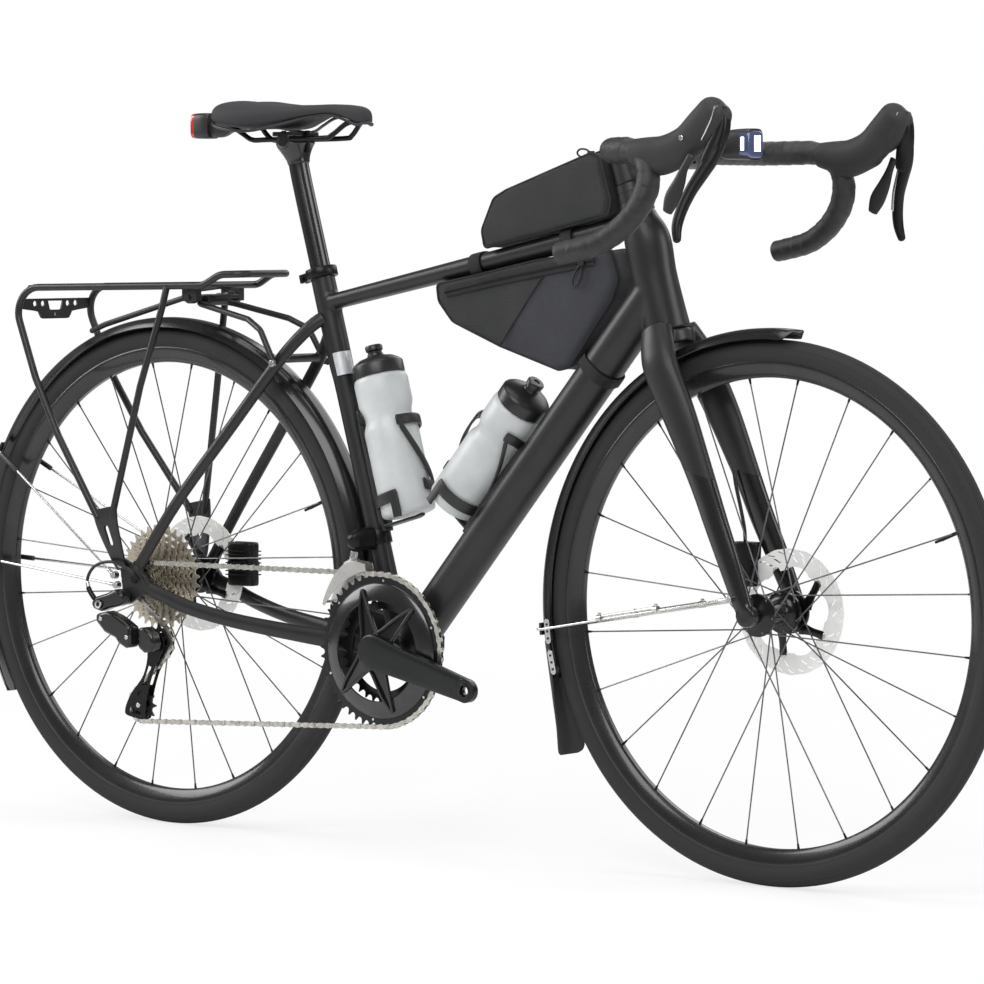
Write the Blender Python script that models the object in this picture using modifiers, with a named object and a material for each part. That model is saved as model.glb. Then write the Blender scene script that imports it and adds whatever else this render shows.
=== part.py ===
"""Road bike with mudguards, rear rack, frame bags, two bottles and lights.

Standalone Blender 4.5 script. Metres, +Z up, +X forward, +Y to the rider's left.
The origin is on the ground, below the middle of the bike's length and width.
"""

import math

import bmesh
import bpy
from mathutils import Matrix, Vector

# General
GAP = 0.0003

# Wheels
WHEELBASE = 1.009
TYRE_RADIUS = 0.343
TYRE_SECTION = 0.016
WHEEL_FACETS = 32
RIM_HOOK_RADIUS = 0.3165
RIM_SEAT_RADIUS = 0.3115
RIM_INNER_RADIUS = 0.295
RIM_HALF_WIDTH = 0.0125
RIM_SEAT_HALF_WIDTH = 0.0103
RIM_CROWN_HALF_WIDTH = 0.0055
SPOKE_COUNT = 24
SPOKE_RADIUS = 0.0010
SPOKE_LAYER = 0.0018
SPOKE_CROSS_ANGLE = math.radians(60.0)
FLANGE_HOLE_RADIUS = 0.0235
FLANGE_RADIUS = 0.0270
AXLE_RADIUS = 0.0060
FRONT_HUB_HALF = 0.050
REAR_HUB_HALF = 0.071
ROTOR_RADIUS = 0.080
ROTOR_TRACK = 0.014
ROTOR_THICKNESS = 0.0018
FRONT_ROTOR_Y = 0.0395
REAR_ROTOR_Y = 0.0555

# Mudguards
GUARD_RADIUS = 0.357
GUARD_THICKNESS = 0.0015
GUARD_HALF_WIDTH = 0.0225
GUARD_DROP = 0.013

# Frame
BOTTOM_BRACKET_X = 0.4095
BOTTOM_BRACKET_Z = 0.2656
SEAT_ANGLE = math.radians(74.4)
HEAD_ANGLE = math.radians(72.0)
FORK_RAKE = 0.046
SEAT_TUBE_RADIUS = 0.0145
SEAT_TUBE_TOP_RADIUS = 0.0162
SEAT_TUBE_TOP_Z = 0.770
DOWN_TUBE_RADIUS = 0.0272
HEAD_TUBE_BASE_Z = 0.691
HEAD_TUBE_TOP_Z = 0.844
HEAD_TUBE_RADIUS = 0.0290
SHELL_RADIUS = 0.0215
SHELL_HALF_WIDTH = 0.0425
SPINDLE_RADIUS = 0.0120
STEERER_RADIUS = 0.0143
SEATPOST_RADIUS = 0.0136
SEATPOST_BASE_Z = 0.650

# Drivetrain
CHAIN_PITCH = 0.0127
CHAIN_HALF_HEIGHT = 0.0039
CHAIN_HALF_WIDTH = 0.0026
CHAIN_INNER_HALF = 0.0012
RUNG_HALF_LENGTH = 0.0022
CHAIN_STRAIGHT = 0.09
OUTER_RING_TEETH = 50
INNER_RING_TEETH = 34
COG_TEETH = (11, 12, 13, 14, 15, 17, 19, 21, 24, 27, 30, 34)
PULLEY_TEETH = 11
OUTER_RING_Y = -0.044
INNER_RING_Y = -0.0372
SMALL_COG_Y = -0.064
COG_SPACING = 0.0035
COG_THICKNESS = 0.0014
CRANK_LENGTH = 0.170
CRANK_ANGLE = math.radians(-14.0)
FRONT_MECH_Z = 0.411
GUIDE_PULLEY = (0.034, 0.258)
CAGE_LENGTH = 0.095
CAGE_ANGLE = math.radians(-113.6)

# Handlebar
BAR_X = 0.876
BAR_Z = 0.919
BAR_CLAMP_RADIUS = 0.0159
TAPE_RADIUS = 0.0155

WIRE_RADIUS = 0.0018
WIRE_RISE = WIRE_RADIUS + GAP
REARMOST = GUARD_RADIUS + WIRE_RISE + WIRE_RADIUS * math.cos(math.radians(30.0))

REAR_X = -(WHEELBASE + TYRE_RADIUS - REARMOST) / 2.0
AXLE_Z = TYRE_RADIUS


def at(x, y, z):
    """Point from sizes taken forward of the rear axle, left of the middle and above the ground."""
    return Vector((REAR_X + x, y, z))


def seat_line(height):
    """Point of the seat tube's axis at this height."""
    back = (height - BOTTOM_BRACKET_Z) / math.tan(SEAT_ANGLE)
    return at(BOTTOM_BRACKET_X - back, 0.0, height)


def steering_line(height):
    """Point of the steering axis at this height."""
    foot_x = WHEELBASE - FORK_RAKE * math.sin(HEAD_ANGLE)
    foot_z = AXLE_Z - FORK_RAKE * math.cos(HEAD_ANGLE)
    return at(foot_x - (height - foot_z) / math.tan(HEAD_ANGLE), 0.0, height)


SEAT_DIRECTION = Vector((-math.cos(SEAT_ANGLE), 0.0, math.sin(SEAT_ANGLE)))
STEERING_DIRECTION = Vector((-math.cos(HEAD_ANGLE), 0.0, math.sin(HEAD_ANGLE)))
SIDEWAYS = Vector((0.0, 1.0, 0.0))
REAR_AXLE = at(0.0, 0.0, AXLE_Z)
FRONT_AXLE = at(WHEELBASE, 0.0, AXLE_Z)
BOTTOM_BRACKET = at(BOTTOM_BRACKET_X, 0.0, BOTTOM_BRACKET_Z)


# Scene and materials
for old in list(bpy.data.objects):
    bpy.data.objects.remove(old, do_unlink=True)

PARTS = bpy.data.collections.new("road_bike")
CUTTERS = bpy.data.collections.new("road_bike_cutters")
bpy.context.scene.collection.children.link(PARTS)
bpy.context.scene.collection.children.link(CUTTERS)


def finish(name, colour, roughness, metallic=0.0):
    """Principled material of one finish."""
    made = bpy.data.materials.new(name)
    made.use_nodes = True
    shader = made.node_tree.nodes["Principled BSDF"]
    shader.inputs["Base Color"].default_value = (*colour, 1.0)
    shader.inputs["Roughness"].default_value = roughness
    shader.inputs["Metallic"].default_value = metallic
    made.diffuse_color = (*colour, 1.0)
    return made


FINISHES = {
    "frame_paint": ((0.035, 0.036, 0.038), 0.50, 0.2),
    "gloss_black": ((0.010, 0.010, 0.011), 0.15, 0.0),
    "tyre_rubber": ((0.018, 0.018, 0.019), 0.85, 0.0),
    "rim_black": ((0.020, 0.020, 0.021), 0.45, 0.3),
    "spoke_black": ((0.05, 0.05, 0.052), 0.35, 0.7),
    "steel": ((0.60, 0.59, 0.57), 0.30, 1.0),
    "cog_steel": ((0.55, 0.50, 0.42), 0.30, 1.0),
    "black_alloy": ((0.022, 0.022, 0.024), 0.35, 0.5),
    "rubber": ((0.030, 0.030, 0.032), 0.75, 0.0),
    "tape": ((0.028, 0.028, 0.030), 0.80, 0.0),
    "saddle_cover": ((0.024, 0.024, 0.026), 0.60, 0.0),
    "bag_cloth": ((0.022, 0.023, 0.028), 0.90, 0.0),
    "bottle": ((0.78, 0.81, 0.83), 0.35, 0.0),
    "black_plastic": ((0.015, 0.015, 0.016), 0.40, 0.0),
    "rack_paint": ((0.020, 0.020, 0.021), 0.55, 0.1),
}


# Building blocks
def object_from(name, bm):
    """Object holding a finished bmesh, its faces turned outwards."""
    bmesh.ops.recalc_face_normals(bm, faces=bm.faces)
    if bm.calc_volume(signed=True) < 0.0:
        bmesh.ops.reverse_faces(bm, faces=bm.faces)
    mesh = bpy.data.meshes.new(name)
    bm.to_mesh(mesh)
    bm.free()
    made = bpy.data.objects.new(name, mesh)
    CUTTERS.objects.link(made)
    return made


def settled(obj):
    """Replaces an object by its evaluated mesh, welded and placed in world space."""
    bpy.context.view_layer.update()
    graph = bpy.context.evaluated_depsgraph_get()
    mesh = bpy.data.meshes.new_from_object(obj.evaluated_get(graph))
    mesh.transform(obj.matrix_world)
    name = obj.name
    bpy.data.objects.remove(obj, do_unlink=True)
    bm = bmesh.new()
    bm.from_mesh(mesh)
    bpy.data.meshes.remove(mesh)
    bmesh.ops.remove_doubles(bm, verts=bm.verts, dist=1e-6)
    return object_from(name, bm)


def combined(obj, tool, operation):
    """Applies one exact Boolean and removes the tool."""
    step = obj.modifiers.new(operation.title(), "BOOLEAN")
    step.operation = operation
    step.solver = "EXACT"
    step.object = tool
    made = settled(obj)
    bpy.data.objects.remove(tool, do_unlink=True)
    return made


def united(*pieces):
    """One body from overlapping pieces."""
    whole = pieces[0]
    for piece in pieces[1:]:
        whole = combined(whole, piece, "UNION")
    return whole


def drilled(obj, *cutters):
    """The object less each cutter in turn."""
    for cutter in cutters:
        obj = combined(obj, cutter, "DIFFERENCE")
    return obj


def swollen(obj, amount=GAP):
    """Copy of a piece pushed out along its normals, to cut its seat in a neighbour."""
    bm = bmesh.new()
    bm.from_mesh(obj.data)
    bm.normal_update()
    for vertex in bm.verts:
        vertex.co += vertex.normal * amount * 1.3
    return object_from(obj.name + "_seat", bm)


def mirrored(obj, name):
    """Copy of a right-hand piece on the left."""
    bm = bmesh.new()
    bm.from_mesh(obj.data)
    for vertex in bm.verts:
        vertex.co.y = -vertex.co.y
    return object_from(name, bm)


def loft(name, rings):
    """Closed skin over rings of equal count, capped at both ends."""
    bm = bmesh.new()
    loops = [[bm.verts.new(point) for point in ring] for ring in rings]
    for near, far in zip(loops, loops[1:]):
        for i in range(len(near)):
            j = (i + 1) % len(near)
            bm.faces.new((near[i], near[j], far[j], far[i]))
    bm.faces.new(list(reversed(loops[0])))
    bm.faces.new(loops[-1])
    return object_from(name, bm)


def oval_ring(centre, along, side, half_side, half_up, count, square=1.0):
    """Ring of points round a centre; square below 1 fills the corners."""
    wide = (side - along * side.dot(along)).normalized()
    high = along.cross(wide).normalized()
    ring = []
    for i in range(count):
        turn = 2.0 * math.pi * (i + 0.5) / count
        c = math.copysign(abs(math.cos(turn)) ** square, math.cos(turn))
        s = math.copysign(abs(math.sin(turn)) ** square, math.sin(turn))
        ring.append(centre + wide * (half_side * c) + high * (half_up * s))
    return ring


def shaped(name, stations, count=12, side=SIDEWAYS, square=1.0):
    """Loft along stations of (centre, half width, half depth)."""
    rings = []
    for i, (centre, half_side, half_up) in enumerate(stations):
        before = stations[max(i - 1, 0)][0]
        after = stations[min(i + 1, len(stations) - 1)][0]
        along = (after - before).normalized()
        rings.append(oval_ring(centre, along, side, half_side, half_up, count, square))
    return loft(name, rings)


def cylinder(name, start, end, radius, end_radius=None, count=16, turn=0.5):
    """Straight round bar or cone between two points."""
    along = end - start
    bm = bmesh.new()
    bmesh.ops.create_cone(
        bm,
        cap_ends=True,
        segments=count,
        radius1=radius,
        radius2=radius if end_radius is None else end_radius,
        depth=along.length,
    )
    spin = Matrix.Rotation(2.0 * math.pi * turn / count, 4, "Z")
    place = Matrix.Translation((start + end) / 2.0) @ along.to_track_quat("Z", "Y").to_matrix().to_4x4()
    bm.transform(place @ spin)
    return object_from(name, bm)


def block(name, centre, size, rotation=None):
    """Box with its size along X, Y and Z."""
    bm = bmesh.new()
    bmesh.ops.create_cube(bm, size=1.0)
    place = Matrix.Translation(centre)
    if rotation is not None:
        place = place @ rotation
    bm.transform(place @ Matrix.Diagonal((*size, 1.0)))
    return object_from(name, bm)


def turned(name, profile, centre, steps, axis=SIDEWAYS):
    """Closed profile of (radius, height) points turned round an axis with a Screw modifier."""
    mesh = bpy.data.meshes.new(name)
    points = [(radius, 0.0, height) for radius, height in profile]
    edges = [(i, (i + 1) % len(points)) for i in range(len(points))]
    mesh.from_pydata(points, edges, [])
    made = bpy.data.objects.new(name, mesh)
    CUTTERS.objects.link(made)
    screw = made.modifiers.new("Turn", "SCREW")
    screw.steps = steps
    screw.render_steps = steps
    screw.merge_threshold = 1e-6
    screw.use_merge_vertices = True
    if axis == SIDEWAYS:
        made.rotation_euler = (-math.pi / 2.0, 0.0, 0.0)
    else:
        made.rotation_euler = axis.to_track_quat("Z", "Y").to_euler()
    made.location = centre
    return settled(made)


def rod(name, points, radius, resolution=1, radii=None):
    """Round tube along points, from a curve with a bevel and filled caps."""
    curve = bpy.data.curves.new(name, "CURVE")
    curve.dimensions = "3D"
    curve.bevel_depth = radius
    curve.bevel_resolution = resolution
    curve.use_fill_caps = True
    spline = curve.splines.new("POLY")
    spline.points.add(len(points) - 1)
    for i, point in enumerate(points):
        spline.points[i].co = (*point, 1.0)
        if radii is not None:
            spline.points[i].radius = radii[i] / radius
    made = bpy.data.objects.new(name, curve)
    CUTTERS.objects.link(made)
    return settled(made)


def eased(points, per_span=3):
    """Smooth line through chosen points."""
    line = []
    for i in range(len(points) - 1):
        a = points[max(i - 1, 0)]
        b = points[i]
        c = points[i + 1]
        d = points[min(i + 2, len(points) - 1)]
        for k in range(per_span):
            t = k / per_span
            line.append(
                0.5
                * (
                    2.0 * b
                    + (c - a) * t
                    + (2.0 * a - 5.0 * b + 4.0 * c - d) * t**2
                    + (3.0 * b - 3.0 * c + d - a) * t**3
                )
            )
    line.append(points[-1])
    return line


def bent(points, bend_radius, steps=2):
    """Straight runs through corner points, each clear corner rounded by an arc."""
    line = [points[0]]
    for before, corner, after in zip(points, points[1:], points[2:]):
        back = (before - corner).normalized()
        ahead = (after - corner).normalized()
        half = back.angle(ahead) / 2.0
        if half > math.radians(82.0):
            line.append(corner)
            continue
        reach = bend_radius / math.tan(half)
        reach = min(reach, 0.45 * (before - corner).length, 0.45 * (after - corner).length)
        radius = reach * math.tan(half)
        centre = corner + (back + ahead).normalized() * (radius / math.sin(half))
        first = (corner + back * reach - centre).normalized()
        last = (corner + ahead * reach - centre).normalized()
        for k in range(steps + 1):
            line.append(centre + first.slerp(last, k / steps) * radius)
    line.append(points[-1])
    return line


def plate(name, outline, y_low, y_high, holes=()):
    """Flat piece standing along the bike, from an outline and holes of (x, z) points."""
    curve = bpy.data.curves.new(name, "CURVE")
    curve.dimensions = "2D"
    curve.fill_mode = "BOTH"
    curve.extrude = (y_high - y_low) / 2.0
    for loop in (outline, *holes):
        spline = curve.splines.new("POLY")
        spline.points.add(len(loop) - 1)
        spline.use_cyclic_u = True
        for i, (x, z) in enumerate(loop):
            spline.points[i].co = (x, z, 0.0, 1.0)
    made = bpy.data.objects.new(name, curve)
    CUTTERS.objects.link(made)
    made.rotation_euler = (math.pi / 2.0, 0.0, 0.0)
    made.location = at(0.0, (y_low + y_high) / 2.0, 0.0)
    return settled(made)


def arc_points(centre, radius, first_degrees, last_degrees, steps):
    """Points (x, z) along an arc round a cross-wise axis."""
    line = []
    for k in range(steps + 1):
        turn = math.radians(first_degrees + (last_degrees - first_degrees) * k / steps)
        line.append((centre[0] + radius * math.cos(turn), centre[1] + radius * math.sin(turn)))
    return line


def hull(circles, grow=0.0, count=12):
    """Convex outline of (x, z) points round circles of (x, z, radius)."""
    points = set()
    for x, z, radius in circles:
        for i in range(count):
            turn = 2.0 * math.pi * i / count
            reach = radius + grow
            points.add((round(x + reach * math.cos(turn), 7), round(z + reach * math.sin(turn), 7)))
    ordered = sorted(points)

    def half(chain):
        line = []
        for p in chain:
            while len(line) > 1:
                (ax, az), (bx, bz) = line[-2], line[-1]
                if (bx - ax) * (p[1] - az) - (bz - az) * (p[0] - ax) > 1e-10:
                    break
                line.pop()
            line.append(p)
        return line[:-1]

    return half(ordered) + half(reversed(ordered))


def joint(name, place):
    """Empty on a joint's axis, to carry the pieces that move."""
    empty = bpy.data.objects.new(name, None)
    empty.empty_display_size = 0.03
    empty.location = place
    PARTS.objects.link(empty)
    return empty


def publish(obj, name, finish_name, carrier=None, crease=35.0):
    """Names a finished piece, gives it its own material and hangs it on its joint."""
    colour, roughness, metallic = FINISHES[finish_name]
    obj.name = name
    obj.data.name = name
    obj.data.materials.clear()
    obj.data.materials.append(finish(name + "_" + finish_name, colour, roughness, metallic))
    obj.data.shade_smooth()
    obj.data.set_sharp_from_angle(angle=math.radians(crease))
    CUTTERS.objects.unlink(obj)
    PARTS.objects.link(obj)
    if carrier is not None:
        bpy.context.view_layer.update()
        obj.parent = carrier
        obj.matrix_parent_inverse = carrier.matrix_world.inverted()
    return obj


# Sprockets and chain
def pitch_radius(teeth):
    """Radius of the circle of chain pins round a sprocket."""
    return CHAIN_PITCH / (2.0 * math.sin(math.pi / teeth))


ROOT_DROP = CHAIN_HALF_HEIGHT + 0.0004
TOOTH_RISE = 0.0030


def sprocket_outline(teeth, phase, full):
    """Outline of a sprocket as (radius, angle) points, with a tooth centred on the phase."""
    radius = pitch_radius(teeth)
    root = radius - ROOT_DROP
    tip = radius + TOOTH_RISE
    step = 2.0 * math.pi / teeth
    valley = (RUNG_HALF_LENGTH + 0.0005) / root
    outline = []
    for i in range(teeth):
        middle = phase + i * step
        if full:
            outline.append((root, middle - step / 2.0 + valley))
            outline.append((tip, middle))
            outline.append((root, middle + step / 2.0 - valley))
        else:
            outline.append((root, middle - step / 2.0))
            outline.append((tip, middle))
    return outline


def ring_of(bm, centre, y, outline):
    """Vertices of a ring of (radius, angle) points round a cross-wise axis, in rising order of angle."""
    ring = []
    for turn, radius in sorted((turn % (2.0 * math.pi), radius) for radius, turn in outline):
        place = at(centre[0] + radius * math.cos(turn), y, centre[1] + radius * math.sin(turn))
        ring.append((turn, bm.verts.new(place), radius))
    return ring


def circle_outline(radius, count):
    """Plain circle as (radius, angle) points."""
    return [(radius, 2.0 * math.pi * i / count) for i in range(count)]


def zip_rings(bm, inner, outer):
    """Triangles over the flat annulus between two rings of any counts."""
    i = 0
    j = 0
    full_turn = 2.0 * math.pi
    while i < len(inner) or j < len(outer):
        next_i = inner[(i + 1) % len(inner)][0] + full_turn * ((i + 1) // len(inner))
        next_j = outer[(j + 1) % len(outer)][0] + full_turn * ((j + 1) // len(outer))
        here_in = inner[i % len(inner)][1]
        here_out = outer[j % len(outer)][1]
        if j >= len(outer) or (i < len(inner) and next_i <= next_j):
            bm.faces.new((here_in, inner[(i + 1) % len(inner)][1], here_out))
            i += 1
        else:
            bm.faces.new((here_in, outer[(j + 1) % len(outer)][1], here_out))
            j += 1


def toothed_face(bm, inner, outline):
    """Flat face between a circle and a toothed outline: each tooth, then the annulus inside them."""
    lowest = min(radius for _, _, radius in outline)
    feet = [i for i, (_, _, radius) in enumerate(outline) if radius < lowest + 0.001]
    for k, first in enumerate(feet):
        last = feet[(k + 1) % len(feet)]
        steps = (last - first) % len(outline)
        if steps > 1:
            bm.faces.new([outline[(first + n) % len(outline)][1] for n in range(steps + 1)])
    zip_rings(bm, inner, [outline[i] for i in feet])


def wall(bm, near, far):
    """Band of four-sided faces between two rings of equal count."""
    for i in range(len(near)):
        j = (i + 1) % len(near)
        bm.faces.new((near[i][1], near[j][1], far[j][1], far[i][1]))


def toothed_ring(name, centre, teeth, phase, y_middle, thickness, bore, full=True):
    """Flat toothed ring; bore lists the (radius, y) rings from its right face round to its left."""
    bm = bmesh.new()
    outline = sprocket_outline(teeth, phase, full)
    count = max(8, 4 * round(teeth / 10.0))
    right = ring_of(bm, centre, y_middle - thickness / 2.0, outline)
    left = ring_of(bm, centre, y_middle + thickness / 2.0, outline)
    inner = [ring_of(bm, centre, y, circle_outline(radius, count)) for radius, y in bore]
    toothed_face(bm, inner[0], right)
    wall(bm, right, left)
    toothed_face(bm, inner[-1], left)
    for near, far in zip(inner, inner[1:]):
        wall(bm, near, far)
    return object_from(name, bm)


class ChainRun:
    """Closed chain line round four sprockets, counted in links."""

    def __init__(self, cage_angle):
        tension = (
            GUIDE_PULLEY[0] + CAGE_LENGTH * math.cos(cage_angle),
            GUIDE_PULLEY[1] + CAGE_LENGTH * math.sin(cage_angle),
        )
        self.tension = tension
        self.wheels = [
            ((BOTTOM_BRACKET_X, BOTTOM_BRACKET_Z), OUTER_RING_TEETH, -1, OUTER_RING_Y),
            (tension, PULLEY_TEETH, -1, SMALL_COG_Y),
            (GUIDE_PULLEY, PULLEY_TEETH, 1, SMALL_COG_Y),
            ((0.0, AXLE_Z), COG_TEETH[0], -1, SMALL_COG_Y),
        ]
        self.pieces = []
        count = len(self.wheels)
        touches = [self.tangent(self.wheels[i], self.wheels[(i + 1) % count]) for i in range(count)]
        for i in range(count):
            centre, teeth, turn, y = self.wheels[i]
            arrive = touches[i - 1][1]
            leave = touches[i][0]
            start = math.atan2(arrive[1] - centre[1], arrive[0] - centre[0])
            end = math.atan2(leave[1] - centre[1], leave[0] - centre[0])
            sweep = (turn * (end - start)) % (2.0 * math.pi)
            self.pieces.append(("arc", i, start, sweep, sweep * teeth / (2.0 * math.pi)))
            far = touches[i][1]
            run = math.hypot(far[0] - leave[0], far[1] - leave[1])
            self.pieces.append(("run", i, leave, far, run / CHAIN_PITCH))
        self.length = sum(piece[4] for piece in self.pieces)

    @staticmethod
    def tangent(first, second):
        """Points where a straight run leaves one sprocket and reaches the next."""
        (ax, az), teeth_a, turn_a, _ = first
        (bx, bz), teeth_b, turn_b, _ = second
        ra = pitch_radius(teeth_a) * turn_a
        rb = pitch_radius(teeth_b) * turn_b
        dx = bx - ax
        dz = bz - az
        span = math.hypot(dx, dz)
        heading = math.atan2(dz, dx) + math.asin((ra - rb) / span)
        nx = math.sin(heading)
        nz = -math.cos(heading)
        return (ax + nx * ra, az + nz * ra), (bx + nx * rb, bz + nz * rb)

    def point(self, links):
        """Place and heading of the chain line, a count of links from its start."""
        left = links % self.length
        for kind, i, start, end, size in self.pieces:
            if left <= size:
                break
            left -= size
        centre, teeth, turn, y = self.wheels[i]
        if kind == "arc":
            angle = start + turn * left * 2.0 * math.pi / teeth
            radius = pitch_radius(teeth)
            place = (centre[0] + radius * math.cos(angle), centre[1] + radius * math.sin(angle))
            heading = angle + turn * math.pi / 2.0
            return place, heading, y
        share = left / size
        leaning = min(max((share - CHAIN_STRAIGHT) / (1.0 - 2.0 * CHAIN_STRAIGHT), 0.0), 1.0)
        next_y = self.wheels[(i + 1) % len(self.wheels)][3]
        place = (start[0] + (end[0] - start[0]) * share, start[1] + (end[1] - start[1]) * share)
        heading = math.atan2(end[1] - start[1], end[0] - start[0])
        return place, heading, y + (next_y - y) * leaning

    def tooth_phase(self, wheel):
        """Angle of a tooth of this sprocket, half a link on from a pin that lies on it."""
        done = 0.0
        for kind, i, start, sweep, size in self.pieces:
            if kind == "arc" and i == wheel:
                teeth = self.wheels[i][1]
                turn = self.wheels[i][2]
                ahead = math.ceil(done) - done + 0.5
                return start + turn * ahead * 2.0 * math.pi / teeth
            done += size
        return 0.0


def fitted_chain():
    """Chain run whose cage angle makes it a whole, even number of links."""
    low = CAGE_ANGLE - math.radians(6.0)
    high = CAGE_ANGLE + math.radians(6.0)
    goal = 2.0 * round(ChainRun(CAGE_ANGLE).length / 2.0)
    rising = ChainRun(high).length > ChainRun(low).length
    for _ in range(50):
        middle = (low + high) / 2.0
        if (ChainRun(middle).length < goal) == rising:
            low = middle
        else:
            high = middle
    return ChainRun((low + high) / 2.0), int(goal)


CHAIN, LINKS = fitted_chain()
TENSION_PULLEY = CHAIN.tension


def build_chain():
    """Chain as one closed ladder: two runs of plates, flat outside, and a four-sided roller at every pin."""
    bm = bmesh.new()
    links = []
    for k in range(LINKS):
        (x, z), heading, y = CHAIN.point(float(k))
        along = Vector((math.cos(heading), 0.0, math.sin(heading))) * RUNG_HALF_LENGTH
        up = Vector((-math.sin(heading), 0.0, math.cos(heading))) * CHAIN_HALF_HEIGHT
        middle = at(x, y, z)
        link = {}
        for side in (-1, 1):
            outside = middle + SIDEWAYS * side * CHAIN_HALF_WIDTH
            inside = middle + SIDEWAYS * side * CHAIN_INNER_HALF
            link["low", side] = bm.verts.new(outside - up)
            link["high", side] = bm.verts.new(outside + up)
            link["back", side] = bm.verts.new(inside - along)
            link["front", side] = bm.verts.new(inside + along)
        links.append(link)
    for k, here in enumerate(links):
        ahead = links[(k + 1) % LINKS]
        for edge in ("low", "high"):
            for end in ("back", "front"):
                bm.faces.new((here[edge, -1], here[edge, 1], here[end, 1], here[end, -1]))
            for side in (-1, 1):
                bm.faces.new((here[edge, side], here["front", side], ahead["back", side], ahead[edge, side]))
        for side in (-1, 1):
            bm.faces.new((here["low", side], ahead["low", side], ahead["high", side], here["high", side]))
    return object_from("chain", bm)


def build_cassette():
    """Twelve cogs on one carrier, fused, with the teeth of the smallest cog between the chain's rollers."""
    centre = (0.0, AXLE_Z)
    facets = 8
    bore = AXLE_RADIUS + 0.0042
    carrier = pitch_radius(COG_TEETH[0]) - ROOT_DROP - 0.0015
    bm = bmesh.new()
    start = SMALL_COG_Y - 0.0030
    bore_start = ring_of(bm, centre, start, circle_outline(bore, facets))
    before = ring_of(bm, centre, start, circle_outline(carrier, facets))
    wall(bm, bore_start, before)
    for i, teeth in enumerate(COG_TEETH):
        low = SMALL_COG_Y + COG_SPACING * i - COG_THICKNESS / 2.0
        high = low + COG_THICKNESS
        phase = CHAIN.tooth_phase(3) if i == 0 else math.radians(7.0 * i)
        outline = sprocket_outline(teeth, phase, i == 0)
        foot_low = ring_of(bm, centre, low, circle_outline(carrier, facets))
        teeth_low = ring_of(bm, centre, low, outline)
        teeth_high = ring_of(bm, centre, high, outline)
        foot_high = ring_of(bm, centre, high, circle_outline(carrier, facets))
        wall(bm, before, foot_low)
        toothed_face(bm, foot_low, teeth_low)
        wall(bm, teeth_low, teeth_high)
        toothed_face(bm, foot_high, teeth_high)
        before = foot_high
    end = SMALL_COG_Y + COG_SPACING * (len(COG_TEETH) - 1) + COG_THICKNESS
    rim = ring_of(bm, centre, end, circle_outline(carrier, facets))
    bore_end = ring_of(bm, centre, end, circle_outline(bore, facets))
    wall(bm, before, rim)
    wall(bm, rim, bore_end)
    wall(bm, bore_end, bore_start)
    return object_from("cassette", bm)


def axle_cutter(centre, radius, length, count=16):
    """Cross-wise round cutter."""
    half = SIDEWAYS * (length / 2.0)
    return cylinder("bore", centre - half, centre + half, radius, count=count)


# Wheels
def build_tyre(centre):
    """Tyre with a round casing and a foot that seats between the rim's hooks."""
    middle = TYRE_RADIUS - TYRE_SECTION
    foot = (RIM_SEAT_RADIUS + GAP, RIM_SEAT_HALF_WIDTH - 0.0007)
    half = []
    for degrees in (118.0, 64.0):
        turn = math.radians(degrees)
        half.append((middle + TYRE_SECTION * math.cos(turn), TYRE_SECTION * math.sin(turn)))
    half.append((TYRE_RADIUS, 0.0045))
    profile = [foot, *half] + [(radius, -y) for radius, y in reversed([foot, *half])]
    return turned("tyre", profile, centre, WHEEL_FACETS)


def build_rim(centre):
    """Rim of aluminium section with hooks, a tyre seat and a V-shaped spoke bed."""
    profile = [
        (RIM_SEAT_RADIUS, RIM_SEAT_HALF_WIDTH),
        (RIM_HOOK_RADIUS, RIM_HALF_WIDTH),
        (RIM_INNER_RADIUS, RIM_CROWN_HALF_WIDTH),
        (RIM_INNER_RADIUS, -RIM_CROWN_HALF_WIDTH),
        (RIM_HOOK_RADIUS, -RIM_HALF_WIDTH),
        (RIM_SEAT_RADIUS, -RIM_SEAT_HALF_WIDTH),
    ]
    return turned("rim", profile, centre, WHEEL_FACETS)


def build_spokes(centre, left_y, right_y):
    """Crossed spokes as loose bars that start inside the flanges and end just inside the rim."""
    bm = bmesh.new()
    step = 2.0 * math.pi / SPOKE_COUNT
    for i in range(SPOKE_COUNT):
        side = 1.0 if i % 2 == 0 else -1.0
        lead = 1.0 if (i // 2) % 2 == 0 else -1.0
        rim_turn = (i + 0.5) * step
        hub_turn = rim_turn + lead * SPOKE_CROSS_ANGLE
        flange_y = left_y if side > 0 else right_y
        start_y = flange_y + lead * SPOKE_LAYER
        reach = (RIM_INNER_RADIUS * math.cos(math.pi / WHEEL_FACETS)) - GAP
        start = centre + Vector(
            (FLANGE_HOLE_RADIUS * math.cos(hub_turn), start_y, FLANGE_HOLE_RADIUS * math.sin(hub_turn))
        )
        end = centre + Vector((reach * math.cos(rim_turn), side * 0.002, reach * math.sin(rim_turn)))
        along = end - start
        place = Matrix.Translation((start + end) / 2.0) @ along.to_track_quat("Z", "Y").to_matrix().to_4x4()
        bmesh.ops.create_cone(
            bm,
            cap_ends=True,
            segments=3,
            radius1=SPOKE_RADIUS,
            radius2=SPOKE_RADIUS,
            depth=along.length,
            matrix=place,
        )
    return object_from("spokes", bm)


def build_hub(centre, profile, left_y, right_y):
    """Hub shell with flanges and bore, and its spokes."""
    shell = turned("hub", profile, centre, 10)
    return united(shell, build_spokes(centre, left_y, right_y))


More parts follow.
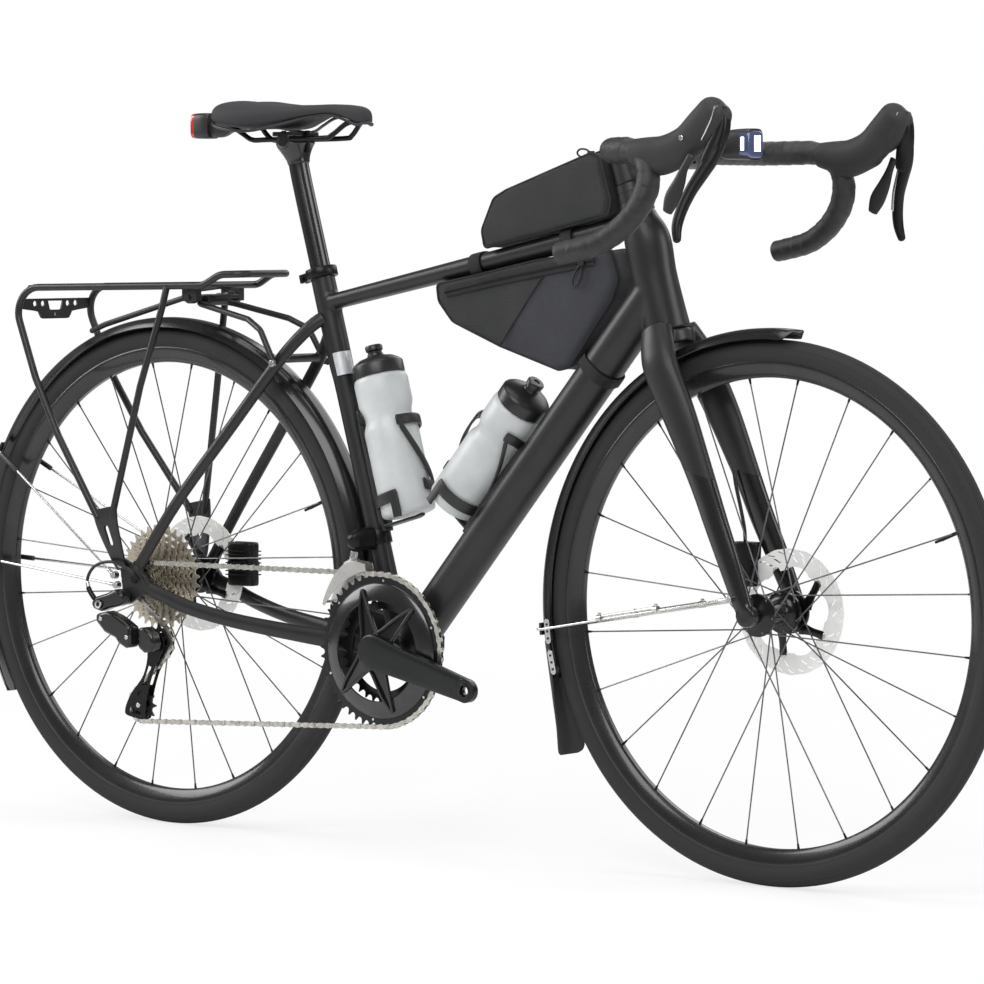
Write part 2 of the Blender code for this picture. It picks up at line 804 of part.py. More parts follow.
def hub_profile(left_end, left_flange, right_flange, right_end, right_neck):
    """Outline of a hub from its left end to its right end."""
    bore = AXLE_RADIUS + GAP
    half = 0.0028
    body = 0.0120
    neck = 0.0100
    return [
        (bore, left_end),
        (neck, left_end),
        (neck, left_flange + half + 0.001),
        (FLANGE_RADIUS, left_flange + half),
        (FLANGE_RADIUS, left_flange - half),
        (body, left_flange - half - 0.002),
        (body, right_flange + half + 0.002),
        (FLANGE_RADIUS, right_flange + half),
        (FLANGE_RADIUS, right_flange - half),
        (right_neck, right_flange - half - 0.001),
        (right_neck, right_end),
        (bore, right_end),
    ]


def build_rotor(centre, y):
    """Brake disc: a braking track carried by five raked arms on a splined ring, cut as one plate."""
    middle = (centre.x - REAR_X, centre.z)
    arms = 5
    share = 360.0 / arms
    inner = ROTOR_RADIUS - ROTOR_TRACK
    windows = []
    for i in range(arms):
        start = share * i
        outer_edge = arc_points(middle, inner, start + 25.0, start + share + 14.0, 3)
        inner_edge = arc_points(middle, 0.0230, start + share - 12.0, start + 12.0, 2)
        windows.append(outer_edge + inner_edge)
    bore = arc_points(middle, 0.0106, 0.0, 324.0, 9)
    edge = arc_points(middle, ROTOR_RADIUS, 0.0, 342.0, 19)
    half = ROTOR_THICKNESS / 2.0
    return plate("rotor", edge, y - half, y + half, [bore, *windows])


def build_wheels(front_joint, rear_joint):
    """Both wheels on their joints."""
    publish(build_tyre(FRONT_AXLE), "front_tyre", "tyre_rubber", front_joint)
    publish(build_rim(FRONT_AXLE), "front_rim", "rim_black", front_joint)
    end = FRONT_HUB_HALF - GAP
    profile = hub_profile(end, 0.0225, -0.0330, -end, 0.0100)
    publish(build_hub(FRONT_AXLE, profile, 0.0225, -0.0330), "front_hub", "spoke_black", front_joint)
    publish(build_rotor(FRONT_AXLE, FRONT_ROTOR_Y), "front_rotor", "steel", front_joint)
    publish(build_tyre(REAR_AXLE), "rear_tyre", "tyre_rubber", rear_joint)
    publish(build_rim(REAR_AXLE), "rear_rim", "rim_black", rear_joint)
    end = REAR_HUB_HALF - GAP
    profile = hub_profile(end, 0.0340, -0.0175, -end, 0.0090)
    publish(build_hub(REAR_AXLE, profile, 0.0340, -0.0175), "rear_hub", "spoke_black", rear_joint)
    publish(build_rotor(REAR_AXLE, REAR_ROTOR_Y), "rear_rotor", "steel", rear_joint)


def axle(name, centre, half, head_y):
    """Through axle with a flat head outside the left dropout."""
    low = centre - SIDEWAYS * half
    high = centre + SIDEWAYS * head_y
    shaft = cylinder(name, low, high + SIDEWAYS * 0.001, AXLE_RADIUS - GAP, count=8)
    head = cylinder("head", high, high + SIDEWAYS * 0.004, 0.0090, count=10)
    return united(shaft, head)


# Frame
def build_main_frame():
    """Head, top, down and seat tubes with the bottom bracket shell, welded into one."""
    flare_z = 0.806
    base = steering_line(HEAD_TUBE_BASE_Z)
    flare = steering_line(flare_z)
    top = steering_line(HEAD_TUBE_TOP_Z)
    forward = Vector((math.sin(HEAD_ANGLE), 0.0, math.cos(HEAD_ANGLE)))
    rings = []
    for centre, half_side, half_up in (
        (base, 0.0290, HEAD_TUBE_RADIUS),
        (base + STEERING_DIRECTION * 0.030, 0.0275, 0.0290),
        (flare + forward * 0.0035, 0.0270, 0.0325),
        (top, 0.0225, 0.0225),
    ):
        rings.append(oval_ring(centre, STEERING_DIRECTION, SIDEWAYS, half_side, half_up, 12))
    head = loft("head_tube", rings)
    down = shaped(
        "down_tube",
        [
            (at(0.4130, 0.0, 0.2565), 0.0262, DOWN_TUBE_RADIUS),
            (at(0.7600, 0.0, 0.6655), 0.0262, DOWN_TUBE_RADIUS),
            (at(0.8300, 0.0, 0.7480), 0.0262, 0.0260),
        ],
    )
    top_tube = shaped(
        "top_tube",
        [
            (at(0.2820, 0.0, 0.7225), 0.0150, 0.0108),
            (at(0.3400, 0.0, 0.7345), 0.0160, 0.0112),
            (at(0.6240, 0.0, 0.7935), 0.0175, 0.0133),
            (at(0.7950, 0.0, 0.8290), 0.0190, 0.0155),
        ],
    )
    seat = shaped(
        "seat_tube",
        [
            (seat_line(BOTTOM_BRACKET_Z + 0.004), SEAT_TUBE_RADIUS, SEAT_TUBE_RADIUS),
            (seat_line(0.600), SEAT_TUBE_RADIUS, SEAT_TUBE_RADIUS),
            (seat_line(0.650), SEAT_TUBE_TOP_RADIUS, SEAT_TUBE_TOP_RADIUS),
            (seat_line(SEAT_TUBE_TOP_Z), SEAT_TUBE_TOP_RADIUS, SEAT_TUBE_TOP_RADIUS),
        ],
        count=12,
    )
    half = SIDEWAYS * SHELL_HALF_WIDTH
    shell = cylinder("shell", BOTTOM_BRACKET - half, BOTTOM_BRACKET + half, SHELL_RADIUS, count=12)
    frame = united(head, down, top_tube, seat, shell)
    steerer_bore = cylinder(
        "steerer_bore",
        steering_line(HEAD_TUBE_BASE_Z - 0.03),
        steering_line(HEAD_TUBE_TOP_Z + 0.03),
        STEERER_RADIUS + GAP,
        count=12,
    )
    post_bore = cylinder(
        "post_bore", seat_line(0.620), seat_line(SEAT_TUBE_TOP_Z + 0.02), SEATPOST_RADIUS + GAP, count=12
    )
    spindle_bore = axle_cutter(BOTTOM_BRACKET, SPINDLE_RADIUS + GAP, 0.2, 12)
    above = cylinder("above", top, top + STEERING_DIRECTION * 0.06, 0.08)
    return drilled(frame, above, steerer_bore, post_bore, spindle_bore)


SEAT_STAY_PATH = (
    (0.0045, 0.0745, 0.3690, 0.0050, 0.0075),
    (0.0700, 0.0690, 0.4500, 0.0060, 0.0080),
    (0.1500, 0.0560, 0.5470, 0.0062, 0.0082),
    (0.2290, 0.0420, 0.6430, 0.0062, 0.0085),
    (0.2650, 0.0250, 0.6860, 0.0065, 0.0090),
    (0.2830, 0.0130, 0.7020, 0.0065, 0.0090),
)
CHAIN_STAY_PATH = (
    (0.0000, 0.0745, 0.3370, 0.0030, 0.0100),
    (0.0400, 0.0740, 0.3250, 0.0050, 0.0100),
    (0.0900, 0.0680, 0.3080, 0.0065, 0.0100),
    (0.1600, 0.0550, 0.2930, 0.0070, 0.0100),
    (0.2500, 0.0400, 0.2810, 0.0070, 0.0110),
    (0.3300, 0.0290, 0.2730, 0.0070, 0.0125),
    (0.3900, 0.0270, 0.2680, 0.0080, 0.0135),
)
DROPOUT_INNER = REAR_HUB_HALF
DROPOUT_OUTER = REAR_HUB_HALF + 0.0070
EYELET = (-0.0210, 0.3620)
HANGER = (-0.0130, 0.3165)


def stay(name, path, sign):
    """One stay along its path on one side of the bike."""
    stations = [(at(x, sign * y, z), wide, deep) for x, y, z, wide, deep in path]
    return shaped(name, stations, count=8)


def dropout_outline(grow=0.0, hanger=False):
    """Outline of a dropout plate round the axle, the eyelet and the hanger."""
    circles = [(0.0, AXLE_Z, 0.0165), (EYELET[0], EYELET[1], 0.0070), (0.012, AXLE_Z - 0.008, 0.012)]
    if hanger:
        circles.append((HANGER[0], HANGER[1], 0.0080))
    return hull(circles, grow, 8)


def build_stays():
    """Seat stays with their bridge, and chain stays with dropouts and their bridge."""
    chain_right = stay("chain_stay_right", CHAIN_STAY_PATH, -1.0)
    chain_left = stay("chain_stay_left", CHAIN_STAY_PATH, 1.0)
    bridge = cylinder("bridge", at(0.374, -0.028, 0.272), at(0.374, 0.028, 0.272), 0.0080, count=10)
    right_plate = plate("dropout", dropout_outline(hanger=True), -DROPOUT_OUTER, -DROPOUT_INNER)
    left_plate = plate("dropout", dropout_outline(), DROPOUT_INNER, DROPOUT_OUTER)
    chain_stays = united(chain_right, bridge, chain_left, right_plate, left_plate)
    shell_seat = cylinder(
        "shell_seat",
        BOTTOM_BRACKET - SIDEWAYS * 0.06,
        BOTTOM_BRACKET + SIDEWAYS * 0.06,
        SHELL_RADIUS + GAP,
        count=12,
    )
    chain_stays = drilled(chain_stays, shell_seat, axle_cutter(REAR_AXLE, AXLE_RADIUS + GAP, 0.3))
    seat_right = stay("seat_stay_right", SEAT_STAY_PATH, -1.0)
    seat_left = stay("seat_stay_left", SEAT_STAY_PATH, 1.0)
    brace = cylinder("brace", at(0.2330, -0.042, 0.6480), at(0.2330, 0.042, 0.6480), 0.0055, count=8)
    seat_stays = united(seat_right, brace, seat_left)
    tube_seat = cylinder("tube_seat", seat_line(0.60), seat_line(0.80), SEAT_TUBE_TOP_RADIUS + 2.0 * GAP)
    outline = dropout_outline(2.0 * GAP, hanger=True)
    right_seat = plate("seat", outline, -DROPOUT_OUTER - 2.0 * GAP, -DROPOUT_INNER + 2.0 * GAP)
    outline = dropout_outline(2.0 * GAP)
    left_seat = plate("seat", outline, DROPOUT_INNER - 2.0 * GAP, DROPOUT_OUTER + 2.0 * GAP)
    seat_stays = drilled(seat_stays, tube_seat, right_seat, left_seat)
    return seat_stays, chain_stays


def build_frame():
    """Everything fixed to the frame except bags, rack and brakes."""
    publish(build_main_frame(), "main_frame", "frame_paint")
    seat_stays, chain_stays = build_stays()
    publish(seat_stays, "seat_stays", "frame_paint")
    publish(chain_stays, "chain_stays", "frame_paint")
    rear_axle = axle("rear_axle", REAR_AXLE, DROPOUT_OUTER - 0.001, DROPOUT_OUTER + GAP)
    publish(rear_axle, "rear_axle", "black_alloy")
    low = SEAT_TUBE_TOP_Z - 0.014
    high = SEAT_TUBE_TOP_Z - 0.001
    rise = (high - low) / math.sin(SEAT_ANGLE)
    inner = (SEAT_TUBE_TOP_RADIUS + GAP) / math.cos(math.pi / 12.0)
    collar = turned(
        "collar",
        [(inner + 0.0045, rise), (inner + 0.0045, 0.0), (inner, 0.0), (inner, rise)],
        seat_line(low),
        12,
        SEAT_DIRECTION,
    )
    ear_at = seat_line(low) + SEAT_DIRECTION * (rise / 2.0) + Vector((-0.0265, 0.0, -0.0070))
    tilt = Matrix.Rotation(math.pi / 2.0 - SEAT_ANGLE, 4, "Y").inverted()
    ear = block("ear", ear_at, (0.0170, 0.0150, rise * 0.8), tilt)
    publish(united(collar, ear), "seat_clamp", "black_alloy")


# Seat
def build_seat(seat_joint):
    """Seatpost with head, saddle on its rails, and the rear light."""
    post = cylinder("post", seat_line(SEATPOST_BASE_Z), seat_line(0.918), SEATPOST_RADIUS, count=12)
    neck = shaped(
        "neck",
        [
            (seat_line(0.905), 0.0134, 0.0134),
            (at(0.2310, 0.0, 0.922), 0.0120, 0.0150),
            (at(0.2270, 0.0, 0.934), 0.0120, 0.0210),
        ],
        count=12,
    )
    cradle = block("cradle", at(0.2250, 0.0, 0.9335), (0.0520, 0.0560, 0.0070))
    top = block("top_clamp", at(0.2250, 0.0, 0.9482), (0.0400, 0.0540, 0.0045))
    bolt = cylinder("bolt", at(0.2400, 0.0, 0.930), at(0.2400, 0.0, 0.952), 0.0035, count=6)
    publish(united(post, neck, cradle, top, bolt), "seatpost", "gloss_black", seat_joint)

    half_rail = [
        at(0.1380, -0.0300, 0.9600),
        at(0.1530, -0.0240, 0.9490),
        at(0.1680, -0.0220, 0.9413),
        at(0.1950, -0.0220, 0.9413),
        at(0.2900, -0.0220, 0.9425),
        at(0.3060, -0.0210, 0.9460),
        at(0.3240, -0.0150, 0.9600),
        at(0.3330, -0.0090, 0.9640),
        at(0.3370, 0.0, 0.9650),
    ]
    other_half = [Vector((p.x, -p.y, p.z)) for p in reversed(half_rail[:-1])]
    rails = rod("rails", half_rail + other_half, 0.0035, 1)

    rings = []
    for x, half, crown, edge, channel in (
        (0.1165, 0.040, 0.986, 0.9700, 0.000),
        (0.1340, 0.066, 0.9945, 0.9600, 0.002),
        (0.1640, 0.0735, 0.9945, 0.9540, 0.003),
        (0.1990, 0.0690, 0.9905, 0.9520, 0.003),
        (0.2340, 0.0490, 0.9880, 0.9600, 0.003),
        (0.2690, 0.0310, 0.9885, 0.9690, 0.002),
        (0.3040, 0.0225, 0.9890, 0.9720, 0.001),
        (0.3340, 0.0190, 0.9850, 0.9660, 0.000),
        (0.3530, 0.0120, 0.9760, 0.9620, 0.000),
    ):
        drop = crown - edge
        rings.append(
            [
                at(x, 0.0, crown - channel),
                at(x, 0.25 * half, crown),
                at(x, 0.60 * half, crown - 0.10 * drop),
                at(x, 0.88 * half, crown - 0.34 * drop),
                at(x, half, crown - 0.72 * drop),
                at(x, 0.95 * half, edge),
                at(x, 0.60 * half, edge + 0.20 * drop),
                at(x, 0.0, edge + 0.36 * drop),
                at(x, -0.60 * half, edge + 0.20 * drop),
                at(x, -0.95 * half, edge),
                at(x, -half, crown - 0.72 * drop),
                at(x, -0.88 * half, crown - 0.34 * drop),
                at(x, -0.60 * half, crown - 0.10 * drop),
                at(x, -0.25 * half, crown),
            ]
        )
    saddle = drilled(loft("saddle", rings), swollen(rails))
    publish(saddle, "saddle", "saddle_cover", seat_joint, crease=50.0)
    publish(rails, "saddle_rails", "black_alloy", seat_joint)

    lamp = shaped(
        "lamp",
        [
            (at(0.0480, 0.0, 0.9615), 0.0120, 0.0150),
            (at(0.0510, 0.0, 0.9615), 0.0145, 0.0175),
            (at(0.0750, 0.0, 0.9615), 0.0145, 0.0175),
            (at(0.0780, 0.0, 0.9615), 0.0120, 0.0150),
        ],
        count=8,
        square=0.5,
    )
    bracket = shaped(
        "bracket",
        [
            (at(0.0770, 0.0, 0.9570), 0.0090, 0.0110),
            (at(0.0960, 0.0, 0.9560), 0.0080, 0.0100),
            (at(0.1150, 0.0, 0.9580), 0.0060, 0.0040),
            (at(0.1400, 0.0, 0.9600), 0.0060, 0.0030),
        ],
        count=8,
        square=0.6,
    )
    publish(united(lamp, bracket), "rear_light", "black_plastic", seat_joint)


# Steering
def build_fork(steer_joint):
    """Fork with tapered blades, crown, steerer and thru-axle dropouts."""
    path = (
        (0.8500, 0.0300, 0.6900, 0.0150, 0.0225),
        (0.8575, 0.0380, 0.6700, 0.0135, 0.0255),
        (0.8690, 0.0445, 0.6450, 0.0130, 0.0262),
        (0.9000, 0.0475, 0.5858, 0.0115, 0.0240),
        (0.9350, 0.0495, 0.5098, 0.0105, 0.0190),
        (0.9560, 0.0510, 0.4607, 0.0095, 0.0175),
        (0.9800, 0.0538, 0.4080, 0.0085, 0.0160),
        (1.0040, 0.0565, 0.3560, 0.0062, 0.0130),
    )
    blade = shaped("blade", [(at(x, -y, z), w, d) for x, y, z, w, d in path], count=8)
    hub_end = FRONT_AXLE - SIDEWAYS * FRONT_HUB_HALF
    socket = cylinder("socket", hub_end - SIDEWAYS * 0.0135, hub_end, 0.0160, count=10)
    right = united(blade, socket)
    left = mirrored(right, "left")
    crown = cylinder(
        "crown",
        steering_line(HEAD_TUBE_BASE_Z - 0.0170),
        steering_line(HEAD_TUBE_BASE_Z) - STEERING_DIRECTION * GAP,
        0.0275,
        HEAD_TUBE_RADIUS - 0.0003,
        count=12,
    )
    steerer_foot = steering_line(HEAD_TUBE_BASE_Z - 0.005)
    steerer = cylinder("steerer", steerer_foot, steering_line(0.912), STEERER_RADIUS - GAP, count=12)
    above = cylinder(
        "above",
        steering_line(HEAD_TUBE_BASE_Z) - STEERING_DIRECTION * GAP,
        steering_line(HEAD_TUBE_BASE_Z + 0.08),
        0.08,
    )
    fork = united(drilled(united(crown, right, left), above), steerer)
    fork = drilled(fork, axle_cutter(FRONT_AXLE, AXLE_RADIUS + GAP, 0.3))
    publish(fork, "fork", "frame_paint", steer_joint)
    outer = FRONT_HUB_HALF + 0.0135
    front_axle = axle("front_axle", FRONT_AXLE, outer - 0.001, outer + GAP)
    publish(front_axle, "front_axle", "black_alloy", steer_joint)


def bar_points():
    """Centre line and radius of the right half of the handlebar, from its middle to its end."""
    return (
        (BAR_X, 0.000, BAR_Z, BAR_CLAMP_RADIUS),
        (BAR_X, 0.030, BAR_Z, BAR_CLAMP_RADIUS),
        (BAR_X, 0.045, BAR_Z, 0.0150),
        (BAR_X, 0.052, BAR_Z, TAPE_RADIUS),
        (BAR_X, 0.135, BAR_Z, TAPE_RADIUS),
        (0.8800, 0.160, BAR_Z, TAPE_RADIUS),
        (0.8930, 0.181, 0.9195, TAPE_RADIUS),
        (0.9130, 0.1935, 0.9200, TAPE_RADIUS),
        (0.9330, 0.1990, 0.9195, 0.0150),
        (0.9530, 0.2030, 0.9120, 0.0130),
        (0.9660, 0.2080, 0.8970, 0.0130),
        (0.9695, 0.2120, 0.8760, 0.0148),
        (0.9620, 0.2170, 0.8530, 0.0148),
        (0.9460, 0.2215, 0.8320, 0.0145),
        (0.9250, 0.2255, 0.8155, 0.0142),
        (0.8980, 0.2295, 0.8030, 0.0140),
        (0.8480, 0.2340, 0.7925, 0.0138),
    )


def build_cockpit(steer_joint):
    """Spacers, stem, handlebar, hoods and the front light."""
    seam = steering_line(HEAD_TUBE_TOP_Z) + STEERING_DIRECTION * GAP
    clamp_base = 0.0365
    bore = STEERER_RADIUS + GAP
    spacer = turned(
        "spacers",
        [(0.0205, clamp_base - GAP), (0.0215, 0.003), (0.0225, 0.0), (bore, 0.0), (bore, clamp_base - GAP)],
        seam,
        12,
        STEERING_DIRECTION,
    )
    publish(spacer, "headset_spacers", "frame_paint", steer_joint)

    base = seam + STEERING_DIRECTION * clamp_base
    clamp = cylinder("stem", base, base + STEERING_DIRECTION * 0.0430, 0.0195, count=12)
    root = base + STEERING_DIRECTION * 0.0215
    nose = at(BAR_X, 0.0, BAR_Z)
    arm = shaped(
        "arm",
        [
            (root, 0.0150, 0.0175),
            (root.lerp(nose, 0.5), 0.0140, 0.0155),
            (root.lerp(nose, 0.95), 0.0170, 0.0170),
        ],
        count=8,
        square=0.8,
    )
    half = SIDEWAYS * 0.0230
    jaw = cylinder("jaw", nose - half, nose + half, 0.0215, count=12)
    stem = united(clamp, arm, jaw)
    below = base - STEERING_DIRECTION * 0.01
    steerer_bore = cylinder("steerer_bore", below, steering_line(0.9125), bore, count=12)
    bar_bore = axle_cutter(nose, BAR_CLAMP_RADIUS + 2.0 * GAP, 0.2)
    publish(drilled(stem, steerer_bore, bar_bore), "stem", "frame_paint", steer_joint)

    right = [(at(x, -y, z), r) for x, y, z, r in bar_points()]
    left = [(Vector((p.x, -p.y, p.z)), r) for p, r in reversed(right[1:])]
    line = left + right
    points = [p for p, _ in line]
    radii = [r for _, r in line]
    bar = rod("handlebar", points, TAPE_RADIUS, 2, radii)
    bar_seat = rod("bar_seat", points, TAPE_RADIUS, 2, [r + 2.0 * GAP for r in radii])

    hood_path = (
        (0.9500, 0.2020, 0.9150, 0.0165, 0.0200),
        (0.9900, 0.2015, 0.9155, 0.0182, 0.0220),
        (1.0250, 0.2000, 0.9300, 0.0185, 0.0225),
        (1.0420, 0.1985, 0.9460, 0.0180, 0.0240),
        (1.0560, 0.1970, 0.9600, 0.0175, 0.0230),
        (1.0670, 0.1965, 0.9690, 0.0150, 0.0180),
        (1.0760, 0.1960, 0.9750, 0.0090, 0.0100),
    )
    hood = shaped("hood", [(at(x, -y, z), w, d) for x, y, z, w, d in hood_path], count=8)
    hood = drilled(hood, bar_seat)
    left_hood = mirrored(hood, "hood_left")
    publish(hood, "hood_right", "rubber", steer_joint, crease=50.0)
    publish(left_hood, "hood_left", "rubber", steer_joint, crease=50.0)
    publish(bar, "handlebar", "tape", steer_joint, crease=50.0)

    light_y = 0.0420
    body = shaped(
        "light_body",
        [
            (at(0.9080, light_y, 0.9280), 0.0150, 0.0160),
            (at(0.9200, light_y, 0.9285), 0.0170, 0.0190),
            (at(0.9520, light_y, 0.9290), 0.0170, 0.0200),
        ],
        count=8,
        square=0.6,
    )
    strap_profile = [(0.0190, 0.0080), (0.0190, -0.0080), (0.0157, -0.0080), (0.0157, 0.0080)]
    strap = turned("strap", strap_profile, at(BAR_X, light_y, BAR_Z), 10)
    foot = block("foot", at(0.9020, light_y, 0.9240), (0.0160, 0.0150, 0.0160))
    light = united(body, foot)
    light = drilled(light, axle_cutter(at(BAR_X, light_y, BAR_Z), 0.0185, 0.1))
    light = united(strap, light)
    light = drilled(light, axle_cutter(at(BAR_X, light_y, BAR_Z), BAR_CLAMP_RADIUS + 2.0 * GAP, 0.1))
    publish(light, "front_light", "black_plastic", steer_joint)


LEVER_PIVOT = (1.0690, 0.2040, 0.9330)
LEVER_PATH = (
    (1.0720, 0.2040, 0.9360, 0.0060, 0.0040),
    (1.0700, 0.2065, 0.9250, 0.0070, 0.0075),
    (1.0640, 0.2120, 0.9070, 0.0072, 0.0090),
    (1.0540, 0.2190, 0.8880, 0.0070, 0.0085),
    (1.0430, 0.2270, 0.8680, 0.0065, 0.0075),
    (1.0330, 0.2360, 0.8460, 0.0062, 0.0070),
    (1.0260, 0.2440, 0.8270, 0.0060, 0.0065),
    (1.0230, 0.2495, 0.8110, 0.0045, 0.0050),
)
PADDLE_OUTLINE = (
    (1.0330, 0.8960),
    (1.0290, 0.8780),
    (1.0230, 0.8600),
    (1.0130, 0.8420),
    (1.0060, 0.8390),
    (1.0000, 0.8530),
    (1.0040, 0.8680),
    (1.0160, 0.8860),
    (1.0220, 0.8960),
)
PADDLE_Y = 0.2225


def build_levers(lever_joints, paddle_joints):
    """Brake levers with the shift paddles behind them."""
    lever = shaped("lever", [(at(x, -y, z), w, d) for x, y, z, w, d in LEVER_PATH], count=8)
    left = mirrored(lever, "lever_left")
    publish(lever, "brake_lever_right", "black_alloy", lever_joints[0])
    publish(left, "brake_lever_left", "black_alloy", lever_joints[1])
    paddle = plate("paddle", PADDLE_OUTLINE, -PADDLE_Y - 0.0018, -PADDLE_Y + 0.0018)
    left = mirrored(paddle, "paddle_left")
    publish(paddle, "shift_paddle_right", "black_plastic", paddle_joints[0])
    publish(left, "shift_paddle_left", "black_plastic", paddle_joints[1])


# Mudguards
def guard(name, centre, first_degrees, last_degrees, steps):
    """Mudguard: an arched strip carried round the wheel, thickened by Solidify."""
    section = (
        (GUARD_RADIUS - GUARD_DROP, -GUARD_HALF_WIDTH),
        (GUARD_RADIUS, -0.0120),
        (GUARD_RADIUS, 0.0120),
        (GUARD_RADIUS - GUARD_DROP, GUARD_HALF_WIDTH),
    )
    bm = bmesh.new()
    rows = []
    for k in range(steps + 1):
        turn = math.radians(first_degrees + (last_degrees - first_degrees) * k / steps)
        rows.append(
            [
                bm.verts.new(centre + Vector((radius * math.cos(turn), y, radius * math.sin(turn))))
                for radius, y in section
            ]
        )
    for near, far in zip(rows, rows[1:]):
        for i in range(len(section) - 1):
            bm.faces.new((near[i], near[i + 1], far[i + 1], far[i]))
    made = object_from(name, bm)
    inward = made.data.polygons[0]
    away = (inward.center - centre).normalized()
    skin = made.modifiers.new("Wall", "SOLIDIFY")
    skin.thickness = GUARD_THICKNESS
    skin.offset = -1.0 if inward.normal.dot(away) > 0.0 else 1.0
    return settled(made)


def guard_stay(name, centre, degrees, eyelet, half_eyelet, bow=0.0):
    """Wire stay: from one eyelet over the mudguard's outside and back to the other eyelet."""
    turn = math.radians(degrees)
    out = Vector((math.cos(turn), 0.0, math.sin(turn)))
    edge = centre + out * (GUARD_RADIUS - GUARD_DROP)
    over = centre + out * (GUARD_RADIUS + WIRE_RISE)
    shoulder = centre + out * (GUARD_RADIUS - 0.0030)
    side = SIDEWAYS * (GUARD_HALF_WIDTH + 0.0035)
    corners = [
        eyelet - SIDEWAYS * half_eyelet,
        edge - side - SIDEWAYS * bow,
        shoulder - side,
        over - SIDEWAYS * 0.0145,
        over + SIDEWAYS * 0.0145,
        shoulder + side,
        edge + side + SIDEWAYS * bow,
        eyelet + SIDEWAYS * half_eyelet,
    ]
    return rod(name, corners, WIRE_RADIUS, 1)


def build_guards(steer_joint):
    """Mudguards and their wire stays."""
    publish(guard("rear_guard", REAR_AXLE, 0.0, 210.0, 19), "rear_guard", "gloss_black")
    publish(guard("front_guard", FRONT_AXLE, 84.0, 212.0, 12), "front_guard", "gloss_black", steer_joint)
    eyelet = at(EYELET[0] - 0.014, 0.0, AXLE_Z + 0.004)
    stay_up = guard_stay("rear_stay_upper", REAR_AXLE, 152.0, eyelet, 0.0825)
    stay_low = guard_stay("rear_stay_lower", REAR_AXLE, 178.0, at(-0.036, 0.0, AXLE_Z - 0.010), 0.0770)
    publish(stay_up, "rear_stay_upper", "steel")
    publish(stay_low, "rear_stay_lower", "steel")
    front_eyelet = at(0.9780, 0.0, 0.3640)
    publish(
        guard_stay("front_stay", FRONT_AXLE, 186.0, front_eyelet, 0.0640), "front_stay", "steel", steer_joint
    )


# Rack
def build_rack():
    """Rear rack of bent tube: deck with a raised front loop, legs, struts and foot plates."""
    tube = 0.0050
    half = [
        at(-0.0520, -0.0955, 0.4260),
        at(-0.1350, -0.0850, 0.5350),
        at(-0.1850, -0.0780, 0.6150),
        at(-0.2330, -0.0735, 0.7150),
        at(-0.2150, -0.0715, 0.7390),
        at(0.1120, -0.0560, 0.7450),
        at(0.1480, -0.0545, 0.7610),
        at(0.1680, -0.0520, 0.7610),
    ]
    loop = rod("loop", bent(half + [Vector((p.x, -p.y, p.z)) for p in reversed(half)], 0.018, 1), tube, 1)
    rack = loop
    for x, y, z in ((-0.2020, 0.0710, 0.7388), (0.0440, 0.0595, 0.7436), (0.1050, 0.0565, 0.7447)):
        rack = united(rack, cylinder("cross", at(x, -y, z), at(x, y, z), tube * 0.85, count=6))
    line = [
        at(0.1050, 0.0, 0.7440),
        at(0.0850, 0.0, 0.7430),
        at(0.0500, 0.0, 0.7390),
        at(0.0200, 0.0, 0.7260),
        at(-0.1250, 0.0, 0.6880),
        at(-0.1500, 0.0, 0.6790),
    ]
    rack = united(rack, rod("spine", line, 0.0040, 1))
    for sign in (-1.0, 1.0):
        line = [
            at(0.0440, sign * 0.0590, 0.7430),
            at(0.0400, sign * 0.0640, 0.7150),
            at(0.0130, sign * 0.0790, 0.6080),
            at(-0.0260, sign * 0.0950, 0.4280),
        ]
        rack = united(rack, rod("strut", line, tube * 0.95, 1))
        rack = united(rack, rack_foot(sign))
        low = at(-0.2230, sign * 0.0360, 0.7180)
        high = at(-0.2020, sign * 0.0360, 0.7390)
        arm = cylinder("hanger", low, high, 0.0036, count=6)
        rack = united(rack, arm)
    rack = united(rack, block("lamp_plate", at(-0.2240, 0.0, 0.7110), (0.0030, 0.0900, 0.0260)))
    publish(rack, "rack_frame", "rack_paint")

    half = [
        at(0.2312, -0.0530, 0.6420),
        at(0.2050, -0.0500, 0.6860),
        at(0.1760, -0.0420, 0.7000),
        at(0.0760, -0.0330, 0.7210),
    ]
    arms = rod("arms", half + [Vector((p.x, -p.y, p.z)) for p in reversed(half)], 0.0042, 1)
    carrier = block("carrier", at(0.0760, 0.0, 0.7262), (0.0200, 0.0420, 0.0110))
    bar = cylinder("bar", at(0.0760, -0.0540, 0.7285), at(0.0760, 0.0540, 0.7285), 0.0040, count=6)
    publish(united(arms, carrier, bar), "rack_arms", "rack_paint")


def rack_foot(sign):
    """Tapered plate from the leg and the strut down to the dropout's eyelet."""
    rings = []
    for x, y, z, wide in (
        (-0.0390, 0.0957, 0.4400, 0.0220),
        (-0.0340, 0.0950, 0.4150, 0.0190),
        (-0.0240, 0.0860, 0.3720, 0.0120),
        (EYELET[0], 0.0803, 0.3560, 0.0085),
    ):
        middle = at(x, sign * y, z)
        ring = []
        for dx, dy in ((-1, -1), (1, -1), (1, 1), (-1, 1)):
            ring.append(middle + Vector((dx * wide, dy * 0.0020, 0.0)))
        rings.append(ring)
    return loft("foot", rings)


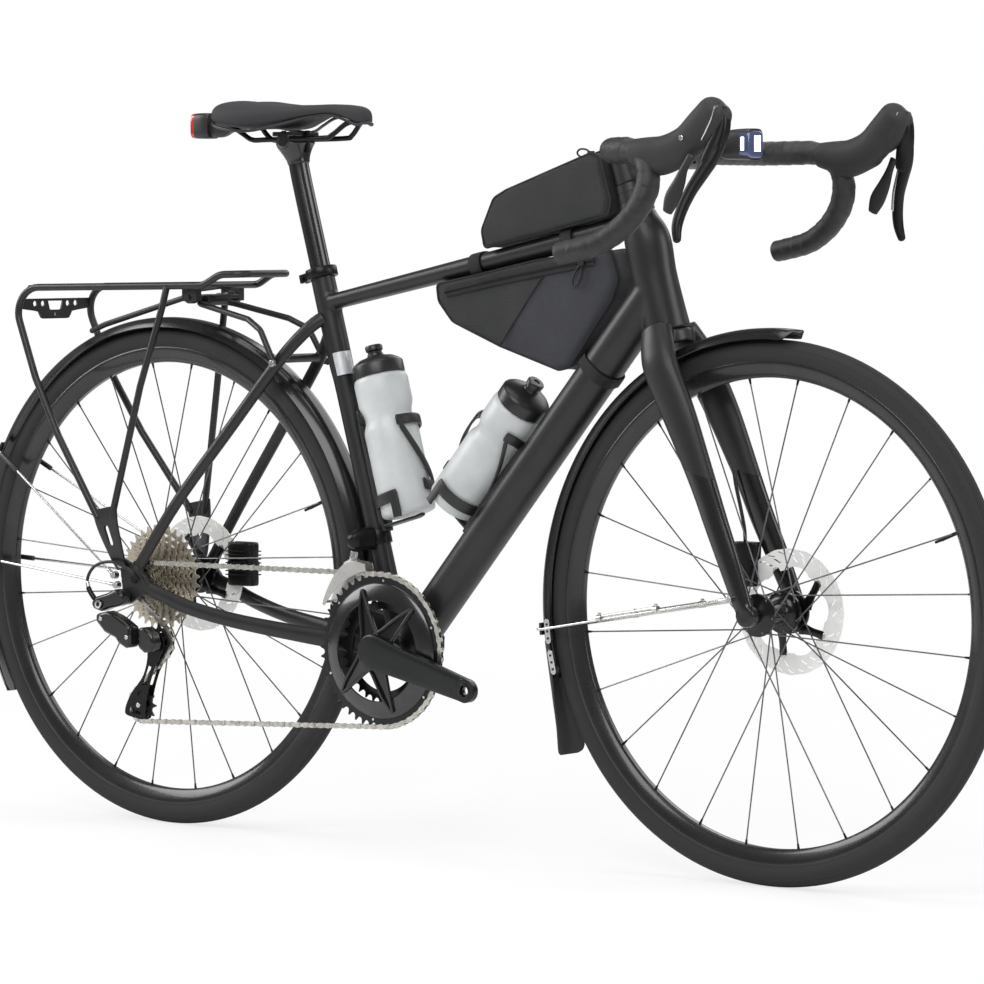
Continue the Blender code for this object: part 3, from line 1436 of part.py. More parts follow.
# Brakes
def build_brakes(steer_joint):
    """Flat-mount calipers round both discs, with the front hose."""
    rear_low = at(0.0620, REAR_ROTOR_Y - 0.0100, 0.3240)
    rear_high = at(0.1180, REAR_ROTOR_Y + 0.0110, 0.3720)
    body = block_caliper("rear_caliper", rear_low, rear_high, REAR_ROTOR_Y, REAR_AXLE)
    publish(body, "rear_caliper", "black_alloy")
    front_low = at(0.9220, FRONT_ROTOR_Y - 0.0100, 0.3720)
    front_high = at(0.9600, FRONT_ROTOR_Y + 0.0110, 0.4280)
    body = block_caliper("front_caliper", front_low, front_high, FRONT_ROTOR_Y, FRONT_AXLE)
    publish(body, "front_caliper", "black_alloy", steer_joint)
    route = [
        at(0.9240, 0.0350, 0.5160),
        at(0.9270, 0.0345, 0.5000),
        at(0.9330, 0.0370, 0.4700),
        at(0.9380, 0.0380, 0.4450),
        at(0.9380, 0.0400, 0.4283),
    ]
    publish(rod("front_hose", route, 0.0024, 1), "front_hose", "rubber", steer_joint)


def block_caliper(name, low, high, slot_y, disc_centre):
    """Caliper body cut by the space that the disc turns in."""
    centre = (low + high) / 2.0
    size = high - low
    rings = []
    for share, grow in ((-0.5, 0.80), (-0.40, 1.0), (0.40, 1.0), (0.5, 0.80)):
        middle = Vector((centre.x, centre.y, centre.z + size.z * share))
        up = Vector((0.0, 0.0, 1.0))
        rings.append(oval_ring(middle, up, SIDEWAYS, size.y / 2.0 * grow, size.x / 2.0 * grow, 12, 0.5))
    disc = cylinder(
        "disc_space",
        Vector((disc_centre.x, slot_y - 0.0022, disc_centre.z)),
        Vector((disc_centre.x, slot_y + 0.0022, disc_centre.z)),
        ROTOR_RADIUS + 0.0020,
        count=32,
    )
    return drilled(loft(name, rings), disc)


# Drivetrain
def build_crankset(crank_joint):
    """Right crank with spider and spindle, two chainrings and the left crank."""
    direction = Vector((math.cos(CRANK_ANGLE), 0.0, math.sin(CRANK_ANGLE)))
    ring_centre = (BOTTOM_BRACKET_X, BOTTOM_BRACKET_Z)

    thick = 0.0020
    face = OUTER_RING_Y - thick / 2.0
    back = OUTER_RING_Y + thick / 2.0
    web = ((0.0900, face), (0.0880, face - 0.0034), (0.0620, -0.0546), (0.0620, -0.0490), (0.0810, back))
    outer = toothed_ring(
        "outer_ring", ring_centre, OUTER_RING_TEETH, CHAIN.tooth_phase(0), OUTER_RING_Y, thick, web
    )
    face = INNER_RING_Y - thick / 2.0
    back = INNER_RING_Y + thick / 2.0
    plain = ((0.0500, face), (0.0500, back))
    inner = toothed_ring(
        "inner_ring", ring_centre, INNER_RING_TEETH, 0.0, INNER_RING_Y, thick, plain, full=False
    )

    hub_low = BOTTOM_BRACKET - SIDEWAYS * 0.0680
    hub_high = BOTTOM_BRACKET - SIDEWAYS * (SHELL_HALF_WIDTH + GAP)
    boss = cylinder("boss", hub_low, hub_high, 0.0215, count=12)
    stations = []
    for share, y, wide, thick in (
        (0.0, -0.0620, 0.0200, 0.0070),
        (0.25, -0.0640, 0.0175, 0.0075),
        (0.75, -0.0680, 0.0150, 0.0070),
        (1.0, -0.0700, 0.0140, 0.0065),
        (1.075, -0.0705, 0.0090, 0.0060),
    ):
        centre = BOTTOM_BRACKET + direction * (CRANK_LENGTH * share) + SIDEWAYS * y
        stations.append((centre, thick, wide))
    arm = shaped("arm", stations, count=8, square=0.7)
    low = hub_high - SIDEWAYS * 0.001
    high = BOTTOM_BRACKET + SIDEWAYS * 0.0660
    spindle = cylinder("spindle", low, high, SPINDLE_RADIUS - GAP, count=12)
    right = united(boss, arm, spindle)
    arm_shape = (
        (0.0240, -38.0),
        (0.0500, -10.0),
        (0.0620, -6.0),
        (0.0620, 6.0),
        (0.0500, 10.0),
        (0.0240, 38.0),
    )
    star = []
    for degrees in (38.0, 128.0, 218.0, 308.0):
        for reach, offset in arm_shape:
            turn = math.radians(degrees + offset)
            x = BOTTOM_BRACKET_X + reach * math.cos(turn)
            star.append((x, BOTTOM_BRACKET_Z + reach * math.sin(turn)))
    right = united(right, plate("spider", star, -0.0600, -0.0552))
    pedal = BOTTOM_BRACKET + direction * CRANK_LENGTH
    right = drilled(right, axle_cutter(pedal - SIDEWAYS * 0.07, 0.0070, 0.04, 12))
    publish(right, "crank_right", "black_alloy", crank_joint)
    publish(outer, "chainring_outer", "black_alloy", crank_joint)
    publish(inner, "chainring_inner", "black_alloy", crank_joint)

    boss = cylinder(
        "boss",
        BOTTOM_BRACKET + SIDEWAYS * (SHELL_HALF_WIDTH + GAP),
        BOTTOM_BRACKET + SIDEWAYS * 0.0670,
        0.0190,
        count=12,
    )
    stations = []
    for share, y, wide, thick in (
        (0.0, 0.0600, 0.0180, 0.0065),
        (0.25, 0.0630, 0.0165, 0.0070),
        (0.75, 0.0680, 0.0145, 0.0070),
        (1.0, 0.0700, 0.0140, 0.0065),
        (1.075, 0.0705, 0.0090, 0.0060),
    ):
        centre = BOTTOM_BRACKET - direction * (CRANK_LENGTH * share) + SIDEWAYS * y
        stations.append((centre, thick, wide))
    left = united(boss, shaped("arm", stations, count=8, square=0.7))
    pedal = BOTTOM_BRACKET - direction * CRANK_LENGTH
    left = drilled(left, axle_cutter(pedal + SIDEWAYS * 0.07, 0.0070, 0.04, 12))
    left = drilled(left, axle_cutter(BOTTOM_BRACKET + SIDEWAYS * 0.05, SPINDLE_RADIUS, 0.034, 12))
    publish(left, "crank_left", "black_alloy", crank_joint)


def pulley(name, centre, wheel):
    """Jockey wheel with teeth between the rollers and a bore."""
    bore = ((0.0048, SMALL_COG_Y - 0.0010), (0.0048, SMALL_COG_Y + 0.0010))
    return toothed_ring(name, centre, PULLEY_TEETH, CHAIN.tooth_phase(wheel), SMALL_COG_Y, 0.0020, bore)


def build_rear_mech(link_joint, knuckle_joint, cage_joint, guide_joint, tension_joint):
    """Rear derailleur: body on the hanger, parallelogram link, knuckle, cage and two pulleys."""
    body = shaped(
        "mech_body",
        [
            (at(HANGER[0], -0.0860, HANGER[1]), 0.0074, 0.0120),
            (at(HANGER[0] - 0.018, -0.0900, HANGER[1] - 0.002), 0.0085, 0.0125),
            (at(-0.0450, -0.0930, 0.3070), 0.0105, 0.0110),
            (at(-0.0560, -0.0930, 0.3050), 0.0080, 0.0080),
        ],
        count=10,
    )
    publish(body, "mech_body", "black_alloy")
    link = shaped(
        "mech_link",
        [
            (at(-0.0460, -0.0930, 0.2900), 0.0110, 0.0045),
            (at(-0.0300, -0.0930, 0.2820), 0.0120, 0.0110),
            (at(0.0000, -0.0890, 0.2700), 0.0110, 0.0135),
            (at(0.0155, -0.0850, 0.2650), 0.0082, 0.0092),
        ],
        count=10,
    )
    publish(link, "mech_link", "black_alloy", link_joint)
    knuckle = shaped(
        "mech_knuckle",
        [
            (at(0.0215, -0.0830, 0.2655), 0.0074, 0.0100),
            (at(0.0340, -0.0815, 0.2600), 0.0088, 0.0150),
            (at(0.0470, -0.0815, 0.2550), 0.0080, 0.0100),
        ],
        count=10,
    )
    publish(knuckle, "mech_knuckle", "black_alloy", knuckle_joint)

    gx, gz = GUIDE_PULLEY
    tx, tz = TENSION_PULLEY
    outline = hull([(gx, gz, 0.0150), (tx, tz, 0.0120)], count=10)
    outer = plate("outer_cage", outline, SMALL_COG_Y - 0.0085, SMALL_COG_Y - 0.0065)
    inner = plate("inner_cage", outline, SMALL_COG_Y + 0.0045, SMALL_COG_Y + 0.0060)
    pins = []
    for x, z in (GUIDE_PULLEY, TENSION_PULLEY):
        low = at(x, SMALL_COG_Y - 0.0075, z)
        high = at(x, SMALL_COG_Y + 0.0050, z)
        pins.append(cylinder("pin", low, high, 0.0042, count=8))
    publish(united(outer, pins[0], pins[1], inner), "mech_cage", "black_alloy", cage_joint)
    publish(pulley("guide_pulley", GUIDE_PULLEY, 2), "guide_pulley", "black_plastic", guide_joint)
    publish(pulley("tension_pulley", TENSION_PULLEY, 1), "tension_pulley", "black_plastic", tension_joint)
    route = [
        at(0.0130, -0.0850, 0.3440),
        at(0.0020, -0.0900, 0.3560),
        at(-0.0280, -0.0930, 0.3660),
        at(-0.0580, -0.0930, 0.3600),
        at(-0.0730, -0.0930, 0.3440),
        at(-0.0700, -0.0950, 0.3280),
        at(-0.0600, -0.0950, 0.3150),
    ]
    publish(rod("gear_cable", eased(route, 2), 0.0022, 0), "gear_cable", "rubber")


def swept_plate(name, stations, y_low, y_high):
    """Plate standing along the bike, following an arc of (degrees, inner radius, outer radius) stations."""
    rings = []
    for degrees, low, high in stations:
        turn = math.radians(degrees)
        out = Vector((math.cos(turn), 0.0, math.sin(turn)))
        near = BOTTOM_BRACKET + out * low
        far = BOTTOM_BRACKET + out * high
        right = SIDEWAYS * y_low
        left = SIDEWAYS * y_high
        rings.append([near + right, far + right, far + left, near + left])
    return loft(name, rings)


def build_front_mech(cage_joint):
    """Front derailleur: body on the seat tube, and a cage of two plates that the chain passes between."""
    root = seat_line(FRONT_MECH_Z)
    body = shaped(
        "front_mech",
        [
            (root + Vector((0.0, -0.0140, 0.0)), 0.0150, 0.0120),
            (root + Vector((-0.0040, -0.0250, 0.0)), 0.0150, 0.0120),
            (root + Vector((-0.0080, -0.0400, -0.0020)), 0.0120, 0.0110),
        ],
        count=10,
        side=Vector((0.0, 0.0, 1.0)),
        square=0.7,
    )
    tube_seat = cylinder("tube_seat", seat_line(0.3), seat_line(0.5), SEAT_TUBE_RADIUS + GAP)
    publish(drilled(body, tube_seat), "front_mech", "black_alloy")

    rim = pitch_radius(OUTER_RING_TEETH)
    over_teeth = rim + CHAIN_HALF_HEIGHT + 0.0018
    outer_stations = (
        (101.0, over_teeth, rim + 0.0190),
        (112.0, over_teeth, rim + 0.0270),
        (126.0, over_teeth, rim + 0.0270),
        (140.0, over_teeth, rim + 0.0170),
        (149.0, over_teeth + 0.0010, rim + 0.0110),
    )
    inner_stations = [(degrees, low - 0.0070, high) for degrees, low, high in outer_stations]
    inner_y = INNER_RING_Y + 0.0022
    outer_y = OUTER_RING_Y - CHAIN_HALF_WIDTH - 0.0034
    outer = swept_plate("outer_plate", outer_stations, outer_y - 0.0014, outer_y)
    inner = swept_plate("inner_plate", inner_stations, inner_y, inner_y + 0.0014)
    turn = math.radians(114.0)
    middle_y = (outer_y + inner_y) / 2.0
    top = BOTTOM_BRACKET + Vector((math.cos(turn), 0.0, math.sin(turn))) * (rim + 0.0262)
    wide = inner_y - outer_y + 0.0016
    tilt = Matrix.Rotation(math.pi / 2.0 - turn, 4, "Y")
    bridge = block("bridge", top + SIDEWAYS * middle_y, (0.0150, wide, 0.0024), tilt)
    turn = math.radians(147.0)
    tail = BOTTOM_BRACKET + Vector((math.cos(turn), 0.0, math.sin(turn))) * (rim + 0.0100)
    low = tail + SIDEWAYS * (outer_y - 0.0007)
    high = tail + SIDEWAYS * (inner_y + 0.0007)
    pin = cylinder("tail_pin", low, high, 0.0020, count=6)
    foot = top + SIDEWAYS * (inner_y - 0.0040)
    head = root + Vector((-0.0100, inner_y - 0.0030, -0.0165))
    arm = shaped("arm", [(foot, 0.0040, 0.0065), (head, 0.0035, 0.0060)], count=8)
    publish(united(outer, bridge, inner, pin, arm), "front_mech_cage", "steel", cage_joint)


# Bags and bottles
def bag(name, outline, half_width):
    """Soft bag: its side outline drawn in towards both faces."""
    middle_x = sum(x for x, _ in outline) / len(outline)
    middle_z = sum(z for _, z in outline) / len(outline)
    rings = []
    for share, shrink in ((-1.0, 0.90), (-0.80, 1.0), (0.80, 1.0), (1.0, 0.90)):
        rings.append(
            [
                at(middle_x + (x - middle_x) * shrink, share * half_width, middle_z + (z - middle_z) * shrink)
                for x, z in outline
            ]
        )
    return loft(name, rings)


def build_bags():
    """Bag on the top tube and bag inside the frame."""
    top_bag = [
        (0.5670, 0.8020),
        (0.5620, 0.8230),
        (0.5900, 0.8680),
        (0.6100, 0.8760),
        (0.7350, 0.9180),
        (0.7470, 0.9120),
        (0.7650, 0.8560),
        (0.7600, 0.8400),
        (0.6600, 0.8190),
    ]
    publish(bag("top_tube_bag", top_bag, 0.028), "top_tube_bag", "bag_cloth", crease=60.0)
    frame_bag = [
        (0.4870, 0.7500),
        (0.4900, 0.7300),
        (0.5150, 0.7040),
        (0.5900, 0.6770),
        (0.6980, 0.6500),
        (0.7150, 0.6580),
        (0.7740, 0.7350),
        (0.7800, 0.7600),
        (0.7650, 0.7880),
        (0.6500, 0.7760),
        (0.5500, 0.7560),
    ]
    publish(bag("frame_bag", frame_bag, 0.026), "frame_bag", "bag_cloth", crease=60.0)


SEAT_BOTTLE_OFFSET = 0.0605
SEAT_BOTTLE_START = 0.1680
SEAT_BOTTLE_LENGTH = 0.2320
DOWN_BOTTLE_BASE = (0.4965, 0.4610)
DOWN_BOTTLE_LEAN = math.radians(49.7)
DOWN_BOTTLE_LENGTH = 0.2150
DOWN_BOTTLE_OFFSET = 0.0688
BOTTLE_RADIUS = 0.0363
CAGE_CLEARANCE = 0.0018
CAGE_BAND = 0.0034


def bottle(base, direction, length):
    """Squeeze bottle with a waist, a screwed cap and a drinking spout."""
    full = BOTTLE_RADIUS
    profile = [
        (0.0040, length),
        (0.0105, length),
        (0.0085, length - 0.0100),
        (0.0090, length - 0.0260),
        (0.0310, length - 0.0380),
        (0.0320, length - 0.0560),
        (full - 0.0015, length - 0.0600),
        (full, length - 0.0800),
        (full - 0.0045, length - 0.0960),
        (full, length - 0.1120),
        (full, 0.0060),
        (full - 0.0060, 0.0),
        (0.0040, 0.0),
    ]
    return turned("bottle", profile, base, 12, direction)


def cage_band(base, direction, tube_side, radius, marks, width):
    """Strip round the bottle through marks of (degrees from the tube, height), in short steps."""
    stops = []
    for (a_turn, a_height), (b_turn, b_height) in zip(marks, marks[1:]):
        count = max(1, math.ceil(abs(b_turn - a_turn) / 30.0))
        for k in range(count):
            share = k / count
            stops.append((a_turn + (b_turn - a_turn) * share, a_height + (b_height - a_height) * share))
    stops.append(marks[-1])
    rings = []
    for degrees, height in stops:
        turn = math.radians(degrees)
        out = tube_side * math.cos(turn) + SIDEWAYS * math.sin(turn)
        inner = base + direction * height + out * radius
        outer = inner + out * CAGE_BAND
        half = direction * (width / 2.0)
        rings.append([inner - half, outer - half, outer + half, inner + half])
    return loft("band", rings)


def slab(name, stations, thickness):
    """Flat strip through stations of (centre, half width), lying in the plane across its thickness."""
    rings = []
    for centre, half_width in stations:
        half = SIDEWAYS * half_width
        low = centre - thickness
        high = centre + thickness
        rings.append([low - half, low + half, high + half, high - half])
    return loft(name, rings)


def bottle_cage(base, direction, tube_side, offset, tube_seat):
    """Side-entry cage: spine on the tube, a lip under the bottle and arms round its left side."""
    radius = BOTTLE_RADIUS + CAGE_CLEARANCE
    middle = tube_side * ((radius + offset) / 2.0)
    thick = tube_side * ((offset - radius) / 2.0)
    spine = slab("spine", [(base + direction * h + middle, 0.0110) for h in (-0.012, 0.140)], thick)
    lower_marks = [(-14, 0.026), (20, 0.022), (100, 0.024), (186, 0.034)]
    upper_marks = [(-8, 0.104), (50, 0.110), (130, 0.124), (196, 0.130)]
    slant_marks = [(194, 0.130), (160, 0.084), (128, 0.024)]
    lower = cage_band(base, direction, tube_side, radius, lower_marks, 0.012)
    upper = cage_band(base, direction, tube_side, radius, upper_marks, 0.011)
    slant = cage_band(base, direction, tube_side, radius + 0.0003, slant_marks, 0.016)
    lip = slab(
        "lip",
        [
            (base + tube_side * (radius + 0.002) - direction * 0.0055, 0.0100),
            (base - tube_side * 0.014 - direction * 0.0055, 0.0080),
            (base - tube_side * 0.022 - direction * 0.0035, 0.0050),
        ],
        direction * 0.0022,
    )
    return drilled(united(spine, lower, upper, slant, lip), tube_seat)


def seat_bottle_base():
    """Foot of the bottle ahead of the seat tube."""
    ahead = Vector((math.sin(SEAT_ANGLE), 0.0, math.cos(SEAT_ANGLE)))
    return BOTTOM_BRACKET + SEAT_DIRECTION * SEAT_BOTTLE_START + ahead * SEAT_BOTTLE_OFFSET


def build_bottles(joints):
    """Both bottles and their cages."""
    base = seat_bottle_base()
    made = bottle(base, SEAT_DIRECTION, SEAT_BOTTLE_LENGTH)
    publish(made, "bottle_seat_tube", "bottle", joints[0])
    tube_seat = cylinder("tube_seat", seat_line(0.30), seat_line(0.60), SEAT_TUBE_RADIUS + GAP)
    tube_side = Vector((-math.sin(SEAT_ANGLE), 0.0, -math.cos(SEAT_ANGLE)))
    offset = SEAT_BOTTLE_OFFSET - SEAT_TUBE_RADIUS + 0.002
    cage = bottle_cage(base, SEAT_DIRECTION, tube_side, offset, tube_seat)
    publish(cage, "cage_seat_tube", "black_plastic")
    direction = Vector((math.cos(DOWN_BOTTLE_LEAN), 0.0, math.sin(DOWN_BOTTLE_LEAN)))
    base = at(DOWN_BOTTLE_BASE[0], 0.0, DOWN_BOTTLE_BASE[1])
    made = bottle(base, direction, DOWN_BOTTLE_LENGTH)
    publish(made, "bottle_down_tube", "bottle", joints[1])
    tube_seat = shaped(
        "tube_seat",
        [
            (at(0.4130, 0.0, 0.2565), 0.0262 + GAP, DOWN_TUBE_RADIUS + GAP),
            (at(0.7600, 0.0, 0.6655), 0.0262 + GAP, DOWN_TUBE_RADIUS + GAP),
        ],
    )
    tube_side = Vector((math.sin(DOWN_BOTTLE_LEAN), 0.0, -math.cos(DOWN_BOTTLE_LEAN)))
    offset = DOWN_BOTTLE_OFFSET - DOWN_TUBE_RADIUS + 0.003
    publish(bottle_cage(base, direction, tube_side, offset, tube_seat), "cage_down_tube", "black_plastic")


def build():
    """Whole bike."""
    steer = joint("steering_axis", steering_line(HEAD_TUBE_BASE_Z))
    front = joint("front_wheel_axis", FRONT_AXLE)
    rear = joint("rear_wheel_axis", REAR_AXLE)
    cassette_axis = joint("cassette_axis", REAR_AXLE)
    crank = joint("crank_axis", BOTTOM_BRACKET)
    seat = joint("seatpost_slide", seat_line(SEAT_TUBE_TOP_Z))
    levers = []
    paddles = []
    for sign, side in ((-1.0, "right"), (1.0, "left")):
        pivot = at(LEVER_PIVOT[0], sign * LEVER_PIVOT[1], LEVER_PIVOT[2])
        levers.append(joint("brake_lever_axis_" + side, pivot))
        paddles.append(joint("shift_paddle_axis_" + side, at(1.0280, sign * PADDLE_Y, 0.8940)))
    link = joint("mech_link_axis", at(-0.0450, -0.0930, 0.2980))
    knuckle = joint("mech_knuckle_axis", at(0.0180, -0.0830, 0.2660))
    cage = joint("mech_cage_axis", at(GUIDE_PULLEY[0], SMALL_COG_Y, GUIDE_PULLEY[1]))
    guide = joint("guide_pulley_axis", at(GUIDE_PULLEY[0], SMALL_COG_Y, GUIDE_PULLEY[1]))
    tension = joint("tension_pulley_axis", at(TENSION_PULLEY[0], SMALL_COG_Y, TENSION_PULLEY[1]))
    front_cage = joint("front_mech_slide", at(BOTTOM_BRACKET_X - 0.08, OUTER_RING_Y, 0.360))
    bottles = [
        joint("bottle_seat_tube_slide", seat_bottle_base()),
        joint("bottle_down_tube_slide", at(DOWN_BOTTLE_BASE[0], 0.0, DOWN_BOTTLE_BASE[1])),
    ]

    build_frame()
    build_wheels(front, rear)
    publish(build_cassette(), "cassette", "cog_steel", cassette_axis)
    publish(build_chain(), "chain", "steel")
    build_crankset(crank)
    build_rear_mech(link, knuckle, cage, guide, tension)
    build_front_mech(front_cage)
    build_seat(seat)
    build_fork(steer)
    build_cockpit(steer)
    build_levers(levers, paddles)
    build_guards(steer)
    build_rack()
    build_brakes(steer)
    build_bags()
    build_bottles(bottles)


build()
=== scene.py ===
"""Looks of a road bike with mudguards, rack, bags, bottles and lights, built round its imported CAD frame."""

import logging
import math
from dataclasses import dataclass
from enum import Enum
from typing import Callable, Optional, Sequence

import bmesh
import bpy
from mathutils import Matrix, Vector, noise


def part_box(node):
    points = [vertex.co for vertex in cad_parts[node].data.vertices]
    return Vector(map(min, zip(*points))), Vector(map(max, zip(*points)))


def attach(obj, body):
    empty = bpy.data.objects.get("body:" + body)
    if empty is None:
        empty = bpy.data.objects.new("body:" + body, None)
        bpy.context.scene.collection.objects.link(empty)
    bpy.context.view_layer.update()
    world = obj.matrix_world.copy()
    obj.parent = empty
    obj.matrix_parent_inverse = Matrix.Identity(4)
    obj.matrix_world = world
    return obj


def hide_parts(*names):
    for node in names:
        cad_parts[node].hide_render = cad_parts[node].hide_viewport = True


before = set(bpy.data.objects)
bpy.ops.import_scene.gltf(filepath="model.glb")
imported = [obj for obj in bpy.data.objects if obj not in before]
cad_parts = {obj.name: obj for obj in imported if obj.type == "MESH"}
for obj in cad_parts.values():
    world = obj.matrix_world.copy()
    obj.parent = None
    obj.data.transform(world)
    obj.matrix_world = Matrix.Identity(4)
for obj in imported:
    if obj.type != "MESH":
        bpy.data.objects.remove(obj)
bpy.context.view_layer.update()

LOG = logging.getLogger("road_bike")
SIDE = Vector((0.0, 1.0, 0.0))
UP = Vector((0.0, 0.0, 1.0))
FULL_TURN = 2.0 * math.pi
RIPSTOP_CELL = 0.0045
Row = Sequence[float]
Colour = tuple[float, float, float]
PointXZ = tuple[float, float]
Rows = tuple[Row, ...]
Outline = tuple[PointXZ, ...]
Ring = tuple[Vector, Vector, Vector]
Sprocket = tuple[PointXZ, int, int, float]
Mesh = bmesh.types.BMesh
Socket = bpy.types.NodeSocket


def middle_of(node: str) -> Vector:
    """Middle of a CAD node's box.

    Args:
        node: name of the CAD node.

    Returns:
        The middle point, in metres.
    """
    low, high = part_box(node)
    return (low + high) / 2.0


REAR_AXLE = middle_of("rear_rim")
FRONT_AXLE = middle_of("front_rim")
BB_X = 0.4095
BB_Z = 0.2656
SEAT_ANGLE = math.radians(74.4)
HEAD_ANGLE = math.radians(72.0)
WHEELBASE = 1.009
FORK_RAKE = 0.046
AXLE_Z = 0.343


def at(x: float, y: float, z: float) -> Vector:
    """Point from sizes forward of the rear axle, left of the middle and above the ground.

    Args:
        x: metres forward.
        y: metres left.
        z: metres up.

    Returns:
        The point in the shared frame.
    """
    return Vector((REAR_AXLE.x + x, y, z))


def seat_line(height: float) -> Vector:
    """Point of the seat tube's axis at this height.

    Args:
        height: metres above the ground.

    Returns:
        The point in the shared frame.
    """
    return at(BB_X - (height - BB_Z) / math.tan(SEAT_ANGLE), 0.0, height)


def steering_line(height: float) -> Vector:
    """Point of the steering axis at this height.

    Args:
        height: metres above the ground.

    Returns:
        The point in the shared frame.
    """
    foot_x = WHEELBASE - FORK_RAKE * math.sin(HEAD_ANGLE)
    foot_z = AXLE_Z - FORK_RAKE * math.cos(HEAD_ANGLE)
    return at(foot_x - (height - foot_z) / math.tan(HEAD_ANGLE), 0.0, height)


BOTTOM_BRACKET = at(BB_X, 0.0, BB_Z)
SEAT_DIRECTION = Vector((-math.cos(SEAT_ANGLE), 0.0, math.sin(SEAT_ANGLE)))
SEAT_BACKWARDS = Vector((-math.sin(SEAT_ANGLE), 0.0, -math.cos(SEAT_ANGLE)))
STEERING_DIRECTION = Vector((-math.cos(HEAD_ANGLE), 0.0, math.sin(HEAD_ANGLE)))


# Finishes
class Pattern(Enum):
    """Relief that a finish carries besides its fine grain."""

    PLAIN = "plain"
    CLOTH = "cloth"
    RIPSTOP = "ripstop"
    LEATHER = "leather"
    BRUSHED = "brushed"


class Graph:
    """Node graph of one material."""

    def __init__(self, name: str) -> None:
        """Starts a material with its Principled shader.

        Args:
            name: name of the material.
        """
        self.material = bpy.data.materials.new(name)
        self.material.use_nodes = True
        self.tree = self.material.node_tree
        self.shader = self.tree.nodes["Principled BSDF"]

    def node(self, kind: str, **settings: object) -> bpy.types.Node:
        """Adds a node and sets its properties and inputs.

        Args:
            kind: identifier of the node.
            settings: properties by name; names that start with in_ are inputs.

        Returns:
            The new node.
        """
        made = self.tree.nodes.new(kind)
        for key, value in settings.items():
            if key.startswith("in_"):
                made.inputs[key[3:].replace("_", " ")].default_value = value
            else:
                setattr(made, key, value)
        return made

    def link(self, source: Socket, target: Socket) -> None:
        """Joins two sockets."""
        self.tree.links.new(source, target)

    def maths(self, operation: str, first: Socket, second: object = None) -> Socket:
        """Adds a Math node.

        Args:
            operation: its operation.
            first: socket of the first value.
            second: socket or number of the second value.

        Returns:
            The result's socket.
        """
        made = self.node("ShaderNodeMath", operation=operation)
        self.link(first, made.inputs[0])
        if isinstance(second, (int, float)):
            made.inputs[1].default_value = second
        elif second is not None:
            self.link(second, made.inputs[1])
        return made.outputs[0]

    def blend(self, factor: Socket, low: Colour, high: Colour) -> Socket:
        """Mixes two colours by a factor.

        Args:
            factor: socket of the factor.
            low: colour at 0.
            high: colour at 1.

        Returns:
            The colour's socket.
        """
        made = self.node("ShaderNodeMix", data_type="RGBA")
        self.link(factor, made.inputs[0])
        made.inputs[6].default_value = (*low, 1.0)
        made.inputs[7].default_value = (*high, 1.0)
        return made.outputs[2]


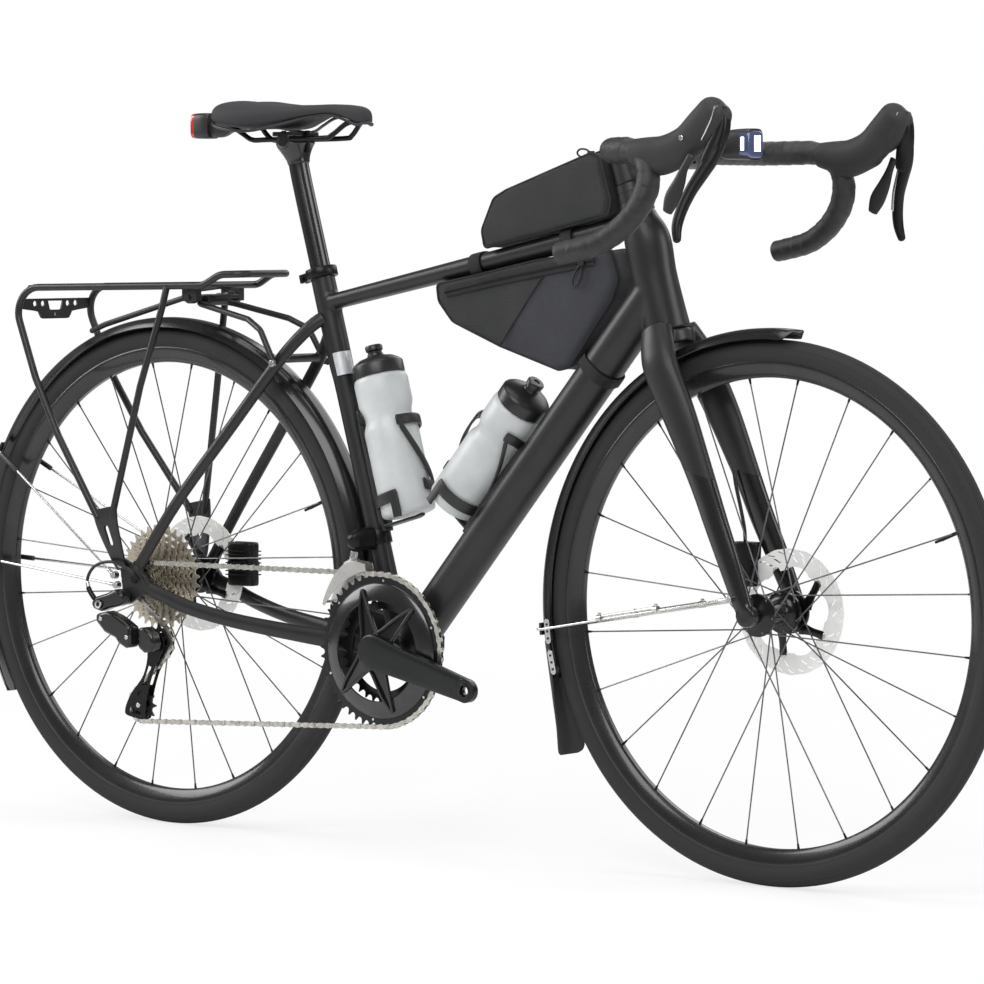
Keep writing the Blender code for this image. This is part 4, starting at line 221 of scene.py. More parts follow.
@dataclass(frozen=True)
class Finish:
    """One finish: its colours, gloss, grain and relief."""

    name: str
    slot: str
    dark: Colour
    light: Colour
    rough: tuple[float, float]
    metallic: float = 0.0
    coat: float = 0.0
    mottle: float = 14.0
    grain: float = 1400.0
    relief: float = 0.00004
    pattern: Pattern = Pattern.PLAIN
    pitch: float = 0.001
    transmission: float = 0.0
    glow: float = 0.0
    sheen: float = 0.0

    def build(self) -> bpy.types.Material:
        """Material of this finish, made once.

        Returns:
            The material.
        """
        found = bpy.data.materials.get(self.name)
        if found is not None:
            return found
        graph = Graph(self.name)
        shader = graph.shader
        where = graph.node("ShaderNodeTexCoord").outputs["Object"]
        mottle = graph.node("ShaderNodeTexNoise", in_Scale=self.mottle, in_Detail=5.0, in_Roughness=0.6)
        graph.link(where, mottle.inputs["Vector"])
        spread = graph.node("ShaderNodeMapRange")
        spread.inputs["From Min"].default_value = 0.35
        spread.inputs["From Max"].default_value = 0.65
        graph.link(mottle.outputs["Fac"], spread.inputs["Value"])
        graph.link(graph.blend(spread.outputs["Result"], self.dark, self.light), shader.inputs["Base Color"])
        grain = graph.node("ShaderNodeTexNoise", in_Scale=self.grain, in_Detail=3.0)
        if self.pattern is Pattern.BRUSHED:
            stretch = graph.node("ShaderNodeMapping", in_Scale=(1.0, 0.06, 1.0))
            graph.link(where, stretch.inputs["Vector"])
            graph.link(stretch.outputs["Vector"], grain.inputs["Vector"])
        else:
            graph.link(where, grain.inputs["Vector"])
        rough = graph.node("ShaderNodeMapRange")
        rough.inputs["From Min"].default_value = 0.3
        rough.inputs["From Max"].default_value = 0.7
        rough.inputs["To Min"].default_value = self.rough[0]
        rough.inputs["To Max"].default_value = self.rough[1]
        graph.link(grain.outputs["Fac"], rough.inputs["Value"])
        graph.link(rough.outputs["Result"], shader.inputs["Roughness"])
        height = self.height(graph, where, grain.outputs["Fac"])
        bump = graph.node("ShaderNodeBump", in_Distance=self.relief, in_Strength=1.0)
        graph.link(height, bump.inputs["Height"])
        graph.link(bump.outputs["Normal"], shader.inputs["Normal"])
        shader.inputs["Metallic"].default_value = self.metallic
        shader.inputs["Coat Weight"].default_value = self.coat
        shader.inputs["Coat Roughness"].default_value = 0.06
        shader.inputs["Transmission Weight"].default_value = self.transmission
        if self.sheen:
            shader.inputs["Sheen Weight"].default_value = self.sheen
            shader.inputs["Sheen Roughness"].default_value = 0.5
        if self.glow:
            shader.inputs["Emission Color"].default_value = (*self.light, 1.0)
            shader.inputs["Emission Strength"].default_value = self.glow
        return graph.material

    def height(
        self, graph: Graph, where: Socket, grain: Socket
    ) -> Socket:
        """Height of the relief.

        Args:
            graph: the material's graph.
            where: socket of the place on the piece.
            grain: socket of the fine grain.

        Returns:
            The height's socket.
        """
        if self.pattern in (Pattern.PLAIN, Pattern.BRUSHED):
            return grain
        if self.pattern is Pattern.LEATHER:
            cells = graph.node("ShaderNodeTexVoronoi", in_Scale=1.0 / self.pitch)
            graph.link(where, cells.inputs["Vector"])
            return cells.outputs["Distance"]
        parts = graph.node("ShaderNodeSeparateXYZ")
        graph.link(where, parts.inputs["Vector"])
        turn = FULL_TURN / self.pitch
        across = graph.maths("SINE", graph.maths("MULTIPLY", parts.outputs["X"], turn))
        along = graph.maths("SINE", graph.maths("MULTIPLY", parts.outputs["Z"], turn))
        deep = graph.maths("SINE", graph.maths("MULTIPLY", parts.outputs["Y"], turn))
        weave = graph.maths(
            "ADD", graph.maths("MULTIPLY", across, along), graph.maths("MULTIPLY", deep, across),
        )
        if self.pattern is Pattern.CLOTH:
            return graph.maths("ADD", weave, grain)
        lines = []
        for axis in ("X", "Z"):
            share = graph.maths("FRACT", graph.maths("MULTIPLY", parts.outputs[axis], 1.0 / RIPSTOP_CELL))
            lines.append(graph.maths("LESS_THAN", share, 0.16))
        grid = graph.maths("MULTIPLY", graph.maths("MAXIMUM", lines[0], lines[1]), 2.4)
        return graph.maths("ADD", weave, grid)


FRAME_MATTE = Finish(
    "frame_matte", "frame_paint", (0.012, 0.012, 0.013), (0.017, 0.017, 0.018), (0.36, 0.46), 0.2, coat=0.05
)
GLOSS_BLACK = Finish(
    "gloss_black", "gloss_black", (0.004, 0.004, 0.005), (0.007, 0.007, 0.008), (0.14, 0.22), coat=0.5,
    relief=0.000004,
)
POST_GLOSS = Finish(
    "post_gloss", "post_black", (0.005, 0.005, 0.006), (0.009, 0.009, 0.01), (0.2, 0.3), coat=0.4,
    relief=0.000004,
)
TYRE = Finish(
    "tyre_rubber", "tyre_rubber", (0.009, 0.009, 0.01), (0.016, 0.016, 0.017), (0.38, 0.52), relief=0.0001,
    grain=700.0,
)
RIM = Finish(
    "rim_satin", "rim_black", (0.018, 0.018, 0.019), (0.027, 0.027, 0.029), (0.22, 0.34), 0.4, coat=0.3,
)
SPOKE = Finish("spoke_steel", "spoke_black", (0.1, 0.1, 0.105), (0.17, 0.17, 0.175), (0.25, 0.4), 0.8)
HUB = Finish(
    "hub_black", "spoke_black", (0.006, 0.006, 0.007), (0.012, 0.012, 0.013), (0.2, 0.32), 0.5, coat=0.3,
)
STEEL = Finish(
    "polished_steel", "steel", (0.55, 0.54, 0.52), (0.74, 0.73, 0.71), (0.16, 0.32), 1.0,
    pattern=Pattern.BRUSHED,
)
DISC = Finish("disc_steel", "steel", (0.84, 0.84, 0.82), (0.93, 0.93, 0.92), (0.3, 0.42), 0.2, relief=0.00002)
CHAIN_STEEL = Finish(
    "chain_steel", "steel", (0.42, 0.41, 0.37), (0.7, 0.68, 0.63), (0.2, 0.4), 1.0, mottle=160.0,
)
COG = Finish("cog_steel", "cog_steel", (0.28, 0.27, 0.25), (0.9, 0.88, 0.83), (0.2, 0.4), 0.9, mottle=90.0)
ALLOY = Finish(
    "black_alloy", "black_alloy", (0.007, 0.007, 0.008), (0.014, 0.014, 0.015), (0.24, 0.36), 0.4, coat=0.15,
)
CRANK = Finish(
    "crank_anodised", "black_alloy", (0.016, 0.017, 0.018), (0.025, 0.026, 0.027), (0.28, 0.38), 0.7, coat=0.1
)
BAND = Finish(
    "ring_band", "black_alloy", (0.05, 0.05, 0.052), (0.075, 0.075, 0.078), (0.2, 0.28), 0.9, coat=0.3,
    relief=0.00001,
)
BOLT = Finish("bolt_steel", "steel", (0.5, 0.5, 0.5), (0.72, 0.72, 0.72), (0.2, 0.3), 1.0)
RUBBER = Finish(
    "hood_rubber", "rubber", (0.014, 0.014, 0.015), (0.021, 0.021, 0.022), (0.55, 0.7), relief=0.00014,
    grain=900.0,
)
HOSE = Finish("hose_black", "rubber", (0.006, 0.006, 0.007), (0.012, 0.012, 0.013), (0.35, 0.5))
TAPE = Finish(
    "bar_tape", "tape", (0.01, 0.01, 0.011), (0.02, 0.02, 0.021), (0.34, 0.5), relief=0.0003,
    pattern=Pattern.LEATHER, pitch=0.0011, mottle=60.0,
)
SADDLE = Finish(
    "saddle_cover", "saddle_cover", (0.011, 0.011, 0.012), (0.018, 0.018, 0.02), (0.42, 0.58), relief=0.00016,
    pattern=Pattern.LEATHER, pitch=0.0013,
)
BAG = Finish(
    "bag_ripstop", "bag_cloth", (0.008, 0.009, 0.011), (0.017, 0.018, 0.021), (0.55, 0.8), relief=0.0004,
    pattern=Pattern.RIPSTOP, pitch=0.0009, sheen=0.08,
)
BAG_PANEL = Finish(
    "bag_panel", "bag_cloth", (0.012, 0.013, 0.02), (0.02, 0.021, 0.031), (0.6, 0.8), relief=0.00014,
    pattern=Pattern.CLOTH, pitch=0.0008, sheen=0.1,
)
WEBBING = Finish(
    "webbing", "bag_cloth", (0.007, 0.007, 0.008), (0.014, 0.014, 0.015), (0.6, 0.8), relief=0.0003,
    pattern=Pattern.CLOTH, pitch=0.0014,
)
BOTTLE = Finish(
    "bottle_frosted", "bottle", (0.62, 0.645, 0.648), (0.74, 0.763, 0.765), (0.3, 0.42), relief=0.00005,
    mottle=16.0, transmission=0.25,
)
CAP = Finish("bottle_cap", "black_plastic", (0.01, 0.01, 0.011), (0.018, 0.018, 0.019), (0.3, 0.42))
PLASTIC = Finish("black_plastic", "black_plastic", (0.006, 0.006, 0.007), (0.012, 0.012, 0.013), (0.3, 0.45))
RACK = Finish(
    "rack_coat", "rack_paint", (0.007, 0.007, 0.008), (0.013, 0.013, 0.014), (0.36, 0.48), 0.1, coat=0.1,
)
REFLECTIVE = Finish(
    "reflective_strip", "frame_paint", (0.55, 0.56, 0.58), (0.75, 0.76, 0.78), (0.3, 0.5), 0.6,
)
RED_LENS = Finish("red_lens", "black_plastic", (0.45, 0.02, 0.015), (0.65, 0.05, 0.03), (0.1, 0.2), coat=0.8)
LIT = Finish("lit_lens", "black_plastic", (0.8, 0.88, 1.0), (0.86, 0.92, 1.0), (0.1, 0.2), glow=4.0)
LENS = Finish(
    "light_lens", "black_plastic", (0.035, 0.045, 0.1), (0.07, 0.09, 0.2), (0.08, 0.14), coat=1.0, glow=0.12,
)


# Mesh building
def eased(rows: Sequence[Row], per_span: int) -> list[tuple[float, ...]]:
    """Smooth line through rows of numbers.

    Args:
        rows: rows of equal length, such as x, y, z, width, depth.
        per_span: steps between two rows.

    Returns:
        The denser rows.
    """
    line = []
    for i in range(len(rows) - 1):
        a, b, c, d = rows[max(i - 1, 0)], rows[i], rows[i + 1], rows[min(i + 2, len(rows) - 1)]
        for k in range(per_span):
            t = k / per_span
            line.append(
                tuple(
                    0.5
                    * (
                        2.0 * q
                        + (r - p) * t
                        + (2.0 * p - 5.0 * q + 4.0 * r - s) * t**2
                        + (3.0 * q - 3.0 * r + s - p) * t**3
                    )
                    for p, q, r, s in zip(a, b, c, d)
                )
            )
    line.append(tuple(rows[-1]))
    return line


def bent(points: Sequence[Vector], bend_radius: float, steps: int = 8) -> list[Vector]:
    """Straight runs through corner points, each corner rounded by an arc.

    Args:
        points: the corner points.
        bend_radius: radius of the arcs.
        steps: steps of each arc.

    Returns:
        Points along the line.
    """
    line = [points[0]]
    for before, corner, after in zip(points, points[1:], points[2:]):
        back = (before - corner).normalized()
        ahead = (after - corner).normalized()
        half = back.angle(ahead) / 2.0
        if half > math.radians(88.0):
            line.append(corner)
            continue
        reach = bend_radius / math.tan(half)
        reach = min(reach, 0.45 * (before - corner).length, 0.45 * (after - corner).length)
        radius = reach * math.tan(half)
        centre = corner + (back + ahead).normalized() * (radius / math.sin(half))
        first = (corner + back * reach - centre).normalized()
        last = (corner + ahead * reach - centre).normalized()
        for k in range(steps + 1):
            line.append(centre + first.slerp(last, k / steps) * radius)
    line.append(points[-1])
    return line


def wrapped(columns: int, rows: int, place: Callable[[float, float], Vector]) -> Mesh:
    """Grid laid over a surface, its meeting edges welded and its open ends closed.

    Args:
        columns: cells in the first direction.
        rows: cells in the second direction.
        place: gives a point from two shares, 0 to 1.

    Returns:
        The mesh.
    """
    bm = bmesh.new()
    bm.loops.layers.uv.new("UVMap")
    bmesh.ops.create_grid(bm, x_segments=columns, y_segments=rows, size=0.5, calc_uvs=True)
    for vertex in bm.verts:
        vertex.co = place(vertex.co.x + 0.5, vertex.co.y + 0.5)
    bmesh.ops.remove_doubles(bm, verts=bm.verts, dist=1e-6)
    bmesh.ops.dissolve_degenerate(bm, edges=bm.edges, dist=1e-7)
    edges = [edge for edge in bm.edges if edge.is_boundary]
    if edges:
        bmesh.ops.holes_fill(bm, edges=edges, sides=0)
    return bm


def rounded(value: float, square: float) -> float:
    """Sine or cosine with its corners filled when square is below 1."""
    return math.copysign(abs(value) ** square, value)


def domed(rings: list[Ring], at_start: bool, steps: int = 4) -> list[Ring]:
    """Adds a rounded end to rings of (centre, wide, high).

    Args:
        rings: the rings.
        at_start: whether the end is the first ring.
        steps: rings in the dome.

    Returns:
        The rings with their dome.
    """
    order = rings if at_start else list(reversed(rings))
    centre, wide, high = order[0]
    out = (centre - order[1][0]).normalized()
    reach = min(wide.length, high.length)
    extra = []
    for k in range(1, steps + 1):
        turn = 0.5 * math.pi * k / steps
        scale = max(math.cos(turn), 0.02)
        extra.append((centre + out * (reach * math.sin(turn)), wide * scale, high * scale))
    joined = list(reversed(extra)) + order
    return joined if at_start else list(reversed(joined))


def over_rings(rings: Sequence[Ring], sides: int, square: float = 1.0) -> Mesh:
    """Skin over rings of (centre, wide, high).

    Args:
        rings: the rings.
        sides: cells round each ring.
        square: below 1 fills the corners.

    Returns:
        The closed mesh.
    """
    last = len(rings) - 1

    def place(u: float, v: float) -> Vector:
        """Point of the skin.

        Args:
            u: share round the ring.
            v: share along the rings.

        Returns:
            The point.
        """
        centre, wide, high = rings[round(v * last)]
        turn = FULL_TURN * (u % 1.0)
        return centre + wide * rounded(math.cos(turn), square) + high * rounded(math.sin(turn), square)

    return wrapped(sides, last, place)


def skin(
    rows: Sequence[Row],
    sides: int = 24,
    per_span: int = 5,
    side: Vector = SIDE,
    square: float = 1.0,
    ends: str = "",
    mirror: bool = False,
) -> Mesh:
    """Smooth skin through rows of (x, y, z, half width, half depth), measured from the rear axle.

    Args:
        rows: the stations.
        sides: cells round the skin.
        per_span: steps between stations.
        side: direction of the half width.
        square: below 1 fills the corners.
        ends: "a" rounds the first end and "b" the last.
        mirror: whether the left side's copy is made.

    Returns:
        The closed mesh.
    """
    line = eased(rows, per_span)
    points = [at(row[0], -row[1] if mirror else row[1], row[2]) for row in line]
    rings = []
    for i, row in enumerate(line):
        along = (points[min(i + 1, len(points) - 1)] - points[max(i - 1, 0)]).normalized()
        wide = (side - along * side.dot(along)).normalized()
        high = along.cross(wide).normalized()
        rings.append((points[i], wide * row[3], high * row[4]))
    if "a" in ends:
        rings = domed(rings, True)
    if "b" in ends:
        rings = domed(rings, False)
    return over_rings(rings, sides, square)


def tube(
    points: Sequence[Vector], radius: float | Sequence[float], sides: int = 14, ends: str = "ab",
    loop: bool = False,
) -> Mesh:
    """Round tube along points.

    Args:
        points: points of its centre line.
        radius: one radius, or one for each point.
        sides: cells round the tube.
        ends: "a" rounds the first end and "b" the last.
        loop: whether the line closes on itself.

    Returns:
        The closed mesh.
    """
    radii = [radius] * len(points) if isinstance(radius, float) else list(radius)
    rings = []
    wide = None
    count = len(points)
    for i, point in enumerate(points):
        after = points[(i + 1) % count] if loop else points[min(i + 1, count - 1)]
        before = points[i - 1] if loop else points[max(i - 1, 0)]
        along = (after - before).normalized()
        if wide is None:
            wide = along.orthogonal()
        wide = (wide - along * wide.dot(along)).normalized()
        rings.append((point, wide * radii[i], along.cross(wide) * radii[i]))
    if loop:
        rings.append(rings[0])
        return over_rings(rings, sides)
    if "a" in ends:
        rings = domed(rings, True, 3)
    if "b" in ends:
        rings = domed(rings, False, 3)
    return over_rings(rings, sides)


def spun(
    profile: Sequence[PointXZ], centre: Vector, axis: Vector = SIDE, steps: int = 48, closed: bool = True
) -> Mesh:
    """Profile of (radius, height) points turned round an axis.

    Args:
        profile: the points.
        centre: where the axis starts.
        axis: direction of the axis.
        steps: facets of the turn.
        closed: whether the last point joins the first.

    Returns:
        The mesh.
    """
    bm = bmesh.new()
    out = axis.orthogonal().normalized()
    verts = [bm.verts.new(centre + out * radius + axis * height) for radius, height in profile]
    pairs = list(zip(verts, verts[1:]))
    if closed:
        pairs.append((verts[-1], verts[0]))
    edges = [bm.edges.new(pair) for pair in pairs]
    bmesh.ops.spin(
        bm, geom=verts + edges, cent=centre, axis=axis, angle=FULL_TURN, steps=steps, use_merge=True
    )
    bmesh.ops.remove_doubles(bm, verts=bm.verts, dist=1e-6)
    return bm


def rod(
    start: Vector, end: Vector, radius: float, end_radius: Optional[float] = None, sides: int = 20,
) -> Mesh:
    """Straight bar or cone between two points.

    Args:
        start: middle of one end.
        end: middle of the other end.
        radius: radius at the start.
        end_radius: radius at the end, where it differs.
        sides: facets round the bar.

    Returns:
        The closed mesh.
    """
    along = end - start
    bm = bmesh.new()
    bmesh.ops.create_cone(
        bm,
        cap_ends=True,
        segments=sides,
        radius1=radius,
        radius2=radius if end_radius is None else end_radius,
        depth=along.length,
        matrix=Matrix.Translation((start + end) / 2.0) @ along.to_track_quat("Z", "Y").to_matrix().to_4x4(),
    )
    return bm


def box(centre: Vector, size: Row, turn: float = 0.0) -> Mesh:
    """Box turned about the cross-wise axis.

    Args:
        centre: its middle.
        size: its size along X, Y and Z.
        turn: radians about Y.

    Returns:
        The closed mesh.
    """
    bm = bmesh.new()
    place = Matrix.Translation(centre) @ Matrix.Rotation(turn, 4, "Y") @ Matrix.Diagonal((*size, 1.0))
    bmesh.ops.create_cube(bm, size=1.0, matrix=place)
    return bm


def plate(
    outline: Sequence[PointXZ], y_low: float, y_high: float, holes: Sequence[Sequence[PointXZ]] = ()
) -> Mesh:
    """Flat piece standing along the bike, from an outline and holes of (x, z) points.

    Args:
        outline: its edge.
        y_low: its right face.
        y_high: its left face.
        holes: edges of its holes.

    Returns:
        The closed mesh.
    """
    bm = bmesh.new()
    for loop in (outline, *holes):
        verts = [bm.verts.new(at(x, y_low, z)) for x, z in loop]
        for first, second in zip(verts, verts[1:] + verts[:1]):
            bm.edges.new((first, second))
    bmesh.ops.triangle_fill(bm, use_beauty=True, use_dissolve=False, edges=bm.edges[:], normal=SIDE)
    grown = bmesh.ops.extrude_face_region(bm, geom=bm.faces[:])["geom"]
    moved = [item for item in grown if isinstance(item, bmesh.types.BMVert)]
    bmesh.ops.translate(bm, verts=moved, vec=(0.0, y_high - y_low, 0.0))
    bmesh.ops.recalc_face_normals(bm, faces=bm.faces)
    return bm


def round_from(x: float, z: float, reach: float, turn: float) -> PointXZ:
    """Point at this reach and angle from (x, z)."""
    return x + reach * math.cos(turn), z + reach * math.sin(turn)


def outwards(turn: float) -> Vector:
    """Direction along the bike at this angle above forwards."""
    return Vector((math.cos(turn), 0.0, math.sin(turn)))


def circle(x: float, z: float, radius: float, count: int = 20) -> list[PointXZ]:
    """Points round a circle."""
    return [round_from(x, z, radius, FULL_TURN * i / count) for i in range(count)]


def hull(circles: Sequence[tuple[float, float, float]], count: int = 32) -> list[PointXZ]:
    """Convex outline round circles of (x, z, radius).

    Args:
        circles: the circles.
        count: points on each circle.

    Returns:
        The outline.
    """
    points = sorted({point for x, z, radius in circles for point in circle(x, z, radius, count)})

    def half(chain: Sequence[PointXZ]) -> list[PointXZ]:
        """Points of this chain that turn left, without the last.

        Args:
            chain: points in order of x.

        Returns:
            Half of the outline.
        """
        line: list[PointXZ] = []
        for p in chain:
            while len(line) > 1:
                (ax, az), (bx, bz) = line[-2], line[-1]
                if (bx - ax) * (p[1] - az) - (bz - az) * (p[0] - ax) > 1e-12:
                    break
                line.pop()
            line.append(p)
        return line[:-1]

    return half(points) + half(list(reversed(points)))


def joined(parts: Sequence[Mesh]) -> Mesh:
    """One mesh from several, each turned outwards first.

    Args:
        parts: the meshes, which are used up.

    Returns:
        The mesh.
    """
    whole = bmesh.new()
    whole.loops.layers.uv.new("UVMap")
    for part in parts:
        bmesh.ops.recalc_face_normals(part, faces=part.faces)
        mesh = bpy.data.meshes.new("part")
        part.to_mesh(mesh)
        part.free()
        whole.from_mesh(mesh)
        bpy.data.meshes.remove(mesh)
    return whole


def through_modifier(bm: Mesh, kind: str, **settings: object) -> Mesh:
    """Passes a mesh through one modifier.

    Args:
        bm: the mesh, which is used up.
        kind: the modifier.
        settings: its properties.

    Returns:
        The changed mesh.
    """
    mesh = bpy.data.meshes.new("work")
    bm.to_mesh(mesh)
    bm.free()
    work = bpy.data.objects.new("work", mesh)
    bpy.context.scene.collection.objects.link(work)
    step = work.modifiers.new("Step", kind)
    for key, value in settings.items():
        setattr(step, key, value)
    bpy.context.view_layer.update()
    graph = bpy.context.evaluated_depsgraph_get()
    changed = bpy.data.meshes.new_from_object(work.evaluated_get(graph))
    bpy.data.objects.remove(work)
    bpy.data.meshes.remove(mesh)
    made = bmesh.new()
    made.from_mesh(changed)
    bpy.data.meshes.remove(changed)
    return made


def melted(parts: Sequence[Mesh], cell: float, rounds: int) -> Mesh:
    """Overlapping meshes run into one, with soft joins, as a moulded or welded piece has.

    Args:
        parts: the meshes, which are used up.
        cell: size of the new faces.
        rounds: rounds of smoothing.

    Returns:
        The mesh.
    """
    bm = through_modifier(joined(parts), "REMESH", mode="VOXEL", voxel_size=cell)
    for _ in range(rounds):
        bmesh.ops.smooth_vert(
            bm, verts=bm.verts, factor=0.5, use_axis_x=True, use_axis_y=True, use_axis_z=True
        )
    return bm


def cut(bm: Mesh, tool: Mesh) -> Mesh:
    """One mesh less another.

    Args:
        bm: the mesh, which is used up.
        tool: the cutter, which is used up.

    Returns:
        The mesh.
    """
    bmesh.ops.recalc_face_normals(tool, faces=tool.faces)
    bmesh.ops.recalc_face_normals(bm, faces=bm.faces)
    mesh = bpy.data.meshes.new("cutter")
    tool.to_mesh(mesh)
    tool.free()
    cutter = bpy.data.objects.new("cutter", mesh)
    bpy.context.scene.collection.objects.link(cutter)
    made = through_modifier(bm, "BOOLEAN", operation="DIFFERENCE", solver="EXACT", object=cutter)
    bpy.data.objects.remove(cutter)
    return made


def roughened(bm: Mesh, depth: float, size: float) -> Mesh:
    """Moves points along their normals by smooth noise.

    Args:
        bm: the mesh.
        depth: how far a point may move.
        size: size of the folds.

    Returns:
        The same mesh.
    """
    bm.normal_update()
    for vertex in bm.verts:
        vertex.co += vertex.normal * (depth * noise.noise(vertex.co / size))
    return bm


@dataclass
class Maker:
    """Turns finished meshes into pieces that ride on a body."""

    body: str
    made: int = 0

    def piece(
        self,
        name: str,
        bm: Mesh | list[Mesh],
        finish: Finish,
        stands_for: Sequence[str] = (),
        crease: float = 40.0,
        bevel: float = 0.0,
        body: Optional[str] = None,
    ) -> bpy.types.Object:
        """Makes one piece.

        Args:
            name: the piece's name.
            bm: its mesh, or meshes to join, which are used up.
            finish: its finish.
            stands_for: CAD nodes that it replaces.
            crease: degrees above which an edge stays sharp.
            bevel: width of the rounding of its edges.
            body: CAD body that it rides on, where it isn't the maker's.

        Returns:
            The piece's object.
        """
        if isinstance(bm, list):
            bm = joined(bm)
        bmesh.ops.recalc_face_normals(bm, faces=bm.faces)
        for face in bm.faces:
            face.smooth = True
        mesh = bpy.data.meshes.new(name)
        bm.to_mesh(mesh)
        bm.free()
        mesh.set_sharp_from_angle(angle=math.radians(crease))
        made = bpy.data.objects.new(name, mesh)
        bpy.context.scene.collection.objects.link(made)
        made.data.materials.append(finish.build())
        if bevel:
            step = made.modifiers.new("Edges", "BEVEL")
            step.width = bevel
            step.segments = 2
            step.limit_method = "ANGLE"
            step.angle_limit = math.radians(crease)
            step.harden_normals = False
        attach(made, body or self.body)
        if stands_for:
            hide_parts(*stands_for)
        self.made += 1
        LOG.info("%s on %s: %d faces, %s", name, body or self.body, len(mesh.polygons), finish.name)
        return made


